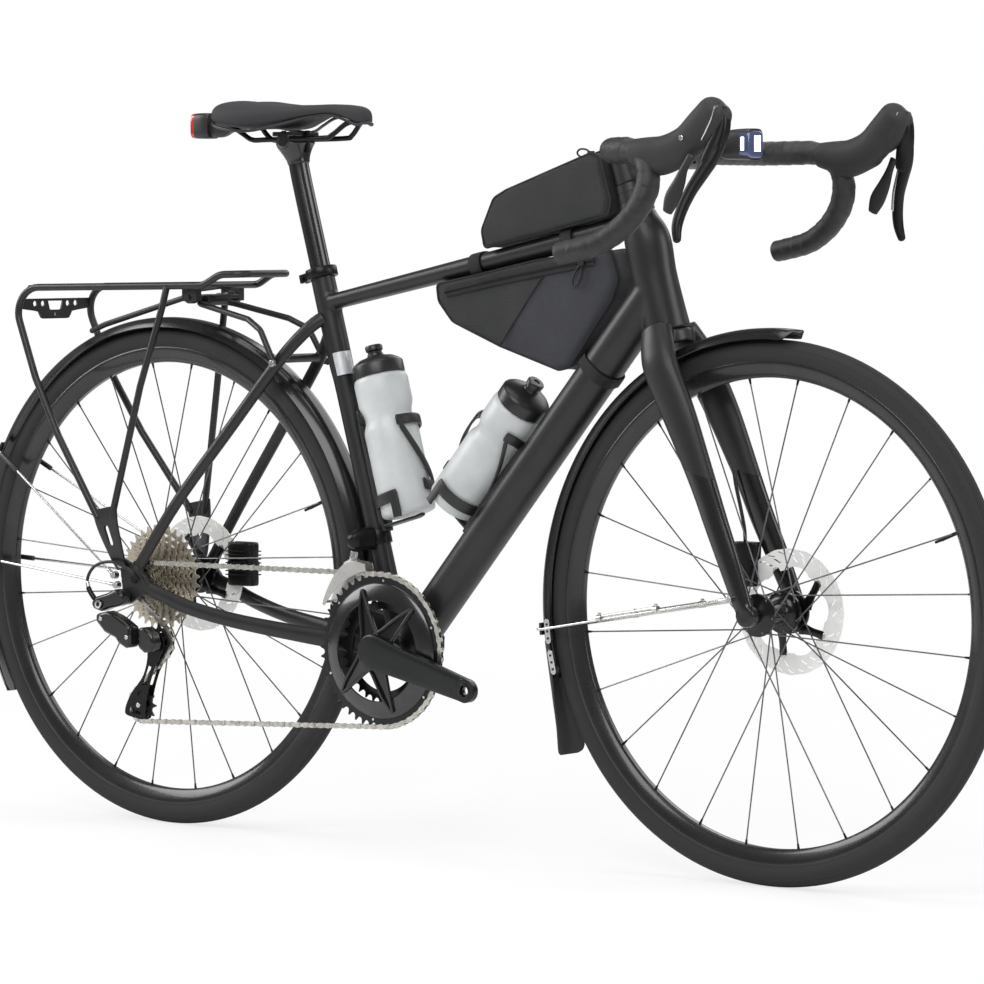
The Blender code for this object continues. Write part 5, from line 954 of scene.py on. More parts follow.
# The bike's sub-assemblies
@dataclass
class Wheel:
    """One wheel: tyre, rim, valve, spokes with nipples, hub and brake disc."""

    end: str
    centre: Vector
    left_flange: float
    right_flange: float
    hub_half: float
    disc_y: float
    tyre_middle: float = 0.327
    tyre_section: float = 0.016
    rim_inner: float = 0.295
    spokes: int = 24
    cross: float = math.radians(60.0)
    hole_radius: float = 0.0235
    flange_radius: float = 0.027
    valve_turn: float = 22.5
    casing_edge: PointXZ = (0.3118, 0.0092)
    rim_half: Outline = (
        (0.31, 0.01), (0.316, 0.0112), (0.3168, 0.012), (0.316, 0.0126), (0.313, 0.0127), (0.308, 0.0118),
        (0.301, 0.009), (0.2965, 0.0062), (0.2952, 0.0045), (0.295, 0.002),
    )
    disc_edge: float = 0.0796
    track_inner: float = 0.0525
    disc_half: float = 0.0009
    arm_start: float = 0.32
    arm_lean: float = 0.42
    lockring_profile: Outline = (
        (0.0105, 0.0), (0.0205, 0.0), (0.0212, 0.0008), (0.0205, 0.0022), (0.016, 0.003), (0.0105, 0.003),
    )
    carrier_profile: Outline = (
        (0.012, -0.0022), (0.0255, -0.0022), (0.0275, -0.0012), (0.0275, 0.0012), (0.0255, 0.0022),
        (0.012, 0.0022),
    )

    def tyre(self) -> Mesh:
        """Round casing with fine tread lines.

        Returns:
            The mesh.
        """
        turns = sorted(
            {float(t) for t in range(-120, 121, 8)}
            | {s * g + e for s in (-1, 1) for g in (9, 20, 31, 66) for e in (-1.3, 0, 1.3)}
        )
        profile = [self.casing_edge]
        for degrees in reversed(turns):
            groove = 0.0005 if abs(degrees) in (9.0, 20.0, 31.0) else 0.0
            ridge = 0.0004 if abs(degrees) == 66.0 else 0.0
            reach = self.tyre_section - groove + ridge
            turn = math.radians(degrees)
            profile.append((self.tyre_middle + reach * math.cos(turn), reach * math.sin(turn)))
        profile.append((self.casing_edge[0], -self.casing_edge[1]))
        return spun(profile, self.centre, steps=160)

    def rim(self) -> Mesh:
        """Rim with a rounded bead at each edge.

        Returns:
            The mesh.
        """
        profile = [*self.rim_half, *((radius, -y) for radius, y in reversed(self.rim_half))]
        return spun(profile, self.centre, steps=160)

    def spoke_line(self, i: int) -> tuple[Vector, Vector]:
        """Ends of one spoke, at the flange and at the rim.

        Args:
            i: the spoke's number.

        Returns:
            The two points.
        """
        side = 1.0 if i % 2 == 0 else -1.0
        lead = 1.0 if (i // 2) % 2 == 0 else -1.0
        rim_turn = (i + 0.5) * FULL_TURN / self.spokes
        hub_turn = rim_turn + lead * self.cross
        flange = self.left_flange if side > 0 else self.right_flange
        start = self.centre + Vector((
            self.hole_radius * math.cos(hub_turn), flange + lead * 0.0022,
            self.hole_radius * math.sin(hub_turn),
        ))
        reach = self.rim_inner + 0.001
        end = self.centre + Vector((reach * math.cos(rim_turn), side * 0.0022, reach * math.sin(rim_turn)))
        return start, end

    def hub(self) -> Mesh:
        """Hub shell with its flanges, seals and end caps.

        Returns:
            The mesh.
        """
        f, left, right, end = self.flange_radius, self.left_flange, self.right_flange, self.hub_half - 0.0004
        neck = 0.0185 if self.end == "front" else 0.0165
        right_neck = 0.011 if self.end == "front" else 0.0088
        profile = [
            (0.0064, end), (0.0096, end), (0.01, end - 0.0006), (0.0104, left + 0.015),
            (0.015, left + 0.0148), (neck, left + 0.013), (neck, left + 0.0042), (f - 0.005, left + 0.0032),
            (f - 0.001, left + 0.0028), (f, left + 0.0016), (f, left - 0.0016), (f - 0.001, left - 0.0028),
            (f - 0.006, left - 0.0032), (0.015, left - 0.007), (0.0128, left - 0.012),
            (0.0122, (left + right) / 2.0), (0.0128, right + 0.012), (0.015, right + 0.007),
            (f - 0.006, right + 0.0032), (f - 0.001, right + 0.0028), (f, right + 0.0016),
            (f, right - 0.0016), (f - 0.001, right - 0.0028), (f - 0.005, right - 0.0034),
            (right_neck + 0.004, right - 0.006), (right_neck, right - 0.0075), (right_neck, -end + 0.0006),
            (right_neck - 0.0006, -end), (0.0064, -end),
        ]
        return spun(profile, self.centre, steps=56)

    def disc(self, maker: Maker) -> None:
        """Brake disc: slotted track, five-armed carrier, rivets and lockring.

        Args:
            maker: makes the pieces.
        """
        x0, z0 = self.centre.x - REAR_AXLE.x, self.centre.z
        y = self.disc_y
        slots = []
        for i in range(30):
            base = 12.0 * i
            for reach, half, shift, wide in ((0.0662, 0.0036, 0.0, 0.019), (0.0748, 0.0024, 5.5, 0.016)):
                if i % 3 == 2 and reach < 0.07:
                    continue
                a, b = math.radians(base + shift - 3.2), math.radians(base + shift + 3.2)
                corners = [
                    (reach - half, a - wide), (reach - half, a + wide), (reach + half, b + wide),
                    (reach + half, b - wide),
                ]
                slots.append([round_from(x0, z0, r, t) for r, t in corners])
        edge = []
        inner = []
        for i in range(120):
            turn = FULL_TURN * i / 120
            wave = 0.0004 * math.cos(20 * turn)
            edge.append(round_from(x0, z0, self.disc_edge + wave, turn))
            bite = 0.005 * max(0.0, math.cos(5 * (turn - self.arm_start - self.arm_lean) + math.pi)) ** 0.5
            inner.append(round_from(x0, z0, self.track_inner + bite, turn))
        track = plate(edge, y - self.disc_half, y + self.disc_half, [inner, *slots])
        maker.piece(f"{self.end}_disc_track", track, DISC, [f"{self.end}_rotor"], crease=30.0, bevel=0.00015)
        arms = [spun(self.carrier_profile, self.centre + SIDE * y)]
        rivets = []
        for i in range(5):
            turn = FULL_TURN * i / 5 + self.arm_start
            tip = turn + self.arm_lean
            a = round_from(x0, z0, 0.024, turn)
            b = round_from(x0, z0, 0.056, tip)
            arms.append(skin([
                (a[0], y, a[1], 0.002, 0.009), ((a[0] + b[0]) / 2, y, (a[1] + b[1]) / 2, 0.002, 0.0052),
                (b[0], y, b[1], 0.002, 0.0058),
            ], 12, 4, square=0.6, ends="b"))
            rivet = at(b[0], y, b[1])
            rivets.append(rod(rivet - SIDE * 0.0018, rivet + SIDE * 0.0018, 0.004, sides=16))
        maker.piece(f"{self.end}_disc_carrier", arms, HUB, crease=35.0)
        maker.piece(f"{self.end}_disc_rivets", rivets, BOLT, bevel=0.0004)
        ring = spun(self.lockring_profile, self.centre + SIDE * (y + 0.0022))
        maker.piece(f"{self.end}_lockring", ring, ALLOY)

    def build(self) -> int:
        """Makes the wheel's pieces.

        Returns:
            The number of pieces.
        """
        maker = Maker(f"{self.end}_wheel")
        maker.piece(f"{self.end}_tyre_casing", self.tyre(), TYRE, [f"{self.end}_tyre"], crease=50.0)
        maker.piece(f"{self.end}_rim_hoop", self.rim(), RIM, [f"{self.end}_rim"], crease=38.0)
        bars, nipples, heads = [], [], []
        for i in range(self.spokes):
            start, end = self.spoke_line(i)
            along = (end - start).normalized()
            bars.append(tube(
                [start, start.lerp(end, 0.06), start.lerp(end, 0.94), end],
                [0.00115, 0.00095, 0.00095, 0.0011], 8, "",
            ))
            nipples.append(rod(end - along * 0.0075, end, 0.0013, 0.0019, 10))
            head = bmesh.new()
            bmesh.ops.create_uvsphere(
                head, u_segments=8, v_segments=5, radius=0.0019, matrix=Matrix.Translation(start),
            )
            heads.append(head)
        maker.piece(f"{self.end}_spokes", bars, SPOKE)
        maker.piece(f"{self.end}_nipples", nipples, ALLOY)
        maker.piece(f"{self.end}_spoke_heads", heads, SPOKE)
        turn = math.radians(self.valve_turn)
        out = outwards(turn)
        valve = tube([self.centre + out * 0.296, self.centre + out * 0.27], 0.0024, 12)
        cap = rod(self.centre + out * 0.272, self.centre + out * 0.26, 0.0022, 0.0017, 12)
        maker.piece(f"{self.end}_valve", [valve, cap], ALLOY)
        maker.piece(f"{self.end}_hub_shell", self.hub(), HUB, [f"{self.end}_hub"], crease=35.0)
        self.disc(maker)
        return maker.made


@dataclass
class FrameSet:
    """Frame tubes and stays, seat collar, reflective strip, and the rear axle."""

    down_half: float = 0.0262
    down_deep: float = 0.0272
    stay_cell: float = 0.0013
    tube_cell: float = 0.0021
    collar_at: float = 0.756
    collar_rise: float = 0.0135
    strip_radius: float = 0.017
    head_tube_rows: Rows = (
        (0.6912, 0.029, 0.029), (0.72, 0.0275, 0.029), (0.765, 0.0262, 0.0305), (0.806, 0.0262, 0.0318),
        (0.83, 0.0235, 0.0262), (0.8438, 0.0222, 0.0222),
    )
    seat_tube_rows: Rows = (
        (0.27, 0.015), (0.4, 0.0148), (0.6, 0.0148), (0.65, 0.0164), (0.7698, 0.0164),
    )
    top_tube_rows: Rows = (
        (0.282, 0.0, 0.7225, 0.015, 0.0108), (0.34, 0.0, 0.7345, 0.016, 0.0112),
        (0.624, 0.0, 0.7935, 0.0175, 0.0133), (0.795, 0.0, 0.829, 0.019, 0.0155),
    )
    seat_stay_rows: Rows = (
        (0.0045, 0.0745, 0.36, 0.0055, 0.0085), (0.07, 0.069, 0.45, 0.0064, 0.0084),
        (0.15, 0.056, 0.547, 0.0066, 0.0086), (0.229, 0.042, 0.643, 0.0066, 0.0089),
        (0.265, 0.025, 0.686, 0.0069, 0.0094), (0.285, 0.0125, 0.704, 0.0069, 0.0094),
    )
    chain_stay_rows: Rows = (
        (0.0, 0.0745, 0.337, 0.0034, 0.0104), (0.04, 0.074, 0.325, 0.0054, 0.0104),
        (0.09, 0.068, 0.308, 0.0069, 0.0104), (0.16, 0.055, 0.293, 0.0074, 0.0104),
        (0.25, 0.04, 0.281, 0.0074, 0.0114), (0.33, 0.029, 0.273, 0.0074, 0.0129),
        (0.393, 0.027, 0.268, 0.0084, 0.0139),
    )
    axle_profile: Outline = (
        (0.0, -0.007), (0.005, -0.007), (0.0057, -0.0063), (0.0057, 0.153), (0.0086, 0.1534), (0.009, 0.1542),
        (0.0086, 0.1572), (0.004, 0.1576), (0.0034, 0.1545), (0.0, 0.1545),
    )

    def main_tubes(self) -> Mesh:
        """Head, down, top and seat tubes and the bottom bracket shell, run together by smooth welds.

        Returns:
            The mesh.
        """
        axis = []
        for height, half, deep in self.head_tube_rows:
            point = steering_line(height)
            bulge = 0.0035 if height == 0.806 else 0.0
            axis.append((point.x - REAR_AXLE.x + bulge, 0.0, point.z, half, deep))
        head = skin(axis, 40)
        half, deep = self.down_half, self.down_deep
        down = skin([
            (0.413, 0.0, 0.2565, half, deep), (0.5, 0.0, 0.359, half, deep), (0.76, 0.0, 0.6655, half, deep),
            (0.83, 0.0, 0.748, half, half),
        ], 40, 8, square=0.92)
        top = skin(self.top_tube_rows, 32, 8, square=0.9)
        rows = []
        for height, radius in self.seat_tube_rows:
            point = seat_line(height)
            rows.append((point.x - REAR_AXLE.x, 0.0, point.z, radius, radius))
        seat = skin(rows, 32, 6)
        shell = rod(BOTTOM_BRACKET - SIDE * 0.0423, BOTTOM_BRACKET + SIDE * 0.0423, 0.0218, sides=40)
        return melted([head, down, top, seat, shell], self.tube_cell, 5)

    def stays(self) -> Mesh:
        """Seat stays, chain stays, bridges and dropouts.

        Returns:
            The mesh.
        """
        parts = [
            rod(at(0.374, -0.028, 0.272), at(0.374, 0.028, 0.272), 0.0085),
            rod(at(0.233, -0.042, 0.648), at(0.233, 0.042, 0.648), 0.006),
        ]
        for mirror in (True, False):
            sign = -1.0 if mirror else 1.0
            parts.append(skin(self.seat_stay_rows, 20, 6, mirror=mirror))
            parts.append(skin(self.chain_stay_rows, 20, 6, mirror=mirror))
            circles = [(0.0, AXLE_Z, 0.0168), (-0.021, 0.362, 0.0073), (0.012, AXLE_Z - 0.008, 0.0125)]
            if mirror:
                circles.append((-0.013, 0.3165, 0.0083))
            low, high = sorted((sign * 0.0708, sign * 0.0783))
            parts.append(plate(hull(circles), low, high))
        return melted(parts, self.stay_cell, 3)

    def clamp(self) -> Mesh:
        """Seat collar with its pinch bolt ears.

        Returns:
            The mesh.
        """
        low, rise = seat_line(self.collar_at), self.collar_rise
        collar = spun([
            (0.016, 0.0), (0.0208, 0.0), (0.0214, 0.0008), (0.0214, rise - 0.0008), (0.0208, rise),
            (0.016, rise),
        ], low, SEAT_DIRECTION, 48)
        ear = low + SEAT_DIRECTION * (rise / 2.0) + Vector((-0.0255, 0.0, -0.007))
        ears = [
            box(ear + SIDE * y, (0.016, 0.005, rise * 0.86), -(math.pi / 2.0 - SEAT_ANGLE))
            for y in (-0.005, 0.005)
        ]
        return joined([collar, *ears])

    def build(self) -> int:
        """Makes the frame's pieces.

        Returns:
            The number of pieces.
        """
        maker = Maker("frame")
        maker.piece("frame_tubes", self.main_tubes(), FRAME_MATTE, ["main_frame"], crease=60.0)
        maker.piece("rear_stays", self.stays(), FRAME_MATTE, ["seat_stays", "chain_stays"], crease=60.0)
        maker.piece("seat_collar", self.clamp(), ALLOY, ["seat_clamp"], bevel=0.0006)
        bolt_at = seat_line(self.collar_at) + SEAT_DIRECTION * 0.0068 + Vector((-0.0275, 0.0, -0.008))
        maker.piece(
            "seat_collar_bolt", rod(bolt_at - SIDE * 0.0105, bolt_at + SIDE * 0.0105, 0.0028), ALLOY,
            bevel=0.0004,
        )
        heads = [
            rod(at(0.2312, s * 0.055, 0.642), at(0.2312, s * 0.0573, 0.642), 0.0042) for s in (-1.0, 1.0)
        ]
        maker.piece("seat_stay_bolts", heads, ALLOY, bevel=0.0005)
        axle = spun(self.axle_profile, REAR_AXLE - SIDE * 0.074, closed=False)
        maker.piece("rear_through_axle", axle, ALLOY, ["rear_axle"])
        maker.piece("reflective_strip", self.strip(), REFLECTIVE)
        return maker.made

    def strip(self) -> Mesh:
        """Reflective strip on the back of the seat tube.

        Returns:
            The mesh.
        """
        low, high = seat_line(0.625), seat_line(0.655)

        def place(u: float, v: float) -> Vector:
            """Point of the strip.

            Args:
                u: share round the tube.
                v: share up the tube.

            Returns:
                The point.
            """
            turn = math.radians(-190.0 + 90.0 * u)
            radius = self.strip_radius + 0.0004 * v
            return low.lerp(high, v) + SEAT_BACKWARDS * (
                radius * math.cos(turn)
            ) + SIDE * (radius * math.sin(turn))

        bm = bmesh.new()
        bmesh.ops.create_grid(bm, x_segments=10, y_segments=8, size=0.5)
        for vertex in bm.verts:
            vertex.co = place(vertex.co.x + 0.5, vertex.co.y + 0.5)
        return through_modifier(bm, "SOLIDIFY", thickness=0.0006, offset=0.0)


@dataclass
class Fork:
    """Fork with its gloss lower legs, its through axle and the front brake hose."""

    cell: float = 0.0018
    gloss_below: float = 0.498
    blade_rows: Rows = (
        (0.847, 0.026, 0.696, 0.015, 0.0225), (0.8575, 0.038, 0.67, 0.014, 0.0258),
        (0.869, 0.0445, 0.645, 0.0134, 0.0264), (0.9, 0.0475, 0.5858, 0.0119, 0.0243),
        (0.935, 0.0495, 0.5098, 0.0109, 0.0194), (0.956, 0.051, 0.4607, 0.0099, 0.0179),
        (0.98, 0.0538, 0.408, 0.0089, 0.0164), (0.999, 0.0562, 0.364, 0.0074, 0.014),
        (1.0085, 0.0566, 0.344, 0.0066, 0.0128),
    )
    hose_points: Rows = (
        (0.924, 0.035, 0.516), (0.927, 0.0345, 0.5), (0.933, 0.037, 0.47), (0.938, 0.038, 0.445),
        (0.938, 0.04, 0.4283),
    )
    axle_profile: Outline = (
        (0.0, 0.0), (0.005, 0.0), (0.0057, 0.0007), (0.0057, 0.127), (0.0086, 0.1274), (0.009, 0.1282),
        (0.0086, 0.1308), (0.004, 0.1312), (0.0034, 0.128), (0.0, 0.128),
    )

    def mesh(self) -> Mesh:
        """Blades, crown and dropouts run together.

        Returns:
            The mesh.
        """
        parts = [rod(steering_line(0.674), steering_line(0.6905), 0.028, 0.0292, 40)]
        for sign in (-1.0, 1.0):
            parts.append(skin(self.blade_rows, 28, 6, ends="b", mirror=sign < 0))
            hub = FRONT_AXLE + SIDE * sign * 0.0503
            parts.append(rod(hub, hub + SIDE * sign * 0.0128, 0.015, 0.0132, 36))
        return melted(parts, self.cell, 4)

    def build(self) -> int:
        """Makes the fork's pieces.

        Returns:
            The number of pieces.
        """
        maker = Maker("steering")
        whole = self.mesh()
        copy = whole.copy()
        height = FRONT_AXLE.z + (self.gloss_below - AXLE_Z)
        for bm, clear in ((whole, False), (copy, True)):
            geom = bm.verts[:] + bm.edges[:] + bm.faces[:]
            bmesh.ops.bisect_plane(
                bm, geom=geom, plane_co=Vector((FRONT_AXLE.x, 0.0, height)),
                plane_no=Vector((0.25, 0.0, 1.0)).normalized(), clear_inner=not clear, clear_outer=clear,
            )
            edges = [edge for edge in bm.edges if edge.is_boundary]
            bmesh.ops.holes_fill(bm, edges=edges, sides=0)
        maker.piece("fork_crown_and_blades", whole, FRAME_MATTE, ["fork"], crease=60.0)
        maker.piece("fork_lower_legs", copy, GLOSS_BLACK, crease=60.0)
        axle = spun(self.axle_profile, FRONT_AXLE - SIDE * 0.063, closed=False)
        maker.piece("front_through_axle", axle, ALLOY, ["front_axle"])
        rows = list(self.hose_points)
        line = [at(*row) for row in eased(rows, 6)]
        maker.piece("front_brake_hose", tube(line, 0.0024, 12), HOSE, ["front_hose"])
        return maker.made


@dataclass
class Seat:
    """Seatpost, saddle on its rails, and the rear light."""

    stations: Rows = (
        (0.1165, 0.033, 0.984, 0.97, 0.0),
        (0.121, 0.049, 0.9895, 0.965, 0.001),
        (0.134, 0.066, 0.994, 0.96, 0.003),
        (0.164, 0.0735, 0.9945, 0.954, 0.005),
        (0.199, 0.069, 0.9908, 0.952, 0.0055),
        (0.234, 0.049, 0.9884, 0.96, 0.0055),
        (0.269, 0.031, 0.9885, 0.969, 0.004),
        (0.304, 0.0225, 0.9888, 0.972, 0.0015),
        (0.332, 0.0192, 0.9855, 0.964, 0.0),
        (0.343, 0.017, 0.9832, 0.9595, 0.0),
        (0.348, 0.0138, 0.98, 0.9598, 0.0),
        (0.3495, 0.0095, 0.9765, 0.9615, 0.0),
    )
    rail_points: Rows = (
        (0.133, -0.033, 0.963), (0.138, -0.03, 0.96), (0.153, -0.024, 0.949), (0.168, -0.022, 0.9413),
        (0.195, -0.022, 0.9413), (0.29, -0.022, 0.9425), (0.306, -0.021, 0.946), (0.324, -0.015, 0.96),
        (0.333, -0.009, 0.964), (0.337, 0.0, 0.965),
    )
    lamp_rows: Rows = (
        (0.054, 0.0, 0.9615, 0.0138, 0.0168), (0.055, 0.0, 0.9615, 0.0144, 0.0174),
        (0.076, 0.0, 0.9615, 0.0145, 0.0175), (0.078, 0.0, 0.9615, 0.0125, 0.0155),
    )
    lamp_arm_rows: Rows = (
        (0.077, 0.0, 0.957, 0.009, 0.011), (0.096, 0.0, 0.956, 0.008, 0.01),
        (0.115, 0.0, 0.958, 0.0066, 0.0044), (0.14, 0.0, 0.96, 0.006, 0.0034),
    )
    lamp_lens_rows: Rows = (
        (0.0462, 0.0, 0.9615, 0.0098, 0.0128), (0.0472, 0.0, 0.9615, 0.013, 0.0158),
        (0.0488, 0.0, 0.9615, 0.0141, 0.017), (0.0552, 0.0, 0.9615, 0.0142, 0.0171),
    )
    post_head_rows: Rows = (
        (0.231, 0.0, 0.908, 0.0135, 0.0137), (0.2295, 0.0, 0.916, 0.015, 0.0148),
        (0.227, 0.0, 0.927, 0.0215, 0.0185), (0.2255, 0.0, 0.935, 0.0265, 0.0225),
        (0.2255, 0.0, 0.939, 0.0262, 0.0222),
    )

    def saddle(self) -> Mesh:
        """Padded saddle with a soft crown, a channel and drawn-in sides.

        Returns:
            The mesh.
        """
        line = eased(self.stations, 6)
        last = len(line) - 1

        def place(u: float, v: float) -> Vector:
            """Point of the cover.

            Args:
                u: share round the saddle, from its left edge over the crown.
                v: share from back to nose.

            Returns:
                The point.
            """
            x, half, crown, edge, channel = line[round(v * last)]
            turn = FULL_TURN * (u % 1.0)
            across, up = math.cos(turn), math.sin(turn)
            drop = crown - edge
            if up >= 0.0:
                z = edge + drop * (0.28 + 0.72 * up**0.62)
                z -= channel * math.exp(-((across * half / 0.01) ** 2)) * (1.0 if abs(across) < 0.9 else 0.0)
                y = half * rounded(across, 0.8)
            else:
                z = edge + drop * 0.28 * (1.0 + up) - 0.1 * drop * up * (1.0 - abs(across))
                y = half * rounded(across, 0.72) * (1.0 - 0.05 * abs(up))
            return at(x, y, z)

        return wrapped(64, last, place)

    def shell_rim(self) -> Mesh:
        """Gloss shell that shows as a thin line under the cover.

        Returns:
            The mesh.
        """
        line = eased(self.stations, 5)
        right = [at(x, -half * 0.955, edge + 0.0006) for x, half, _, edge, _ in line]
        left = [at(x, half * 0.955, edge + 0.0006) for x, half, _, edge, _ in reversed(line)]
        return tube(right + left, 0.0021, 10, loop=True)

    def build(self) -> int:
        """Makes the seat's pieces.

        Returns:
            The number of pieces.
        """
        maker = Maker("seat")
        rows = []
        for height in (0.65, 0.78, 0.9):
            point = seat_line(height)
            rows.append((point.x - REAR_AXLE.x, 0.0, point.z, 0.0136, 0.0136))
        rows.append((0.231, 0.0, 0.92, 0.0134, 0.0136))
        head = [skin(self.post_head_rows, 36, 5, square=0.75)]
        head.append(box(at(0.225, 0.0, 0.9485), (0.038, 0.053, 0.0062)))
        head.append(rod(at(0.225, -0.0265, 0.94), at(0.225, 0.0265, 0.94), 0.01))
        maker.piece("seatpost_mast", skin(rows, 40, 5), POST_GLOSS, ["seatpost"], crease=50.0)
        maker.piece("seatpost_head", melted(head, 0.0012, 4), POST_GLOSS, crease=60.0)
        bolts = [rod(at(x, 0.0, 0.924), at(x, 0.0, 0.9535), 0.0034) for x in (0.204, 0.246)]
        maker.piece("seatpost_bolts", bolts, ALLOY, bevel=0.0004)
        cover = maker.piece("saddle_padding", self.saddle(), SADDLE, ["saddle"], crease=70.0)
        maker.piece("saddle_shell_rim", self.shell_rim(), PLASTIC)
        half = list(self.rail_points)
        rail = half + [(x, -y, z) for x, y, z in reversed(half[:-1])]
        maker.piece(
            "saddle_rail", tube([at(*row) for row in eased(rail, 6)], 0.0035, 14), ALLOY, ["saddle_rails"],
        )
        lamp = skin(self.lamp_rows, 40, 2, square=0.45)
        arm = skin(self.lamp_arm_rows, 24, 5, square=0.6)
        maker.piece("rear_light_body", [lamp, arm], PLASTIC, ["rear_light"], crease=45.0)
        lens = skin(self.lamp_lens_rows, 40, 3, square=0.45)
        maker.piece("rear_light_lens", lens, RED_LENS, crease=45.0)
        return maker.made


@dataclass
class Cockpit:
    """Spacers, stem, taped handlebar, hoods, brake levers, shift paddles and the front light."""

    wrap_pitch: float = 0.017
    half_bar: Rows = (
        (0.876, 0.0, 0.919, 0.0159), (0.876, 0.03, 0.919, 0.0159), (0.876, 0.05, 0.919, 0.0155),
        (0.876, 0.09, 0.919, 0.0155), (0.876, 0.135, 0.919, 0.0155), (0.88, 0.16, 0.919, 0.0155),
        (0.893, 0.181, 0.9195, 0.0155), (0.913, 0.1935, 0.92, 0.0155), (0.933, 0.199, 0.9195, 0.015),
        (0.953, 0.203, 0.912, 0.0132), (0.966, 0.208, 0.897, 0.0134), (0.9695, 0.212, 0.876, 0.015),
        (0.962, 0.217, 0.853, 0.015), (0.946, 0.2215, 0.832, 0.0147), (0.925, 0.2255, 0.8155, 0.0144),
        (0.898, 0.2295, 0.803, 0.0142), (0.848, 0.234, 0.7925, 0.0138),
    )
    lever_path: Rows = (
        (1.072, 0.204, 0.936, 0.006, 0.0046), (1.07, 0.2065, 0.925, 0.007, 0.008),
        (1.064, 0.212, 0.907, 0.0072, 0.0092), (1.054, 0.219, 0.888, 0.0068, 0.0086),
        (1.044, 0.2265, 0.868, 0.0062, 0.0076), (1.037, 0.2345, 0.846, 0.006, 0.007),
        (1.0345, 0.2405, 0.827, 0.0058, 0.0064), (1.037, 0.244, 0.811, 0.0045, 0.005),
    )
    hood_rows: Rows = (
        (0.94, 0.2, 0.9175, 0.0152, 0.0158), (0.962, 0.202, 0.915, 0.0168, 0.02),
        (0.99, 0.2015, 0.915, 0.0178, 0.0222), (1.02, 0.2, 0.927, 0.0182, 0.022),
        (1.042, 0.1985, 0.948, 0.018, 0.0215), (1.057, 0.197, 0.964, 0.0172, 0.0205),
    )
    hood_nose_rows: Rows = (
        (1.044, 0.199, 0.928, 0.012, 0.01), (1.06, 0.199, 0.944, 0.015, 0.015),
        (1.066, 0.1975, 0.96, 0.015, 0.016),
    )
    hood_under_rows: Rows = (
        (0.969, 0.204, 0.9, 0.014, 0.013), (0.99, 0.203, 0.903, 0.015, 0.014),
        (1.02, 0.202, 0.915, 0.015, 0.014),
    )
    spacer_profile: Outline = (
        (0.0146, 0.0), (0.0226, 0.0), (0.0222, 0.004), (0.0214, 0.012), (0.0208, 0.0124), (0.0208, 0.013),
        (0.0212, 0.0134), (0.021, 0.0245), (0.0205, 0.0249), (0.0205, 0.0255), (0.0209, 0.0259),
        (0.0205, 0.0362), (0.0146, 0.0362),
    )
    top_cap_profile: Outline = (
        (0.0, 0.0), (0.017, 0.0), (0.0174, 0.001), (0.017, 0.0028), (0.006, 0.0034), (0.0055, 0.002),
        (0.0, 0.002),
    )
    knuckle_rows: Rows = (
        (1.0745, 0.1985, 0.968, 0.007, 0.0035), (1.075, 0.1995, 0.954, 0.0085, 0.006),
        (1.072, 0.2015, 0.939, 0.0095, 0.0085), (1.066, 0.2065, 0.921, 0.0092, 0.0105),
        (1.059, 0.213, 0.902, 0.008, 0.0095),
    )
    trim_rows: Rows = (
        (1.069, 0.1985, 0.97, 0.015, 0.0012), (1.065, 0.199, 0.956, 0.0152, 0.0014),
        (1.058, 0.2, 0.942, 0.015, 0.0015), (1.05, 0.202, 0.929, 0.013, 0.0012),
    )
    paddle_rows: Rows = (
        (1.04, 0.22, 0.911, 0.002, 0.005), (1.032, 0.2225, 0.896, 0.002, 0.0055),
        (1.024, 0.2225, 0.878, 0.0024, 0.009), (1.014, 0.2225, 0.86, 0.0024, 0.0112),
        (1.007, 0.2225, 0.844, 0.0018, 0.007),
    )
    light_strap_profile: Outline = (
        (0.0162, 0.008), (0.019, 0.008), (0.0194, 0.007), (0.0194, -0.007), (0.019, -0.008), (0.0162, -0.008),
    )

    def bar(self, mirror: bool) -> Mesh:
        """Half of the handlebar with tape wound over it.

        Args:
            mirror: whether it is the right half.

        Returns:
            The mesh.
        """
        rows = eased(self.half_bar, 22)
        points = [at(x, -y if mirror else y, z) for x, y, z, _ in rows]
        run = [0.0]
        for before, after in zip(points, points[1:]):
            run.append(run[-1] + (after - before).length)
        length = run[-1]
        steps = round(length / 0.0016)
        dense, radii = [], []
        j = 0
        for k in range(steps + 1):
            goal = length * k / steps
            while j < len(run) - 2 and run[j + 1] < goal:
                j += 1
            share = (goal - run[j]) / max(run[j + 1] - run[j], 1e-9)
            dense.append(points[j].lerp(points[j + 1], share))
            radii.append(rows[j][3] + (rows[j + 1][3] - rows[j][3]) * share)
        last = steps
        frames = []
        wide = None
        for k, point in enumerate(dense):
            along = (dense[min(k + 1, last)] - dense[max(k - 1, 0)]).normalized()
            wide = along.orthogonal() if wide is None else wide
            wide = (wide - along * wide.dot(along)).normalized()
            frames.append((point, wide, along.cross(wide), radii[k]))

        def place(u: float, v: float) -> Vector:
            """Point of the tape, with its overlaps and the plug's rounded end.

            Args:
                u: share round the bar.
                v: share along it, from the stem.

            Returns:
                The point.
            """
            k = round(v * last)
            point, across, high, radius = frames[k]
            s = length * v
            turn = FULL_TURN * (u % 1.0)
            if s > 0.054:
                phase = (s / self.wrap_pitch + 0.5 * math.sin(turn)) % 1.0
                radius += 0.0007 * (phase - 0.5) - 0.0004 * math.exp(-((min(phase, 1.0 - phase) / 0.05) ** 2))
            end = length - s
            if end < 0.004:
                radius *= 0.75 + 0.25 * math.sqrt(max(0.0, 1.0 - (1.0 - end / 0.004) ** 2))
            return point + across * (radius * math.cos(turn)) + high * (radius * math.sin(turn))

        return wrapped(32, last, place)

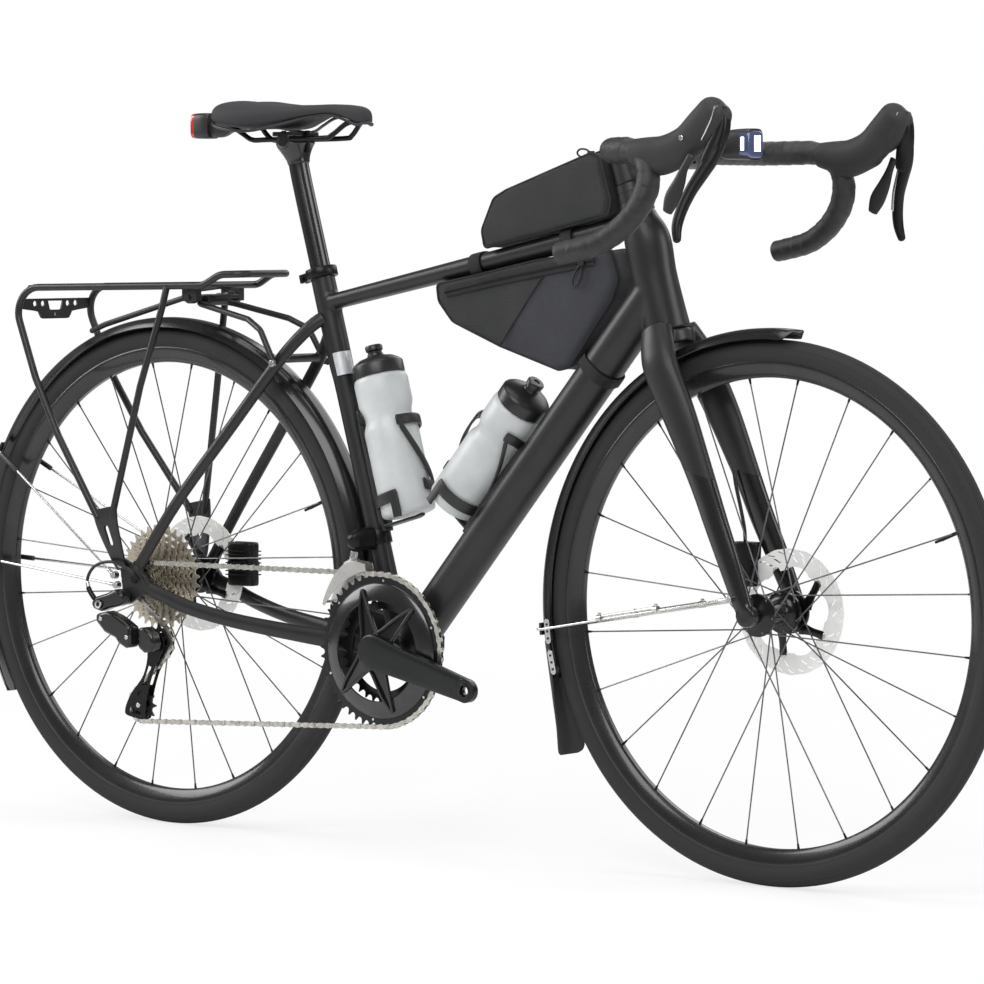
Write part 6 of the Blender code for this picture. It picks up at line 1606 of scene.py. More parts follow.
    def hood(self, mirror: bool) -> Mesh:
        """Rubber hood with its tall front horn.

        Args:
            mirror: whether it is the right hood.

        Returns:
            The mesh.
        """
        body = skin(self.hood_rows, 36, 6, square=0.88, ends="b", mirror=mirror)
        nose = skin(self.hood_nose_rows, 28, 5, ends="ab", mirror=mirror)
        under = skin(self.hood_under_rows, 28, 5, ends="ab", mirror=mirror)
        return melted([body, nose, under], 0.0014, 8)

    def lever(self, mirror: bool) -> Mesh:
        """Curved brake lever blade.

        Args:
            mirror: whether it is the right lever.

        Returns:
            The mesh.
        """
        return skin(self.lever_path, 24, 6, ends="ab", square=0.8, mirror=mirror)

    def build(self) -> int:
        """Makes the cockpit's pieces.

        Returns:
            The number of pieces.
        """
        maker = Maker("steering")
        seam = steering_line(0.844) + STEERING_DIRECTION * 0.0003
        spacer = spun(self.spacer_profile, seam, STEERING_DIRECTION)
        maker.piece("headset_spacer_stack", spacer, FRAME_MATTE, ["headset_spacers"])
        base = seam + STEERING_DIRECTION * 0.0365
        clamp = rod(base, base + STEERING_DIRECTION * 0.0425, 0.0195, sides=40)
        root = base + STEERING_DIRECTION * 0.0215
        nose = at(0.876, 0.0, 0.919)
        rows = [
            (p.x - REAR_AXLE.x, 0.0, p.z, w, d)
            for p, w, d in (
                (root, 0.0155, 0.018), (root.lerp(nose, 0.5), 0.0142, 0.0155),
                (root.lerp(nose, 0.95), 0.017, 0.017),
            )
        ]
        jaw = rod(nose - SIDE * 0.023, nose + SIDE * 0.023, 0.0215, sides=40)
        maker.piece(
            "stem_body", melted([clamp, skin(rows, 32, 8, square=0.8), jaw], 0.0014, 4), FRAME_MATTE,
            ["stem"], crease=60.0,
        )
        cap = spun(self.top_cap_profile, base + STEERING_DIRECTION * 0.0428, STEERING_DIRECTION, closed=False)
        maker.piece("stem_top_cap", cap, ALLOY)
        bolts = [
            rod(nose + Vector((0.0195, y, dz)), nose + Vector((0.0225, y, dz)), 0.003)
            for y in (-0.0165, 0.0165) for dz in (-0.012, 0.012)
        ]
        maker.piece("stem_bolts", bolts, ALLOY, bevel=0.0004)
        stands = ["handlebar"]
        for side, mirror in (("right", True), ("left", False)):
            sign = -1.0 if mirror else 1.0
            maker.piece(f"bar_tape_{side}", self.bar(mirror), TAPE, stands, crease=60.0)
            stands = []
            maker.piece(f"hood_{side}_rubber", self.hood(mirror), RUBBER, [f"hood_{side}"], crease=70.0)
            middle = at(1.024, sign * 0.201, 0.933)
            dots = [
                rod(middle + SIDE * (s * 0.016), middle + SIDE * (s * 0.0186), 0.0032) for s in (sign, -sign)
            ]
            maker.piece(f"hood_{side}_bolts", dots, BOLT, bevel=0.0006)
            lever_maker = Maker(f"brake_lever_{side}")
            lever_maker.piece(
                f"lever_{side}_blade", self.lever(mirror), ALLOY, [f"brake_lever_{side}"], crease=50.0,
            )
            edge = skin([
                (x - 0.004, y - 0.0045, z + 0.001, 0.0022, 0.0028) for x, y, z, _, _ in self.lever_path[2:-2]
            ], 12, 5, ends="ab", mirror=mirror)
            lever_maker.piece(f"lever_{side}_edge", edge, STEEL)
            knuckle = skin(self.knuckle_rows, 24, 6, square=0.7, ends="ab", mirror=mirror)
            lever_maker.piece(f"lever_{side}_knuckle", knuckle, ALLOY, crease=50.0)
            trim = skin(self.trim_rows, 16, 5, square=0.5, ends="ab", mirror=mirror)
            maker.piece(f"hood_{side}_trim", trim, STEEL)
            paddle_maker = Maker(f"shift_paddle_{side}")
            paddle = skin(self.paddle_rows, 24, 6, square=0.8, ends="ab", mirror=mirror)
            paddle_maker.piece(f"paddle_{side}_blade", paddle, PLASTIC, [f"shift_paddle_{side}"], crease=50.0)
            maker.made += lever_maker.made + paddle_maker.made
        self.light(maker)
        return maker.made

    def light(self, maker: Maker) -> None:
        """Front light on its bar strap, with two lit squares behind the lens.

        Args:
            maker: makes the pieces.
        """
        y = 0.038
        body = skin([
            (0.905, y, 0.9275, 0.014, 0.015), (0.912, y, 0.928, 0.0158, 0.018),
            (0.93, y, 0.9288, 0.017, 0.0195), (0.95, y, 0.929, 0.017, 0.02), (0.9518, y, 0.929, 0.016, 0.019),
        ], 40, 4, square=0.5)
        foot = box(at(0.9, y, 0.924), (0.016, 0.015, 0.016))
        maker.piece("front_light_body", [body, foot], PLASTIC, ["front_light"], crease=45.0, bevel=0.0008)
        strap = spun(self.light_strap_profile, at(0.876, y, 0.919))
        maker.piece("front_light_strap", strap, RUBBER)
        lens = skin([
            (0.94, y, 0.929, 0.0172, 0.0176), (0.951, y, 0.929, 0.0171, 0.0176),
            (0.9532, y, 0.929, 0.016, 0.017), (0.954, y, 0.929, 0.0136, 0.015),
        ], 40, 3, square=0.4)
        maker.piece("front_light_lens", lens, LENS, crease=45.0)
        squares = [
            box(at(0.9534, y + 0.003, 0.93), (0.0026, 0.013, 0.02)),
            box(at(0.945, y - 0.0166, 0.9295), (0.005, 0.002, 0.017)),
        ]
        maker.piece("front_light_leds", squares, LIT, bevel=0.0006)


@dataclass
class ChainLine:
    """Chain line round the large ring, the two pulleys and the smallest cog, counted in links."""

    pitch: float = 0.0127
    ring_teeth: int = 50
    cog_teeth: int = 11
    pulley_teeth: int = 11
    links: int = 114
    ring_y: float = -0.044
    cog_y: float = -0.064
    guide: PointXZ = (0.034, 0.258)

    def __post_init__(self) -> None:
        """Lays out the sprockets as (centre, teeth, turn, y), then the arcs and the straight runs."""
        tension = middle_of("tension_pulley")
        self.wheels: list[Sprocket] = [
            ((BB_X, BB_Z), self.ring_teeth, -1, self.ring_y),
            ((tension.x - REAR_AXLE.x, tension.z), self.pulley_teeth, -1, self.cog_y),
            (self.guide, self.pulley_teeth, 1, self.cog_y),
            ((0.0, AXLE_Z), self.cog_teeth, -1, self.cog_y),
        ]
        self.pieces = []
        count = len(self.wheels)
        touches = [self.tangent(self.wheels[i], self.wheels[(i + 1) % count]) for i in range(count)]
        for i in range(count):
            centre, teeth, turn, _ = self.wheels[i]
            arrive, leave = touches[i - 1][1], touches[i][0]
            start = math.atan2(arrive[1] - centre[1], arrive[0] - centre[0])
            end = math.atan2(leave[1] - centre[1], leave[0] - centre[0])
            sweep = (turn * (end - start)) % FULL_TURN
            self.pieces.append(("arc", i, start, sweep, sweep * teeth / FULL_TURN))
            far = touches[i][1]
            self.pieces.append(("run", i, leave, far, math.dist(far, leave) / self.pitch))
        self.length = sum(piece[4] for piece in self.pieces)

    def radius(self, teeth: int) -> float:
        """Radius of the circle of pins round a sprocket."""
        return self.pitch / (2.0 * math.sin(math.pi / teeth))

    def tangent(self, first: Sprocket, second: Sprocket) -> tuple[PointXZ, PointXZ]:
        """Points where a straight run leaves one sprocket and reaches the next.

        Args:
            first: the sprocket it leaves.
            second: the sprocket it reaches.

        Returns:
            The two points.
        """
        (ax, az), teeth_a, turn_a, _ = first
        (bx, bz), teeth_b, turn_b, _ = second
        ra, rb = self.radius(teeth_a) * turn_a, self.radius(teeth_b) * turn_b
        span = math.hypot(bx - ax, bz - az)
        heading = math.atan2(bz - az, bx - ax) + math.asin((ra - rb) / span)
        nx, nz = math.sin(heading), -math.cos(heading)
        return (ax + nx * ra, az + nz * ra), (bx + nx * rb, bz + nz * rb)

    def point(self, links: float) -> tuple[Vector, float]:
        """Place and heading of the chain line, a count of links from its start.

        Args:
            links: the count.

        Returns:
            The point and the heading.
        """
        left = (links * self.length / self.links) % self.length
        for kind, i, start, end, size in self.pieces:
            if left <= size:
                break
            left -= size
        centre, teeth, turn, y = self.wheels[i]
        if kind == "arc":
            angle = start + turn * left * FULL_TURN / teeth
            reach = self.radius(teeth)
            place = at(centre[0] + reach * math.cos(angle), y, centre[1] + reach * math.sin(angle))
            return place, angle + turn * math.pi / 2.0
        share = left / size
        leaning = min(max((share - 0.08) / 0.84, 0.0), 1.0)
        y += (self.wheels[(i + 1) % len(self.wheels)][3] - y) * leaning
        place = at(start[0] + (end[0] - start[0]) * share, y, start[1] + (end[1] - start[1]) * share)
        return place, math.atan2(end[1] - start[1], end[0] - start[0])

    def tooth_phase(self, wheel: int) -> float:
        """Angle of a tooth of this sprocket, half a link on from a pin that lies on it.

        Args:
            wheel: the sprocket's place along the chain line.

        Returns:
            The angle, in radians.
        """
        done = 0.0
        for kind, i, start, _, size in self.pieces:
            if kind == "arc" and i == wheel:
                ahead = math.ceil(done) - done + 0.5
                return start + self.wheels[i][2] * ahead * FULL_TURN / self.wheels[i][1]
            done += size
        return 0.0

    def teeth(self, centre: PointXZ, count: int, phase: float, blunt: float = 0.0008) -> list[PointXZ]:
        """Edge of a sprocket with round valleys for the rollers.

        Args:
            centre: its centre, as (x, z).
            count: its teeth.
            phase: angle of one tooth.
            blunt: half width of a tooth's tip.

        Returns:
            The outline.
        """
        reach = self.radius(count)
        step = FULL_TURN / count
        edge = []
        for i in range(count):
            tooth = phase + i * step
            for side in (-1.0, 1.0):
                turn = tooth + side * blunt / reach
                edge.append((turn, reach + 0.0032))
            seat = tooth + step / 2.0
            for degrees in (-62.0, -31.0, 0.0, 31.0, 62.0):
                swing = math.radians(degrees)
                px = reach - 0.004 * math.cos(swing)
                pz = 0.004 * math.sin(swing)
                edge.append((seat + math.atan2(pz, px), math.hypot(px, pz)))
        return [round_from(*centre, r, t) for t, r in edge]


@dataclass
class Drivetrain:
    """Chain, cassette, chainrings, cranks and both derailleurs."""

    crank_angle: float = math.radians(-14.0)
    crank_length: float = 0.17
    cogs: tuple[int, ...] = (11, 12, 13, 14, 15, 17, 19, 21, 24, 27, 30, 34)
    spacing: float = 0.0035
    inner_teeth: int = 34
    inner_y: float = -0.0372
    ring_half: float = 0.0009
    pin_reach: float = 0.093
    arm_rows: Rows = (
        (-0.1, 0.06, 0.017, 0.006), (0.0, 0.0618, 0.0235, 0.007), (0.25, 0.064, 0.0205, 0.0074),
        (0.75, 0.068, 0.0172, 0.0068), (1.0, 0.07, 0.0156, 0.0062),
    )
    spider_web_rows: Rows = (
        (0.015, -0.059, 0.002, 0.015), (0.03, -0.057, 0.0016, 0.0115), (0.052, -0.055, 0.0014, 0.008),
        (0.069, -0.0535, 0.0012, 0.0055), (0.08, -0.0515, 0.001, 0.002),
    )
    crank_cap_profile: Outline = (
        (0.0, 0.0672), (0.0105, 0.0672), (0.012, 0.0666), (0.0122, 0.0655), (0.0, 0.0655),
    )
    spider_rib_rows: Rows = (
        (0.018, 0.014, -0.06), (0.03, 0.0112, -0.0592), (0.046, 0.0086, -0.0582), (0.064, 0.0056, -0.0565),
        (0.083, 0.0008, -0.052),
    )
    cage_front: Outline = (
        (-0.012, 0.005), (-0.002, 0.0135), (0.012, 0.0125), (0.03, 0.0068), (0.052, 0.006), (0.072, 0.0128),
        (0.085, 0.018), (0.1, 0.0208), (0.111, 0.0205), (0.116, 0.017),
    )
    cage_back: Outline = (
        (0.115, 0.006), (0.1105, -0.013), (0.105, -0.016), (0.097, -0.0145), (0.08, -0.0105),
        (0.055, -0.0085), (0.03, -0.01), (0.012, -0.014), (-0.002, -0.014), (-0.012, -0.006),
    )
    mech_body_outline: Outline = (
        (-0.004, 0.3235), (-0.02, 0.329), (-0.036, 0.3225), (-0.056, 0.317), (-0.063, 0.309),
        (-0.059, 0.3005), (-0.046, 0.2975), (-0.03, 0.303), (-0.015, 0.306), (-0.005, 0.3095),
    )
    cable_points: Rows = (
        (0.013, -0.085, 0.344), (0.002, -0.09, 0.356), (-0.028, -0.093, 0.366), (-0.058, -0.093, 0.36),
        (-0.073, -0.093, 0.344), (-0.07, -0.095, 0.328), (-0.06, -0.095, 0.315),
    )
    mech_link_outline: Outline = (
        (-0.049, 0.2945), (-0.03, 0.2988), (-0.013, 0.2935), (0.001, 0.2865), (0.0138, 0.279),
        (0.0138, 0.252), (0.005, 0.25), (-0.008, 0.256), (-0.014, 0.263), (-0.034, 0.27), (-0.049, 0.284),
    )
    mech_knuckle_outline: Outline = (
        (0.018, 0.278), (0.029, 0.279), (0.043, 0.27), (0.0485, 0.257), (0.043, 0.246), (0.029, 0.244),
        (0.018, 0.251),
    )
    bolt_ring_profile: Outline = (
        (0.003, 0.0), (0.0058, 0.0), (0.006, -0.0006), (0.0056, -0.0016), (0.0034, -0.0018), (0.003, -0.001),
    )
    mech_band_profile: Outline = (
        (0.0151, -0.009), (0.0172, -0.009), (0.0176, -0.008), (0.0176, 0.008), (0.0172, 0.009),
        (0.0151, 0.009),
    )

    def __post_init__(self) -> None:
        """Lays out the chain line."""
        self.line = ChainLine()

    def chain(self) -> Mesh:
        """Chain of inner and outer links with waisted plates, rollers and riveted pins.

        Returns:
            The mesh.
        """
        bm = bmesh.new()
        bm.loops.layers.uv.new("UVMap")
        half = self.line.pitch / 2.0
        for k in range(self.line.links):
            first, _ = self.line.point(float(k))
            second, _ = self.line.point(float(k + 1))
            along = (second - first).normalized()
            up = SIDE.cross(along).normalized() * -1.0
            side = along.cross(up)
            middle = (first + second) / 2.0
            outer = k % 2 == 0
            near, far = (0.00185, 0.00258) if outer else (0.00115, 0.00178)
            edge = []
            for end in (1.0, -1.0):
                for degrees in (-75.0, -38.0, 0.0, 38.0, 75.0):
                    turn = math.radians(degrees)
                    edge.append((end * (half + 0.0038 * math.cos(turn)), end * 0.0038 * math.sin(turn)))
                edge.append((0.0, end * 0.0025))
            for sign in (-1.0, 1.0):
                rings = []
                for y in (near, far):
                    rings.append(
                        [bm.verts.new(middle + along * a + up * b + side * (sign * y)) for a, b in edge]
                    )
                count = len(edge)
                for i in range(count):
                    j = (i + 1) % count
                    bm.faces.new((rings[0][i], rings[0][j], rings[1][j], rings[1][i]))
                bm.faces.new(rings[1])
                bm.faces.new(list(reversed(rings[0])))
            matrix = Matrix.Translation(first) @ side.to_track_quat("Z", "Y").to_matrix().to_4x4()
            for size, span in ((0.0036, 0.0022), (0.0016, 0.0055)):
                bmesh.ops.create_cone(
                    bm, cap_ends=True, segments=8, radius1=size, radius2=size, depth=span, matrix=matrix
                )
        return bm

    def cassette(self, maker: Maker) -> None:
        """Twelve toothed cogs with windows, the spider and the lockring.

        Args:
            maker: makes the pieces.
        """
        plates = []
        for i, teeth in enumerate(self.cogs):
            y = self.line.cog_y + self.spacing * i
            phase = self.line.tooth_phase(3) if i == 0 else math.radians(7.0 * i)
            edge = self.line.teeth((0.0, AXLE_Z), teeth, phase, 0.0009)
            holes = [circle(0.0, AXLE_Z, 0.0135, 32)]
            reach = self.line.radius(teeth)
            if teeth >= 17:
                for k in range(6):
                    a = phase + FULL_TURN * k / 6
                    low, high = max(0.0225, reach - 0.023), reach - 0.0085
                    if high - low < 0.004:
                        continue
                    window = []
                    for r, d in (
                        (low, -0.3), (low, 0.3), (high, 0.4), (high, 0.13), (high, -0.13), (high, -0.4),
                    ):
                        window.append((r * math.cos(a + d), AXLE_Z + r * math.sin(a + d)))
                    holes.append(window)
            plates.append(plate(edge, y - 0.0007, y + 0.0007, holes))
        maker.piece("cassette_cogs", plates, COG, ["cassette"], crease=30.0)
        low = self.line.cog_y
        core = spun([
            (0.012, low - 0.0012), (0.018, low + 0.002), (0.0195, low + 0.0175), (0.0225, low + 0.021),
            (0.0225, low + 0.0385), (0.012, low + 0.0385),
        ], REAR_AXLE)
        maker.piece("cassette_carrier", core, HUB)
        ring = [
            (0.0105, low - 0.0028), (0.015, low - 0.0028), (0.016, low - 0.002), (0.0165, low - 0.001),
            (0.0105, low - 0.001),
        ]
        maker.piece("cassette_lockring", spun(ring, REAR_AXLE, steps=36), ALLOY)

    def rings(self, maker: Maker) -> None:
        """Both chainrings with their pins and the dished gloss band.

        Args:
            maker: makes the pieces.
        """
        centre = (BB_X, BB_Z)
        y = self.line.ring_y
        edge = self.line.teeth(centre, self.line.ring_teeth, self.line.tooth_phase(0))
        outer = plate(edge, y - self.ring_half, y + self.ring_half, [circle(BB_X, BB_Z, 0.087, 96)])
        maker.piece("outer_ring_teeth", outer, CRANK, ["chainring_outer"], crease=30.0, bevel=0.00018)
        band = [
            (0.0875, y + 0.001), (0.0905, y - 0.0008), (0.0905, y - 0.0016), (0.0895, y - 0.003),
            (0.0868, y - 0.0046), (0.078, y - 0.0078), (0.07, y - 0.0098), (0.0672, y - 0.0101),
            (0.0664, y - 0.0094), (0.0668, y - 0.0078), (0.076, y - 0.005), (0.085, y - 0.001),
        ]
        maker.piece("outer_ring_band", spun(band, BOTTOM_BRACKET, steps=128), BAND, crease=32.0)
        lip = [(0.0664, y - 0.01), (0.067, y - 0.0106), (0.0676, y - 0.0103), (0.067, y - 0.0098)]
        maker.piece("outer_ring_edge", spun(lip, BOTTOM_BRACKET, steps=96), ALLOY)
        pins = []
        for degrees in (22.0, 87.0, 140.0, 202.0, 262.0, 322.0):
            turn = math.radians(degrees)
            p = BOTTOM_BRACKET + outwards(turn) * self.pin_reach + SIDE * y
            pins.append(rod(p - SIDE * 0.0014, p + SIDE * 0.0014, 0.0017, sides=12))
        maker.piece("outer_ring_pins", pins, BOLT)
        edge = self.line.teeth(centre, self.inner_teeth, 0.0)
        inner = plate(
            edge, self.inner_y - self.ring_half, self.inner_y + self.ring_half,
            [circle(BB_X, BB_Z, 0.0545, 72)],
        )
        maker.piece("inner_ring_teeth", inner, CRANK, ["chainring_inner"], crease=30.0, bevel=0.00018)

    def arm(self, side: float, boss: float) -> Mesh:
        """Crank arm with its boss and the threaded eye for a pedal.

        Args:
            side: -1 for the right crank and 1 for the left.
            boss: radius of the boss.

        Returns:
            The mesh.
        """
        way = outwards(self.crank_angle) * (-side)
        rows = []
        for share, y, wide, thick in self.arm_rows:
            p = BOTTOM_BRACKET + way * (self.crank_length * share)
            rows.append((p.x - REAR_AXLE.x, side * y, p.z, thick, wide))
        bar = skin(rows, 48, 8, square=0.3)
        eye = BOTTOM_BRACKET + way * self.crank_length
        end = rod(eye + SIDE * side * 0.064, eye + SIDE * side * 0.076, 0.0156, sides=48)
        hub = rod(BOTTOM_BRACKET + SIDE * side * 0.043, BOTTOM_BRACKET + SIDE * side * 0.0672, boss, sides=48)
        whole = melted([bar, end, hub], 0.0011, 2)
        return cut(whole, rod(eye + SIDE * side * 0.055, eye + SIDE * side * 0.085, 0.0071, sides=32))

    def cranks(self, maker: Maker) -> None:
        """Both cranks, the spider arms, the pedal eyes' rims, the cap and the bracket's cups.

        Args:
            maker: makes the pieces.
        """
        maker.piece("crank_right_arm", self.arm(-1.0, 0.0215), CRANK, ["crank_right"], crease=50.0)
        maker.piece("crank_left_arm", self.arm(1.0, 0.019), CRANK, ["crank_left"], crease=50.0)
        arms = []
        for degrees in (58.0, 122.0, 238.0, 302.0):
            turn = self.crank_angle + math.radians(degrees)
            rows = []
            for reach, y, wide, thick in self.spider_web_rows:
                rows.append((BB_X + reach * math.cos(turn), y, BB_Z + reach * math.sin(turn), wide, thick))
            arms.append(skin(rows, 16, 6, square=0.5, ends="b"))
            for lean in (-1.0, 1.0):
                rows = []
                for reach, offset, y in self.spider_rib_rows:
                    spot = outwards(turn) * reach
                    spot += Vector((-math.sin(turn), 0.0, math.cos(turn))) * (lean * offset)
                    rows.append((BB_X + spot.x, y, BB_Z + spot.z, 0.0026, 0.0021))
                arms.append(skin(rows, 16, 6, square=0.6, ends="b"))
        maker.piece("crank_spider_arms", arms, GLOSS_BLACK, crease=50.0)
        rims = []
        for side in (-1.0, 1.0):
            way = outwards(self.crank_angle) * (-side)
            eye = BOTTOM_BRACKET + way * self.crank_length
            for y, out in ((side * 0.0764, side), (side * 0.0636, -side)):
                rims.append(spun([
                    (0.0052, y - out * 0.006), (0.0098, y - out * 0.0006), (0.01, y),
                    (0.0092, y + out * 0.0003), (0.0072, y), (0.0052, y - out * 0.003),
                ], eye, steps=40))
        maker.piece("pedal_eye_rims", rims, HUB)
        cap = spun(self.crank_cap_profile, BOTTOM_BRACKET, closed=False)
        maker.piece("crank_cap", cap, ALLOY)
        cups = [
            spun([
                (0.016, s * 0.0424), (0.0212, s * 0.0424), (0.0216, s * 0.0428), (0.021, s * 0.0434),
                (0.016, s * 0.0434),
            ], BOTTOM_BRACKET)
            for s in (-1.0, 1.0)
        ]
        maker.piece("bracket_cups", cups, ALLOY)

    def pulley(self, centre: PointXZ, wheel: int) -> Mesh:
        """Jockey wheel with five windows.

        Args:
            centre: its centre, as (x, z).
            wheel: its place along the chain line.

        Returns:
            The mesh.
        """
        y = self.line.cog_y
        phase = self.line.tooth_phase(wheel)
        holes = [circle(*centre, 0.0056, 20)]
        for k in range(5):
            a = phase + FULL_TURN * k / 5
            holes.append([
                round_from(*centre, r, a + d)
                for r, d in ((0.0078, -0.3), (0.0078, 0.3), (0.0138, 0.42), (0.0142, 0.0), (0.0138, -0.42))
            ])
        edge = self.line.teeth(centre, self.line.pulley_teeth, phase, 0.0007)
        return plate(edge, y - 0.001, y + 0.001, holes)

    def rear_mech(self) -> int:
        """Rear derailleur with its cable.

        Returns:
            The number of pieces.
        """
        fixed = Maker("frame")
        body = plate(self.mech_body_outline, -0.0985, -0.079)
        fixed.piece("mech_body_shell", body, GLOSS_BLACK, ["mech_body"], crease=50.0, bevel=0.0034)
        bolt = rod(at(-0.013, -0.0905, 0.3165), at(-0.013, -0.096, 0.3165), 0.0078, sides=24)
        fixed.piece("mech_hanger_bolt", bolt, ALLOY, bevel=0.0008)
        route = eased(self.cable_points, 8)
        fixed.piece("gear_cable_housing", tube([at(*p) for p in route], 0.0022, 12), HOSE, ["gear_cable"])
        fixed.piece("gear_cable_ferrule", tube([at(*p) for p in route[-13:-9]], 0.0027, 14), BOLT)
        ends = [tube([at(*p) for p in route[-9:]], 0.0036, 14), tube([at(*p) for p in route[:6]], 0.003, 14)]
        fixed.piece("gear_cable_barrels", ends, ALLOY)
        rings = [
            spun(self.bolt_ring_profile, at(x, y, z), steps=28)
            for x, y, z in ((-0.013, -0.095, 0.3165), (-0.047, -0.1005, 0.3075))
        ]
        fixed.piece("mech_bolt_rings", rings, BOLT)
        swing = Maker("mech_link")
        link = plate(self.mech_link_outline, -0.104, -0.083)
        swing.piece("mech_link_plate", link, GLOSS_BLACK, ["mech_link"], crease=50.0, bevel=0.0036)
        ribs = [
            rod(at(x, -0.103, z), at(x, -0.105, z), 0.003, sides=16)
            for x, z in ((-0.04, 0.288), (0.008, 0.265))
        ]
        swing.piece("mech_link_rivets", ribs, BOLT, bevel=0.0005)
        knee = Maker("mech_knuckle")
        knuckle = plate(self.mech_knuckle_outline, -0.093, -0.074)
        knee.piece("mech_knuckle_shell", knuckle, GLOSS_BLACK, ["mech_knuckle"], crease=50.0, bevel=0.0036)
        cage = Maker("mech_cage")
        gx, gz = self.line.guide
        (tx, tz), _, _, y = self.line.wheels[1]
        down = Vector((tx - gx, tz - gz)).normalized()
        aside = Vector((down.y, -down.x))

        def spot(along: float, across: float) -> PointXZ:
            """Point of the cage from the guide pulley, along the line of the pulleys and across it."""
            return gx + down.x * along + aside.x * across, gz + down.y * along + aside.y * across

        edge = eased([*self.cage_front, *self.cage_back, self.cage_front[0]], 4)[:-1]
        outline = [spot(*row) for row in edge]
        slot = [spot(*row) for row in ((0.036, 0.0022), (0.036, -0.0036), (0.064, -0.0036), (0.066, 0.003))]
        eye = [spot(*row) for row in ((0.078, 0.0075), (0.074, 0.0015), (0.084, 0.005))]
        toe = [spot(*row) for row in ((0.1035, 0.014), (0.1105, 0.013), (0.107, -0.008), (0.1025, -0.0075))]
        outer = plate(outline, y - 0.0085, y - 0.0066, [slot, eye, toe])
        sides = [outer, plate(outline, y + 0.0046, y + 0.0059, [slot])]
        pins = [rod(at(x, y - 0.008, z), at(x, y + 0.0055, z), 0.0042) for x, z in ((gx, gz), (tx, tz))]
        cage.piece("mech_cage_plates", sides + pins, ALLOY, ["mech_cage"], crease=35.0, bevel=0.0003)
        heads = [
            rod(at(x, y - 0.0084, z), at(x, y - 0.0098, z), 0.0038, 0.0032) for x, z in ((gx, gz), (tx, tz))
        ]
        cage.piece("pulley_bolts", heads, BOLT, bevel=0.0004)
        upper, lower = Maker("guide_pulley"), Maker("tension_pulley")
        upper.piece("guide_pulley_wheel", self.pulley((gx, gz), 2), PLASTIC, ["guide_pulley"], crease=30.0)
        lower.piece(
            "tension_pulley_wheel", self.pulley((tx, tz), 1), PLASTIC, ["tension_pulley"], crease=30.0,
        )
        return sum(maker.made for maker in (fixed, swing, knee, cage, upper, lower))

    def sweep(self, stations: Sequence[Row], y_low: float, y_high: float) -> Mesh:
        """Plate along an arc round the bottom bracket.

        Args:
            stations: (degrees, inner radius, outer radius) rows.
            y_low: right face.
            y_high: left face.

        Returns:
            The mesh.
        """
        line = eased(stations, 6)
        inner = [round_from(BB_X, BB_Z, low, math.radians(degrees)) for degrees, low, _ in line]
        outer = [round_from(BB_X, BB_Z, high, math.radians(degrees)) for degrees, _, high in reversed(line)]
        return plate(inner + outer, y_low, y_high)

    def front_mech(self) -> int:
        """Front derailleur with its silver cage.

        Returns:
            The number of pieces.
        """
        fixed, moving = Maker("frame"), Maker("front_mech_cage")
        root = seat_line(0.411)
        x, z = root.x - REAR_AXLE.x, root.z
        body = skin([
            (x, -0.015, z, 0.015, 0.012), (x - 0.004, -0.025, z, 0.0148, 0.0118),
            (x - 0.008, -0.0395, z - 0.002, 0.0118, 0.0108),
        ], 28, 6, side=UP, square=0.55, ends="b")
        fixed.piece("front_mech_body", body, ALLOY, ["front_mech"], crease=55.0)
        band = spun(self.mech_band_profile, root, SEAT_DIRECTION)
        fixed.piece("front_mech_band", band, ALLOY)
        pins = [
            rod(at(x - 0.01, -0.04, z + dz), at(x - 0.01, -0.0432, z + dz), 0.003) for dz in (-0.006, 0.005)
        ]
        fixed.piece("front_mech_pivots", pins, BOLT, bevel=0.0004)
        rim = self.line.radius(self.line.ring_teeth)
        low = rim + 0.0057
        rows = [
            (101.0, low, rim + 0.015), (112.0, low, rim + 0.025), (122.0, low, rim + 0.024),
            (138.0, low, rim + 0.0158), (149.0, low + 0.001, rim + 0.0104),
        ]
        inside = [(degrees, a - 0.007, b) for degrees, a, b in rows]
        parts = [self.sweep(rows, -0.0513, -0.0501), self.sweep(inside, -0.0349, -0.0337)]
        turn = math.radians(114.0)
        top = BOTTOM_BRACKET + outwards(turn) * (rim + 0.0262)
        parts.append(box(top + SIDE * -0.0425, (0.015, 0.0172, 0.0022), math.pi / 2.0 - turn))
        turn = math.radians(147.0)
        tail = BOTTOM_BRACKET + outwards(turn) * (rim + 0.01)
        parts.append(rod(tail + SIDE * -0.0508, tail + SIDE * -0.0343, 0.0018, sides=12))
        foot = top + SIDE * -0.039
        head = root + Vector((-0.01, -0.038, -0.0165))
        parts.append(skin([
            (p.x - REAR_AXLE.x, p.y, p.z, w, d)
            for p, w, d in (
                (foot, 0.0038, 0.0062), (foot.lerp(head, 0.5), 0.0036, 0.0058), (head, 0.0034, 0.0056),
            )
        ], 20, 4, square=0.7))
        moving.piece("front_mech_cage_plates", parts, STEEL, ["front_mech_cage"], crease=35.0, bevel=0.0003)
        return fixed.made + moving.made

    def build(self) -> int:
        """Makes the drivetrain's pieces.

        Returns:
            The number of pieces.
        """
        fixed, cogs, crank = Maker("frame"), Maker("cassette"), Maker("crankset")
        fixed.piece("chain_links", self.chain(), CHAIN_STEEL, ["chain"], crease=35.0)
        self.cassette(cogs)
        self.rings(crank)
        self.cranks(crank)
        return fixed.made + cogs.made + crank.made + self.rear_mech() + self.front_mech()


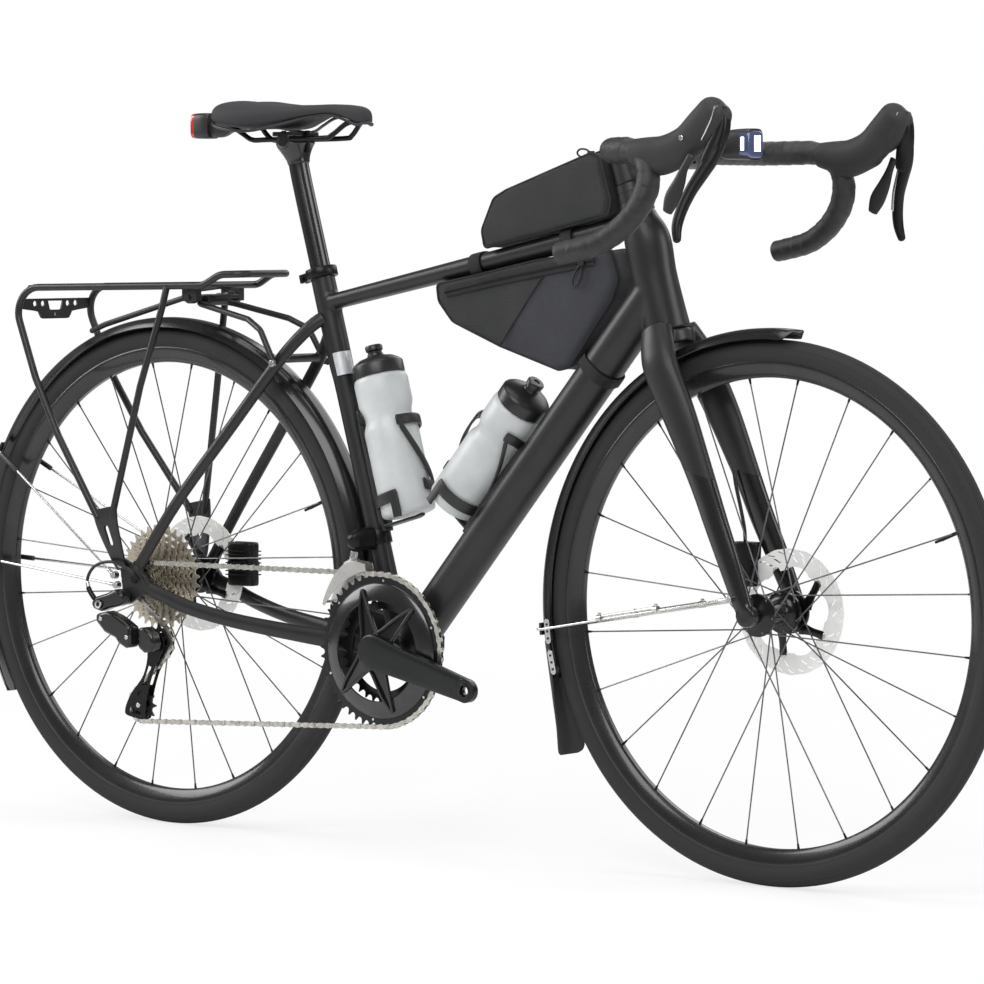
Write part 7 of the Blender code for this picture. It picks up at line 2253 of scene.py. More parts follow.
@dataclass
class Guards:
    """Mudguards with their wire stays, and the front guard's flap with its brackets."""

    radius: float = 0.357
    drop: float = 0.013
    half: float = 0.0225
    thickness: float = 0.0015
    wire: float = 0.0018
    rise: float = 0.0035
    bracket_reach: float = 0.3392
    flap_rows: Rows = (
        (0.657, 0.29, 0.0228, 0.0165), (0.66, 0.274, 0.023, 0.016), (0.672, 0.214, 0.024, 0.011),
        (0.682, 0.176, 0.0268, 0.008), (0.688, 0.144, 0.0285, 0.006),
    )

    def strip(self, centre: Vector, first: float, last: float, deeper: float) -> Mesh:
        """Arched strip round a wheel, with rounded tips.

        Args:
            centre: the wheel's centre.
            first: degrees where it starts.
            last: degrees where it ends.
            deeper: how much deeper its sides are at the low end.

        Returns:
            The mesh.
        """
        rows = round((last - first) / 1.5)
        bm = bmesh.new()
        bm.loops.layers.uv.new("UVMap")
        bmesh.ops.create_grid(bm, x_segments=16, y_segments=rows, size=0.5, calc_uvs=True)
        span = math.radians(last - first)
        for vertex in bm.verts:
            u, v = vertex.co.x * 2.0, vertex.co.y + 0.5
            near = min(v, 1.0 - v) * span * self.radius
            tip = 1.0 if near > 0.014 else 0.55 + 0.45 * math.sqrt(max(0.0, 1.0 - (1.0 - near / 0.014) ** 2))
            degrees = first + (last - first) * v
            y = self.half * u * tip
            drop = self.drop + deeper * min(1.0, max(0.0, (degrees - 120.0) / 45.0))
            bend = abs(y) / self.half
            reach = self.radius - drop * max(0.0, (bend - 0.25) / 0.75) ** 2.1
            turn = math.radians(degrees)
            vertex.co = centre + Vector(
                (reach * math.cos(turn), max(min(y, self.half), -self.half), reach * math.sin(turn))
            )
        bm.normal_update()
        sample = bm.faces[:][len(bm.faces) // 2]
        outward = sample.normal.dot(sample.calc_center_median() - centre) > 0.0
        return through_modifier(bm, "SOLIDIFY", thickness=self.thickness, offset=-1.0 if outward else 1.0)

    def stay(self, centre: Vector, degrees: float, eyelet: Vector, half_eyelet: float) -> list[Vector]:
        """Line of a wire stay from one eyelet over the guard to the other.

        Args:
            centre: the wheel's centre.
            degrees: where it crosses the guard.
            eyelet: middle point between both eyelets.
            half_eyelet: half the distance between the eyelets.

        Returns:
            The points.
        """
        turn = math.radians(degrees)
        out = outwards(turn)
        edge, over = centre + out * (self.radius - self.drop), centre + out * (self.radius + self.rise)
        shoulder = centre + out * (self.radius - 0.003)
        side = SIDE * (self.half + 0.0035)
        corners = [
            eyelet - SIDE * half_eyelet, edge - side, shoulder - side, over - SIDE * 0.0145,
            over + SIDE * 0.0145, shoulder + side, edge + side, eyelet + SIDE * half_eyelet,
        ]
        return bent(corners, 0.007, 6)

    def adjuster(self, first: Vector, last: Vector) -> list[Mesh]:
        """Second wire beside a stay, held by a small clamp at each end.

        Args:
            first: the end near the guard, on the stay.
            last: the other end, on the stay.

        Returns:
            Its meshes.
        """
        lift = UP * 0.0042
        way = (last - first).normalized()
        parts = [rod(first + lift, last + lift, self.wire, sides=10)]
        for spot in (first, last):
            middle = spot + lift / 2.0
            parts.append(rod(middle - way * 0.004, middle + way * 0.004, 0.0046, sides=12))
            parts.append(rod(middle, middle + UP * 0.0072, 0.0024, sides=10))
        return parts

    def flap(self) -> Mesh:
        """Rubber flap that hangs from the front guard's lower end.

        Returns:
            The mesh.
        """
        stations = eased(self.flap_rows, 8)
        last = len(stations) - 1
        bm = bmesh.new()
        bm.loops.layers.uv.new("UVMap")
        bmesh.ops.create_grid(bm, x_segments=16, y_segments=last, size=0.5, calc_uvs=True)
        for vertex in bm.verts:
            u, k = vertex.co.x * 2.0, round((vertex.co.y + 0.5) * last)
            x, z, half, drop = stations[k]
            ahead, behind = stations[min(k + 1, last)], stations[max(k - 1, 0)]
            way = Vector((ahead[0] - behind[0], 0.0, ahead[1] - behind[1])).normalized()
            inward = Vector((-way.z, 0.0, way.x))
            left = (Vector((x, z)) - Vector(stations[last][:2])).length
            corner = 1.0 if left > 0.012 else 0.62 + 0.38 * math.sqrt(
                max(0.0, 1.0 - (1.0 - left / 0.012) ** 2)
            )
            y = half * corner * u
            sag = drop * max(0.0, (abs(u * corner) - 0.25) / 0.75) ** 2.1
            vertex.co = at(x, y, z) + inward * sag
        return through_modifier(bm, "SOLIDIFY", thickness=0.0018, offset=0.0)

    def build(self) -> int:
        """Makes both guards.

        Returns:
            The number of pieces.
        """
        made = 0
        plans = (
            (
                "rear", Maker("frame"), REAR_AXLE, 0.0, 210.0, 0.0,
                (
                    ("rear_stay_upper", 152.0, at(-0.035, 0.0, 0.347), 0.0825),
                    ("rear_stay_lower", 178.0, at(-0.036, 0.0, 0.333), 0.077),
                ),
            ),
            (
                "front", Maker("steering"), FRONT_AXLE, 84.0, 196.5, 0.008,
                (("front_stay", 186.0, at(0.988, 0.0, 0.364), 0.0655),),
            ),
        )
        for end, maker, centre, first, last, deeper, stays in plans:
            maker.piece(
                f"{end}_guard_blade", self.strip(centre, first, last, deeper), GLOSS_BLACK, [f"{end}_guard"],
                crease=50.0,
            )
            for node, degrees, eyelet, half in stays:
                line = self.stay(centre, degrees, eyelet, half)
                maker.piece(f"{node}_wire", tube(line, self.wire, 10), STEEL, [node])
                sleeves, bolts, clamps = [], [], []
                for sign, foot in ((-1.0, line[0]), (1.0, line[-1])):
                    turn = math.radians(degrees)
                    edge = centre + outwards(turn) * (
                        self.radius - self.drop
                    ) + SIDE * sign * (self.half + 0.0035)
                    way = (foot - edge).normalized()
                    if end == "rear":
                        sleeves.append(tube([edge + way * 0.004, edge + way * 0.046], 0.0036, 14))
                    else:
                        clamps += self.adjuster(edge + way * 0.102, edge + way * 0.202)
                    out = SIDE * sign
                    bolts.append(rod(foot - out * 0.006, foot + out * 0.0026, 0.0054, 0.0046))
                    bolts.append(rod(foot - way * 0.001, foot - way * 0.016, 0.0032, 0.0024))
                if sleeves:
                    maker.piece(f"{node}_sleeves", sleeves, PLASTIC)
                if clamps:
                    maker.piece(f"{node}_adjusters", clamps, STEEL, bevel=0.0003)
                maker.piece(f"{node}_bolts", bolts, BOLT, bevel=0.0006)
                bridge = math.radians(degrees)
                out = outwards(bridge)
                clip = box(centre + out * (self.radius + 0.0012), (0.004, 0.03, 0.016), -bridge)
                maker.piece(f"{node}_clip", clip, PLASTIC, bevel=0.001)
            made += maker.made
        maker = Maker("steering")
        maker.piece("front_flap", self.flap(), RUBBER, crease=60.0)
        plates, caps = [], []
        for sign in (-1.0, 1.0):
            y = sign * (self.half + 0.0014)
            for first, last in ((184.0, 189.2), (190.8, 196.0)):
                ends = [math.radians(first + 0.6), math.radians(last - 0.6)]
                axle_x = FRONT_AXLE.x - REAR_AXLE.x
                spots = [round_from(axle_x, AXLE_Z, self.bracket_reach, turn) for turn in ends]
                low, high = sorted((y, y + sign * 0.0014))
                plates.append(plate(hull([(x, z, 0.0042) for x, z in spots], 20), low, high))
                for share in (0.12, 0.5, 0.88):
                    x, z = (a + (b - a) * share for a, b in zip(*spots))
                    caps.append(
                        rod(at(x, y + sign * 0.0008, z), at(x, y + sign * 0.0022, z), 0.0019, 0.0016, 12)
                    )
        maker.piece("front_flap_brackets", plates, BOLT, bevel=0.0003)
        maker.piece("front_bracket_rivets", caps, PLASTIC)
        return made + maker.made


@dataclass
class Rack:
    """Rear rack with its arms, lamp plate and clamp bar."""

    tube: float = 0.005
    plate_half: Outline = (
        (0.068, 0.7235), (0.067, 0.7092), (0.042, 0.7064), (0.0335, 0.705), (0.0305, 0.6995), (0.028, 0.6962),
        (0.024, 0.6951),
    )
    loop_points: Rows = (
        (-0.052, 0.0955, 0.426), (-0.135, 0.085, 0.535), (-0.185, 0.078, 0.615), (-0.239, 0.0715, 0.739),
        (0.108, 0.056, 0.745), (0.136, 0.054, 0.76), (0.172, 0.05, 0.761),
    )
    arm_points: Rows = (
        (0.2312, 0.053, 0.642), (0.205, 0.05, 0.686), (0.176, 0.042, 0.7), (0.076, 0.033, 0.721),
    )
    leg_points: Rows = (
        (0.044, 0.059, 0.743), (0.04, 0.064, 0.715), (0.013, 0.079, 0.608), (-0.026, 0.095, 0.428),
    )
    foot_rows: Rows = (
        (-0.039, 0.0957, 0.44, 0.0021, 0.0225), (-0.034, 0.095, 0.415, 0.0021, 0.019),
        (-0.024, 0.086, 0.372, 0.0021, 0.012), (-0.021, 0.0803, 0.356, 0.0021, 0.0085),
    )
    spine_points: Rows = (
        (0.105, 0.0, 0.744), (0.085, 0.0, 0.743), (0.05, 0.0, 0.739), (0.02, 0.0, 0.726),
        (-0.125, 0.0, 0.688), (-0.15, 0.0, 0.679),
    )

    def both(self, points: Sequence[Row], radius: float, bend: float = 0.018) -> list[Mesh]:
        """The same bent tube on both sides.

        Args:
            points: the right side's corners with positive y.
            radius: the tube's radius.
            bend: radius of its bends.

        Returns:
            Two meshes.
        """
        return [
            tube(bent([at(x, sign * y, z) for x, y, z in points], bend), radius, 16) for sign in (-1.0, 1.0)
        ]

    def lamp_plate(self) -> Mesh:
        """Stepped plate between the rear legs, with its window and holes.

        Returns:
            The mesh.
        """
        half = list(self.plate_half)
        window = [(0.015, 0.72), (0.0115, 0.7086), (0.0095, 0.7076)]
        loops = [half + [(-y, z) for y, z in reversed(half)], window + [(-y, z) for y, z in reversed(window)]]
        loops += [circle(y, 0.7165, 0.004, 20) for y in (-0.041, -0.0252, 0.0252, 0.041)]
        loops.append(hull([(0.0, 0.7, 0.0016), (0.0, 0.7026, 0.0016)], 12))
        bm = bmesh.new()
        for loop in loops:
            verts = [bm.verts.new(at(-0.2215, y, z)) for y, z in loop]
            for a, b in zip(verts, verts[1:] + verts[:1]):
                bm.edges.new((a, b))
        bmesh.ops.triangle_fill(
            bm, use_beauty=True, use_dissolve=False, edges=bm.edges[:], normal=Vector((1.0, 0.0, 0.0)),
        )
        return through_modifier(bm, "SOLIDIFY", thickness=0.003, offset=0.0)

    def build(self) -> int:
        """Makes the rack's pieces.

        Returns:
            The number of pieces.
        """
        maker = Maker("frame")
        half = self.loop_points
        points = [at(x, -y, z) for x, y, z in half] + [at(*row) for row in reversed(half)]
        parts = [tube(bent(points, 0.034, 12), self.tube, 18)]
        for x, y, z in ((-0.202, 0.071, 0.7388), (0.044, 0.0595, 0.7436), (0.105, 0.0565, 0.7447)):
            parts.append(rod(at(x, -y, z), at(x, y, z), self.tube * 0.85))
        spine = [at(*row) for row in self.spine_points]
        parts.append(tube(bent(spine, 0.02), 0.004, 14))
        parts += self.both(self.leg_points, self.tube * 0.95, 0.03)
        for sign in (-1.0, 1.0):
            slab = skin(self.foot_rows, 20, 5, square=0.35, mirror=sign < 0)
            hole = [(-0.0352 + dx, 0.412 + dz) for dx, dz in ((0.0, 0.0), (0.0045, -0.02))]
            slot = plate(hull([(x, z, 0.0042) for x, z in hole], 16), sign * 0.09 - 0.02, sign * 0.09 + 0.02)
            parts.append(cut(slab, slot))
        maker.piece("rack_tubes", parts, RACK, ["rack_frame"], crease=45.0)
        maker.piece("rack_lamp_plate", self.lamp_plate(), RACK, crease=35.0, bevel=0.0004)
        arms = self.arm_points
        line = bent([at(x, -y, z) for x, y, z in arms] + [at(*row) for row in reversed(arms)], 0.012)
        arm_parts = [tube(line, 0.0042, 14), rod(at(0.076, -0.054, 0.7285), at(0.076, 0.054, 0.7285), 0.004)]
        maker.piece("rack_arm_tube", arm_parts, RACK, ["rack_arms"], crease=45.0)
        carrier = [box(at(0.076, 0.0, 0.7262), (0.0196, 0.042, 0.0106))]
        carrier += [box(at(0.076, y, 0.733), (0.026, 0.012, 0.02)) for y in (-0.044, 0.044)]
        carrier += [
            rod(at(0.076, y - 0.007, 0.7285), at(0.076, y + 0.007, 0.7285), 0.0085) for y in (-0.044, 0.044)
        ]
        carrier.append(box(at(0.092, 0.0, 0.73), (0.042, 0.024, 0.005)))
        maker.piece("rack_carrier", carrier, PLASTIC, bevel=0.0012)
        bolts = [
            rod(at(0.076 + dx, y, 0.742), at(0.076 + dx, y, 0.7448), 0.003) for y in (-0.044, 0.044)
            for dx in (-0.0075, 0.0075)
        ]
        bolts += [rod(at(0.092, y, 0.732), at(0.092, y, 0.7345), 0.003) for y in (-0.007, 0.007)]
        for sign in (-1.0, 1.0):
            foot = at(-0.021, sign * 0.082, 0.362)
            bolts.append(rod(foot - SIDE * sign * 0.002, foot + SIDE * sign * 0.0034, 0.0056, 0.0048))
            foot = at(0.233, sign * 0.056, 0.642)
            bolts.append(rod(foot, foot + SIDE * sign * 0.005, 0.0052, 0.0044))
        maker.piece("rack_bolts", bolts, BOLT, bevel=0.0005)
        return maker.made


@dataclass
class Brakes:
    """Calipers over both discs, the rear one with fins."""

    disc_radius: float = 0.08

    def caliper(self, low: Vector, high: Vector, slot_y: float, disc: Vector) -> Mesh:
        """Caliper body with the disc's slot.

        Args:
            low: lowest corner of its box.
            high: highest corner of its box.
            slot_y: middle of the slot.
            disc: the disc's centre.

        Returns:
            The mesh.
        """
        middle, size = (low + high) / 2.0, high - low
        rows = []
        for share, grow in ((-0.5, 0.84), (-0.44, 0.98), (0.0, 0.95), (0.44, 0.98), (0.5, 0.84)):
            rows.append(
                (
                    middle.x - REAR_AXLE.x, middle.y, middle.z + size.z * share, size.y / 2.0 * grow,
                    size.x / 2.0 * grow,
                )
            )
        body = skin(rows, 40, 4, square=0.62)
        space = rod(
            Vector((disc.x, slot_y - 0.0021, disc.z)), Vector((disc.x, slot_y + 0.0021, disc.z)),
            self.disc_radius + 0.0025, sides=64,
        )
        return cut(body, space)

    def build(self) -> int:
        """Makes both calipers.

        Returns:
            The number of pieces.
        """
        made = 0
        plans = (
            ("rear", Maker("frame"), at(0.056, 0.044, 0.33), at(0.104, 0.068, 0.39), 0.0555, REAR_AXLE),
            (
                "front", Maker("steering"), at(0.922, 0.0295, 0.372), at(0.96, 0.0505, 0.428), 0.0395,
                FRONT_AXLE,
            ),
        )
        for end, maker, low, high, slot_y, disc in plans:
            maker.piece(
                f"{end}_caliper_body", self.caliper(low, high, slot_y, disc), ALLOY, [f"{end}_caliper"],
                crease=45.0, bevel=0.0004,
            )
            middle = (low + high) / 2.0
            bolts = []
            for share in (-0.28, 0.28):
                for y, out in ((low.y, -1.0), (high.y, 1.0)):
                    p = Vector((middle.x + (high.x - low.x) * share, y, middle.z))
                    bolts.append(rod(p - SIDE * out * 0.002, p + SIDE * out * 0.002, 0.0046))
            maker.piece(f"{end}_caliper_bolts", bolts, ALLOY, bevel=0.0005)
            if end == "rear":
                fin = ((high.x - low.x) * 0.9, 0.005, 0.0016)
                places = [
                    (y, low.z + (high.z - low.z) * share)
                    for share in (0.25, 0.34, 0.43, 0.52, 0.61, 0.7, 0.79)
                    for y in (low.y + 0.0012, high.y - 0.0012)
                ]
                fins = [box(Vector((middle.x, y, z)), fin) for y, z in places]
                maker.piece(f"{end}_caliper_fins", fins, ALLOY, bevel=0.0003)
            made += maker.made
        return made


@dataclass
class Bags:
    """Bag on the top tube and bag in the frame, with their seams, zips and straps."""

    top_outline: Outline = (
        (0.565, 0.7965), (0.56, 0.82), (0.58, 0.862), (0.6, 0.872), (0.742, 0.9205), (0.756, 0.914),
        (0.773, 0.858), (0.768, 0.84), (0.66, 0.816),
    )
    frame_outline: Outline = (
        (0.483, 0.75), (0.486, 0.728), (0.51, 0.701), (0.59, 0.67), (0.688, 0.64), (0.706, 0.646),
        (0.774, 0.733), (0.784, 0.76), (0.77, 0.798), (0.65, 0.7825), (0.55, 0.7625),
    )

    def edge(self, outline: Sequence[PointXZ], radius: float) -> list[PointXZ]:
        """Outline with each corner rounded, in short steps.

        Args:
            outline: the corners.
            radius: radius of the corners.

        Returns:
            The outline.
        """
        count = len(outline)
        line = []
        for i in range(count):
            before, corner, after = (Vector((*outline[k % count], 0.0)) for k in (i - 1, i, i + 1))
            piece = bent([(before + corner) / 2.0, corner, (corner + after) / 2.0], radius, 5)
            for a, b in zip(piece, piece[1:]):
                steps = max(1, round((b - a).length / 0.006))
                line += [a.lerp(b, k / steps) for k in range(steps)]
        return [(p.x, p.y) for p in line]

    def pillow(self, outline: Sequence[PointXZ], half: float, swell: float) -> Mesh:
        """Soft bag between two bulging faces.

        Args:
            outline: its rounded outline.
            half: half its width.
            swell: how far the faces bulge.

        Returns:
            The mesh.
        """
        mx = sum(x for x, _ in outline) / len(outline)
        mz = sum(z for _, z in outline) / len(outline)
        count = len(outline)
        rows = [
            (0.02, -1.0), (0.2, -1.0), (0.4, -1.0), (0.58, -1.0), (0.72, -1.0), (0.82, -1.0), (0.89, -1.0),
        ]
        rows += [(0.93, -0.97), (0.965, -0.9), (0.99, -0.8), (1.0, -0.66), (0.992, -0.33), (0.989, 0.0)]
        rows += [(share, -y) for share, y in reversed(rows[:-1])]
        last = len(rows) - 1

        def place(u: float, v: float) -> Vector:
            """Point of the bag.

            Args:
                u: share round the outline.
                v: share from the right face to the left one.

            Returns:
                The point.
            """
            share, across = rows[round(v * last)]
            x, z = outline[round(u * count) % count]
            face = max(0.0, 1.0 - share**2.2)
            reach = half - swell + swell * face if abs(across) > 0.95 else half - swell
            y = across * reach
            return at(mx + (x - mx) * share, y, mz + (z - mz) * share)

        return wrapped(count, last, place)

    def piping(self, outline: Sequence[PointXZ], share: float, y: float, radius: float) -> Mesh:
        """Cord sewn round the edge.

        Args:
            outline: the bag's outline.
            share: how far out it lies.
            y: its place across the bag.
            radius: its radius.

        Returns:
            The mesh.
        """
        mx = sum(x for x, _ in outline) / len(outline)
        mz = sum(z for _, z in outline) / len(outline)
        return tube(
            [at(mx + (x - mx) * share, y, mz + (z - mz) * share) for x, z in outline], radius, 8, loop=True,
        )

    def strap(self, centre: Vector, along: Vector, half_y: float, half_z: float, width: float) -> Mesh:
        """Strap round a tube.

        Args:
            centre: middle of the loop.
            along: direction of the tube.
            half_y: half its reach across.
            half_z: half its reach up.
            width: its width.

        Returns:
            The mesh.
        """
        high = along.cross(SIDE).normalized()
        rings = []
        for k in range(49):
            turn = FULL_TURN * (k % 48) / 48
            point = centre + SIDE * (
                half_y * rounded(math.cos(turn), 0.8)
            ) + high * (half_z * rounded(math.sin(turn), 0.8))
            out = (point - centre).normalized()
            rings.append((point, along * (width / 2.0), out * 0.0009))
        return over_rings(rings, 8, 0.4)

    def zips(self, maker: Maker) -> None:
        """Zips with their tapes, sliders and cord pulls.

        Args:
            maker: makes the pieces.
        """
        tapes, coils, pulls = [], [], []
        runs = (
            [(0.505, -0.0262, 0.74), (0.6, -0.0277, 0.758), (0.748, -0.0268, 0.783)],
            [(0.585, 0.0, 0.8668), (0.605, 0.0, 0.8752), (0.68, 0.0, 0.9008), (0.738, 0.0, 0.9205)],
        )
        for run, wide in zip(runs, ((0.0008, 0.0068), (0.0075, 0.0008))):
            line = eased(run, 24)
            tapes.append(skin([(*p, *wide) for p in line], 12, 1, square=0.5))
            out = SIDE * -0.001 if wide[0] < wide[1] else UP * 0.001
            points = [at(*p) + out for p in eased(run, 60)]
            coils.append(
                tube(points, [0.0013 + 0.0004 * math.cos(math.pi * k) for k in range(len(points))], 6)
            )
        for spot, way in (
            ((0.73, -0.029, 0.779), Vector((-0.012, -0.001, -0.03))),
            ((0.726, -0.004, 0.919), Vector((-0.022, 0.0, 0.001))),
        ):
            start = at(*spot)
            pulls.append(box(start, (0.009, 0.004, 0.006)))
            aside = way.cross(SIDE).normalized() * 0.0045
            loop = [
                start, start + way * 0.35 + aside, start + way * 0.8 + aside, start + way,
                start + way * 0.8 - aside, start + way * 0.35 - aside,
            ]
            dense = [Vector(p) for p in eased([tuple(p) for p in (*loop, loop[0])], 6)][:-1]
            pulls.append(tube(dense, 0.0013, 8, loop=True))
        maker.piece("bag_zip_tapes", tapes, WEBBING)
        maker.piece("bag_zip_coils", coils, ALLOY)
        maker.piece("bag_zip_pulls", pulls, HOSE, bevel=0.0004)

    def build(self) -> int:
        """Makes the bags' pieces.

        Returns:
            The number of pieces.
        """
        maker = Maker("frame")
        top = self.edge(self.top_outline, 0.018)
        low = self.edge(self.frame_outline, 0.022)
        bag = maker.piece(
            "top_tube_bag_shell", roughened(self.pillow(top, 0.0285, 0.0035), 0.0012, 0.035), BAG,
            ["top_tube_bag"], crease=60.0,
        )
        whole = roughened(self.pillow(low, 0.0265, 0.0035), 0.0016, 0.045)
        front = whole.copy()
        seam_low, seam_high = at(0.586, 0.0, 0.66), at(0.684, 0.0, 0.785)
        across = (seam_high - seam_low).cross(SIDE).normalized()
        for bm, clear in ((whole, True), (front, False)):
            geom = bm.verts[:] + bm.edges[:] + bm.faces[:]
            bmesh.ops.bisect_plane(
                bm, geom=geom, plane_co=seam_low, plane_no=across, clear_inner=clear, clear_outer=not clear,
            )
            bmesh.ops.holes_fill(bm, edges=[edge for edge in bm.edges if edge.is_boundary], sides=0)
        bag = maker.piece("frame_bag_rear", whole, BAG, ["frame_bag"], crease=60.0)
        bag = maker.piece("frame_bag_front", front, BAG_PANEL, crease=60.0)
        seams = [
            self.piping(top, 0.984, s * 0.0215, 0.0019) for s in (-1.0, 1.0)
        ] + [self.piping(low, 0.984, s * 0.0198, 0.0019) for s in (-1.0, 1.0)]
        seams += [
            tube([
                at(0.5955, s * 0.0262, 0.6721), at(0.6355, s * 0.0275, 0.7231),
                at(0.6755, s * 0.0266, 0.7742),
            ], 0.0011, 8)
            for s in (-1.0, 1.0)
        ]
        maker.piece("bag_piping", seams, WEBBING)
        self.zips(maker)
        straps = []
        way = (at(0.624, 0.0, 0.7935) - at(0.34, 0.0, 0.7345)).normalized()
        for x, half_z in ((0.546, 0.015), (0.697, 0.0172)):
            centre = at(x, 0.0, 0.7345 + (x - 0.34) * 0.2077 - 0.001)
            straps.append(self.strap(centre, way, 0.0187 + (x - 0.546) * 0.012, half_z, 0.019))
        down = (at(0.76, 0.0, 0.6655) - at(0.5, 0.0, 0.359)).normalized()
        straps.append(self.strap(at(0.7408, 0.0, 0.6427), down, 0.0276, 0.0284, 0.016))
        maker.piece("bag_straps", straps, WEBBING)
        return maker.made


@dataclass
class Bottle:
    """A bottle in its side-entry cage."""

    name: str
    base: Vector
    direction: Vector
    tube_side: Vector
    length: float
    offset: float
    radius: float = 0.0363
    cap_profile: Outline = (
        (0.0, 0.0), (0.0335, 0.0), (0.0345, 0.0008), (0.0345, 0.015), (0.0335, 0.017), (0.03, 0.02),
        (0.023, 0.024), (0.014, 0.0262), (0.011, 0.0275), (0.0105, 0.03), (0.0, 0.03),
    )
    spout_profile: Outline = (
        (0.0, 0.0295), (0.0095, 0.0295), (0.0095, 0.033), (0.0115, 0.0345), (0.0118, 0.04), (0.0105, 0.0418),
        (0.0045, 0.042), (0.004, 0.0405), (0.0, 0.0405),
    )

    def band(self, marks: Sequence[PointXZ], width: float, radius: float) -> Mesh:
        """Cage arm round the bottle.

        Args:
            marks: (degrees from the tube, height) rows.
            width: its width.
            radius: its inner radius.

        Returns:
            The mesh.
        """
        rings = []
        for degrees, height in eased(marks, 10):
            turn = math.radians(degrees)
            out = self.tube_side * math.cos(turn) + SIDE * math.sin(turn)
            point = self.base + self.direction * height + out * (radius + 0.0017)
            rings.append((point, self.direction * (width / 2.0), out * 0.0017))
        return over_rings(domed(domed(rings, True, 3), False, 3), 16, 0.55)

    def build(self) -> int:
        """Makes the bottle's and the cage's pieces.

        Returns:
            The number of pieces.
        """
        full, top = self.radius, self.length
        maker, cage = Maker(f"bottle_{self.name}"), Maker("frame")
        body = [(0.0, 0.0015), (0.02, 0.001), (full - 0.006, 0.0), (full - 0.0015, 0.002), (full, 0.006)]
        body += [
            (full, top - 0.116), (full - 0.0012, top - 0.111), (full - 0.004, top - 0.104),
            (full - 0.0047, top - 0.098), (full - 0.004, top - 0.092),
        ]
        body += [
            (full - 0.0012, top - 0.085), (full, top - 0.08), (full, top - 0.05),
            (full - 0.0015, top - 0.045), (full - 0.005, top - 0.041), (0.0, top - 0.041),
        ]
        maker.piece(
            f"bottle_{self.name}_flask", spun(body, self.base, self.direction, 64, closed=False), BOTTLE,
            [f"bottle_{self.name}"], crease=50.0,
        )
        cap_at = self.base + self.direction * (top - 0.042)
        for node, profile, steps in (("cap", self.cap_profile, 72), ("spout", self.spout_profile, 40)):
            turned = spun(profile, cap_at, self.direction, steps, closed=False)
            maker.piece(f"bottle_{self.name}_{node}", turned, CAP, crease=40.0)
        near = full + 0.0018
        parts = [
            self.band([(-112, 0.026), (-60, 0.024), (20, 0.022), (100, 0.024), (186, 0.034)], 0.016, near)
        ]
        parts.append(
            self.band([(-8, 0.112), (50, 0.112), (130, 0.12), (170, 0.123), (217, 0.123)], 0.014, near)
        )
        parts.append(self.band([(214, 0.12), (196, 0.092), (172, 0.062), (146, 0.036)], 0.019, near + 0.0003))
        parts.append(self.band([(-50, 0.143), (-30, 0.142), (-8, 0.138)], 0.014, near))
        parts.append(self.band([(-47, 0.141), (-36, 0.12), (-24, 0.095), (-12, 0.06)], 0.016, near + 0.0002))
        drop = []
        for height in (0.03, 0.024, 0.012, 0.002, -0.003):
            turn = math.radians(-106.0)
            out = self.tube_side * math.cos(turn) + SIDE * math.sin(turn)
            drop.append((
                self.base + self.direction * height + out * (near + 0.0017),
                out.cross(self.direction) * 0.0062, out * 0.0017,
            ))
        parts.append(over_rings(drop, 12, 0.5))
        middle = self.tube_side * ((near + self.offset) / 2.0)
        start = self.base + middle - self.direction * 0.012
        end = self.base + middle + self.direction * 0.14
        thick = (self.offset - near) / 2.0
        rings = [
            (start.lerp(end, k / 12), SIDE * (0.0108 if k not in (0, 12) else 0.0085), self.tube_side * thick)
            for k in range(13)
        ]
        parts.append(over_rings(rings, 16, 0.4))
        lip = []
        for along, wide, drop in (
            (near + 0.002, 0.01, 0.0), (0.0, 0.009, 0.0), (-0.014, 0.008, 0.0), (-0.022, 0.005, -0.0015),
        ):
            lip.append((
                self.base + self.tube_side * along - self.direction * (0.0055 + drop), SIDE * wide,
                self.direction * 0.0021,
            ))
        parts.append(over_rings(lip, 12, 0.5))
        cage.piece(f"cage_{self.name}_arms", parts, PLASTIC, [f"cage_{self.name}"], crease=50.0)
        return maker.made + cage.made


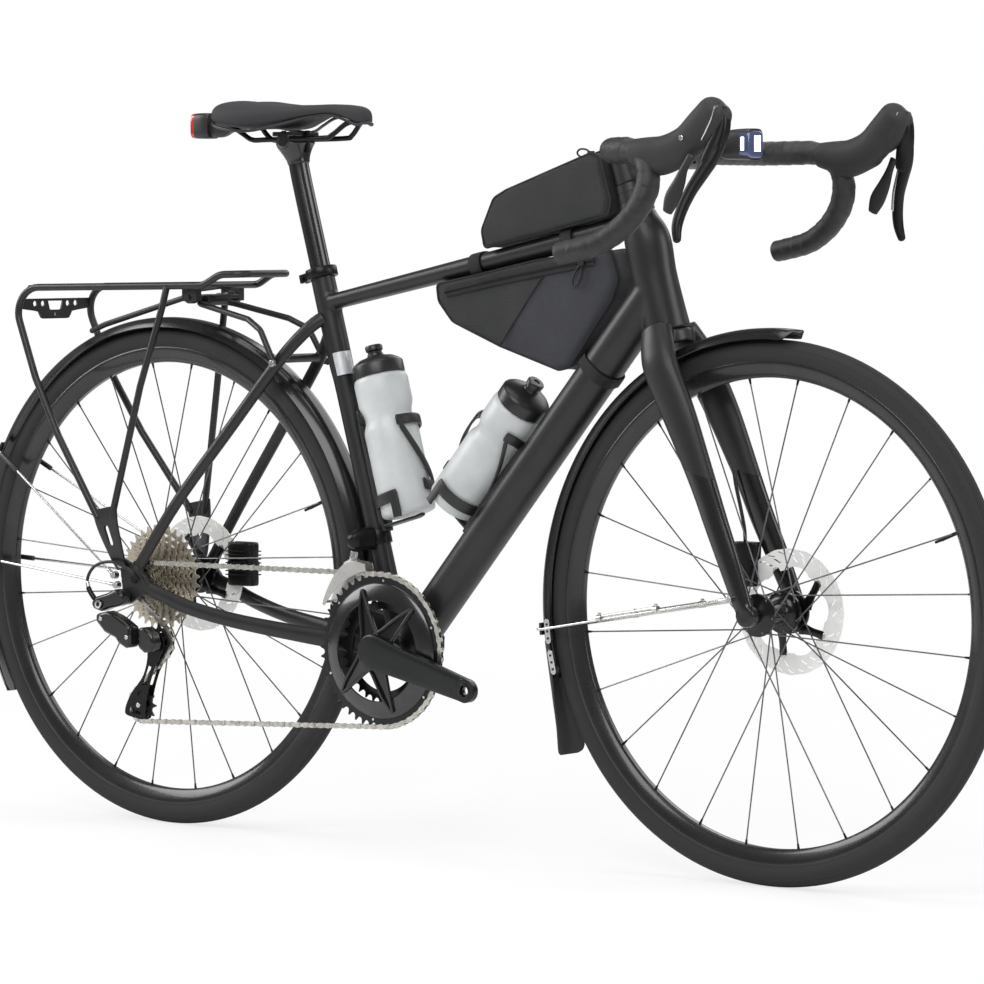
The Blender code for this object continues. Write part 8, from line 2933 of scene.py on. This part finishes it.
@dataclass
class Studio:
    """Floor, lamps, world and camera of the photo."""

    camera_at: tuple[float, float, float] = (3.8927, -4.8437, 0.8405)
    camera_turn: tuple[float, float, float] = (86.649, 0.0, 38.311)
    lens: float = 173.2
    floor_half: float = 60.0

    def world(self) -> None:
        """Dim pale surroundings that show as white behind the bike."""
        world = bpy.data.worlds.new("Studio")
        bpy.context.scene.world = world
        world.use_nodes = True
        tree = world.node_tree
        back = tree.nodes["Background"]
        path = tree.nodes.new("ShaderNodeLightPath")
        seen = tree.nodes.new("ShaderNodeMath")
        seen.operation = "MAXIMUM"
        tree.links.new(path.outputs["Is Camera Ray"], seen.inputs[0])
        tree.links.new(path.outputs["Is Transmission Ray"], seen.inputs[1])
        strength = tree.nodes.new("ShaderNodeMapRange")
        strength.inputs["To Min"].default_value = 0.2
        strength.inputs["To Max"].default_value = 1.0
        tree.links.new(seen.outputs[0], strength.inputs["Value"])
        tree.links.new(strength.outputs["Result"], back.inputs["Strength"])
        back.inputs["Color"].default_value = (1.0, 1.0, 1.0, 1.0)

    def floor(self) -> None:
        """Plain pale floor that fades to white and keeps the bike's shadow."""
        bm = bmesh.new()
        bmesh.ops.create_grid(bm, x_segments=1, y_segments=1, size=self.floor_half)
        mesh = bpy.data.meshes.new("floor")
        bm.to_mesh(mesh)
        bm.free()
        floor = bpy.data.objects.new("floor", mesh)
        bpy.context.scene.collection.objects.link(floor)
        graph = Graph("floor_white")
        tree = graph.tree
        shader = graph.shader
        shader.inputs["Base Color"].default_value = (0.86, 0.86, 0.86, 1.0)
        shader.inputs["Roughness"].default_value = 0.9
        shader.inputs["Specular IOR Level"].default_value = 0.0
        coordinates = graph.node("ShaderNodeTexCoord")
        length = graph.node("ShaderNodeVectorMath", operation="LENGTH")
        graph.link(coordinates.outputs["Object"], length.inputs[0])
        fade = graph.node("ShaderNodeMapRange")
        fade.inputs["From Min"].default_value = 1.1
        fade.inputs["From Max"].default_value = 2.6
        fade.inputs["To Min"].default_value = 0.72
        fade.inputs["To Max"].default_value = 1.0
        graph.link(length.outputs["Value"], fade.inputs["Value"])
        path = graph.node("ShaderNodeLightPath")
        seen = graph.maths("MAXIMUM", path.outputs["Is Camera Ray"], path.outputs["Is Transmission Ray"])
        share = graph.maths("MULTIPLY", fade.outputs["Result"], seen)
        white = graph.node("ShaderNodeEmission", in_Color=(1.0, 1.0, 1.0, 1.0), in_Strength=1.0)
        mix = graph.node("ShaderNodeMixShader")
        graph.link(share, mix.inputs[0])
        graph.link(shader.outputs[0], mix.inputs[1])
        graph.link(white.outputs[0], mix.inputs[2])
        tree.links.new(mix.outputs[0], tree.nodes["Material Output"].inputs["Surface"])
        mesh.materials.append(graph.material)

    def lamp(self, name: str, spot: Row, aim: Row, size: Row, watts: float) -> None:
        """Soft area lamp.

        Args:
            name: its name.
            spot: where it stands.
            aim: what it points at.
            size: its width and height.
            watts: its power.
        """
        data = bpy.data.lights.new(name, "AREA")
        data.shape = "RECTANGLE"
        data.size, data.size_y = size
        data.energy = watts
        lamp = bpy.data.objects.new(name, data)
        lamp.location = spot
        lamp.rotation_euler = (Vector(spot) - Vector(aim)).to_track_quat("Z", "Y").to_euler()
        bpy.context.scene.collection.objects.link(lamp)

    def build(self) -> None:
        """Sets the view up."""
        scene = bpy.context.scene
        scene.view_settings.view_transform = "Standard"
        self.world()
        self.floor()
        self.lamp("key", (1.2, -3.6, 3.4), (0.0, 0.0, 0.5), (3.2, 2.2), 115.0)
        self.lamp("front", (4.2, 0.6, 2.2), (0.2, 0.0, 0.5), (2.2, 2.4), 75.0)
        self.lamp("rear", (-3.6, -1.6, 2.4), (-0.2, 0.0, 0.5), (2.0, 2.4), 95.0)
        self.lamp("far", (0.0, 3.4, 2.6), (0.0, 0.0, 0.5), (4.0, 2.0), 55.0)
        self.lamp("top", (0.0, 0.0, 3.8), (0.0, 0.0, 0.5), (3.0, 2.0), 50.0)
        data = bpy.data.cameras.new("photo_view")
        data.lens = self.lens
        data.sensor_width = 36.0
        data.clip_end = 200.0
        camera = bpy.data.objects.new("photo_view", data)
        camera.location = self.camera_at
        camera.rotation_euler = [math.radians(degrees) for degrees in self.camera_turn]
        scene.collection.objects.link(camera)
        scene.camera = camera


def main() -> None:
    """Builds the bike's looks, sub-assembly by sub-assembly."""
    logging.basicConfig(level=logging.INFO, format="%(name)s %(message)s")
    seat_base = BOTTOM_BRACKET + SEAT_DIRECTION * 0.168 - SEAT_BACKWARDS * 0.0605
    lean = math.radians(49.7)
    parts = (
        FrameSet(), Fork(), Seat(), Cockpit(), Guards(), Rack(), Brakes(), Bags(),
        Wheel("rear", REAR_AXLE, 0.034, -0.0175, 0.071, 0.0555),
        Wheel("front", FRONT_AXLE, 0.0225, -0.033, 0.05, 0.0395), Drivetrain(),
        Bottle("seat_tube", seat_base, SEAT_DIRECTION, SEAT_BACKWARDS, 0.232, 0.048),
        Bottle(
            "down_tube", at(0.4965, 0.0, 0.461), outwards(lean),
            Vector((math.sin(lean), 0.0, -math.cos(lean))), 0.215, 0.0446,
        ),
    )
    for part in parts:
        LOG.info("%s: %d pieces", type(part).__name__, part.build())
    Studio().build()


if __name__ == "__main__":
    main()
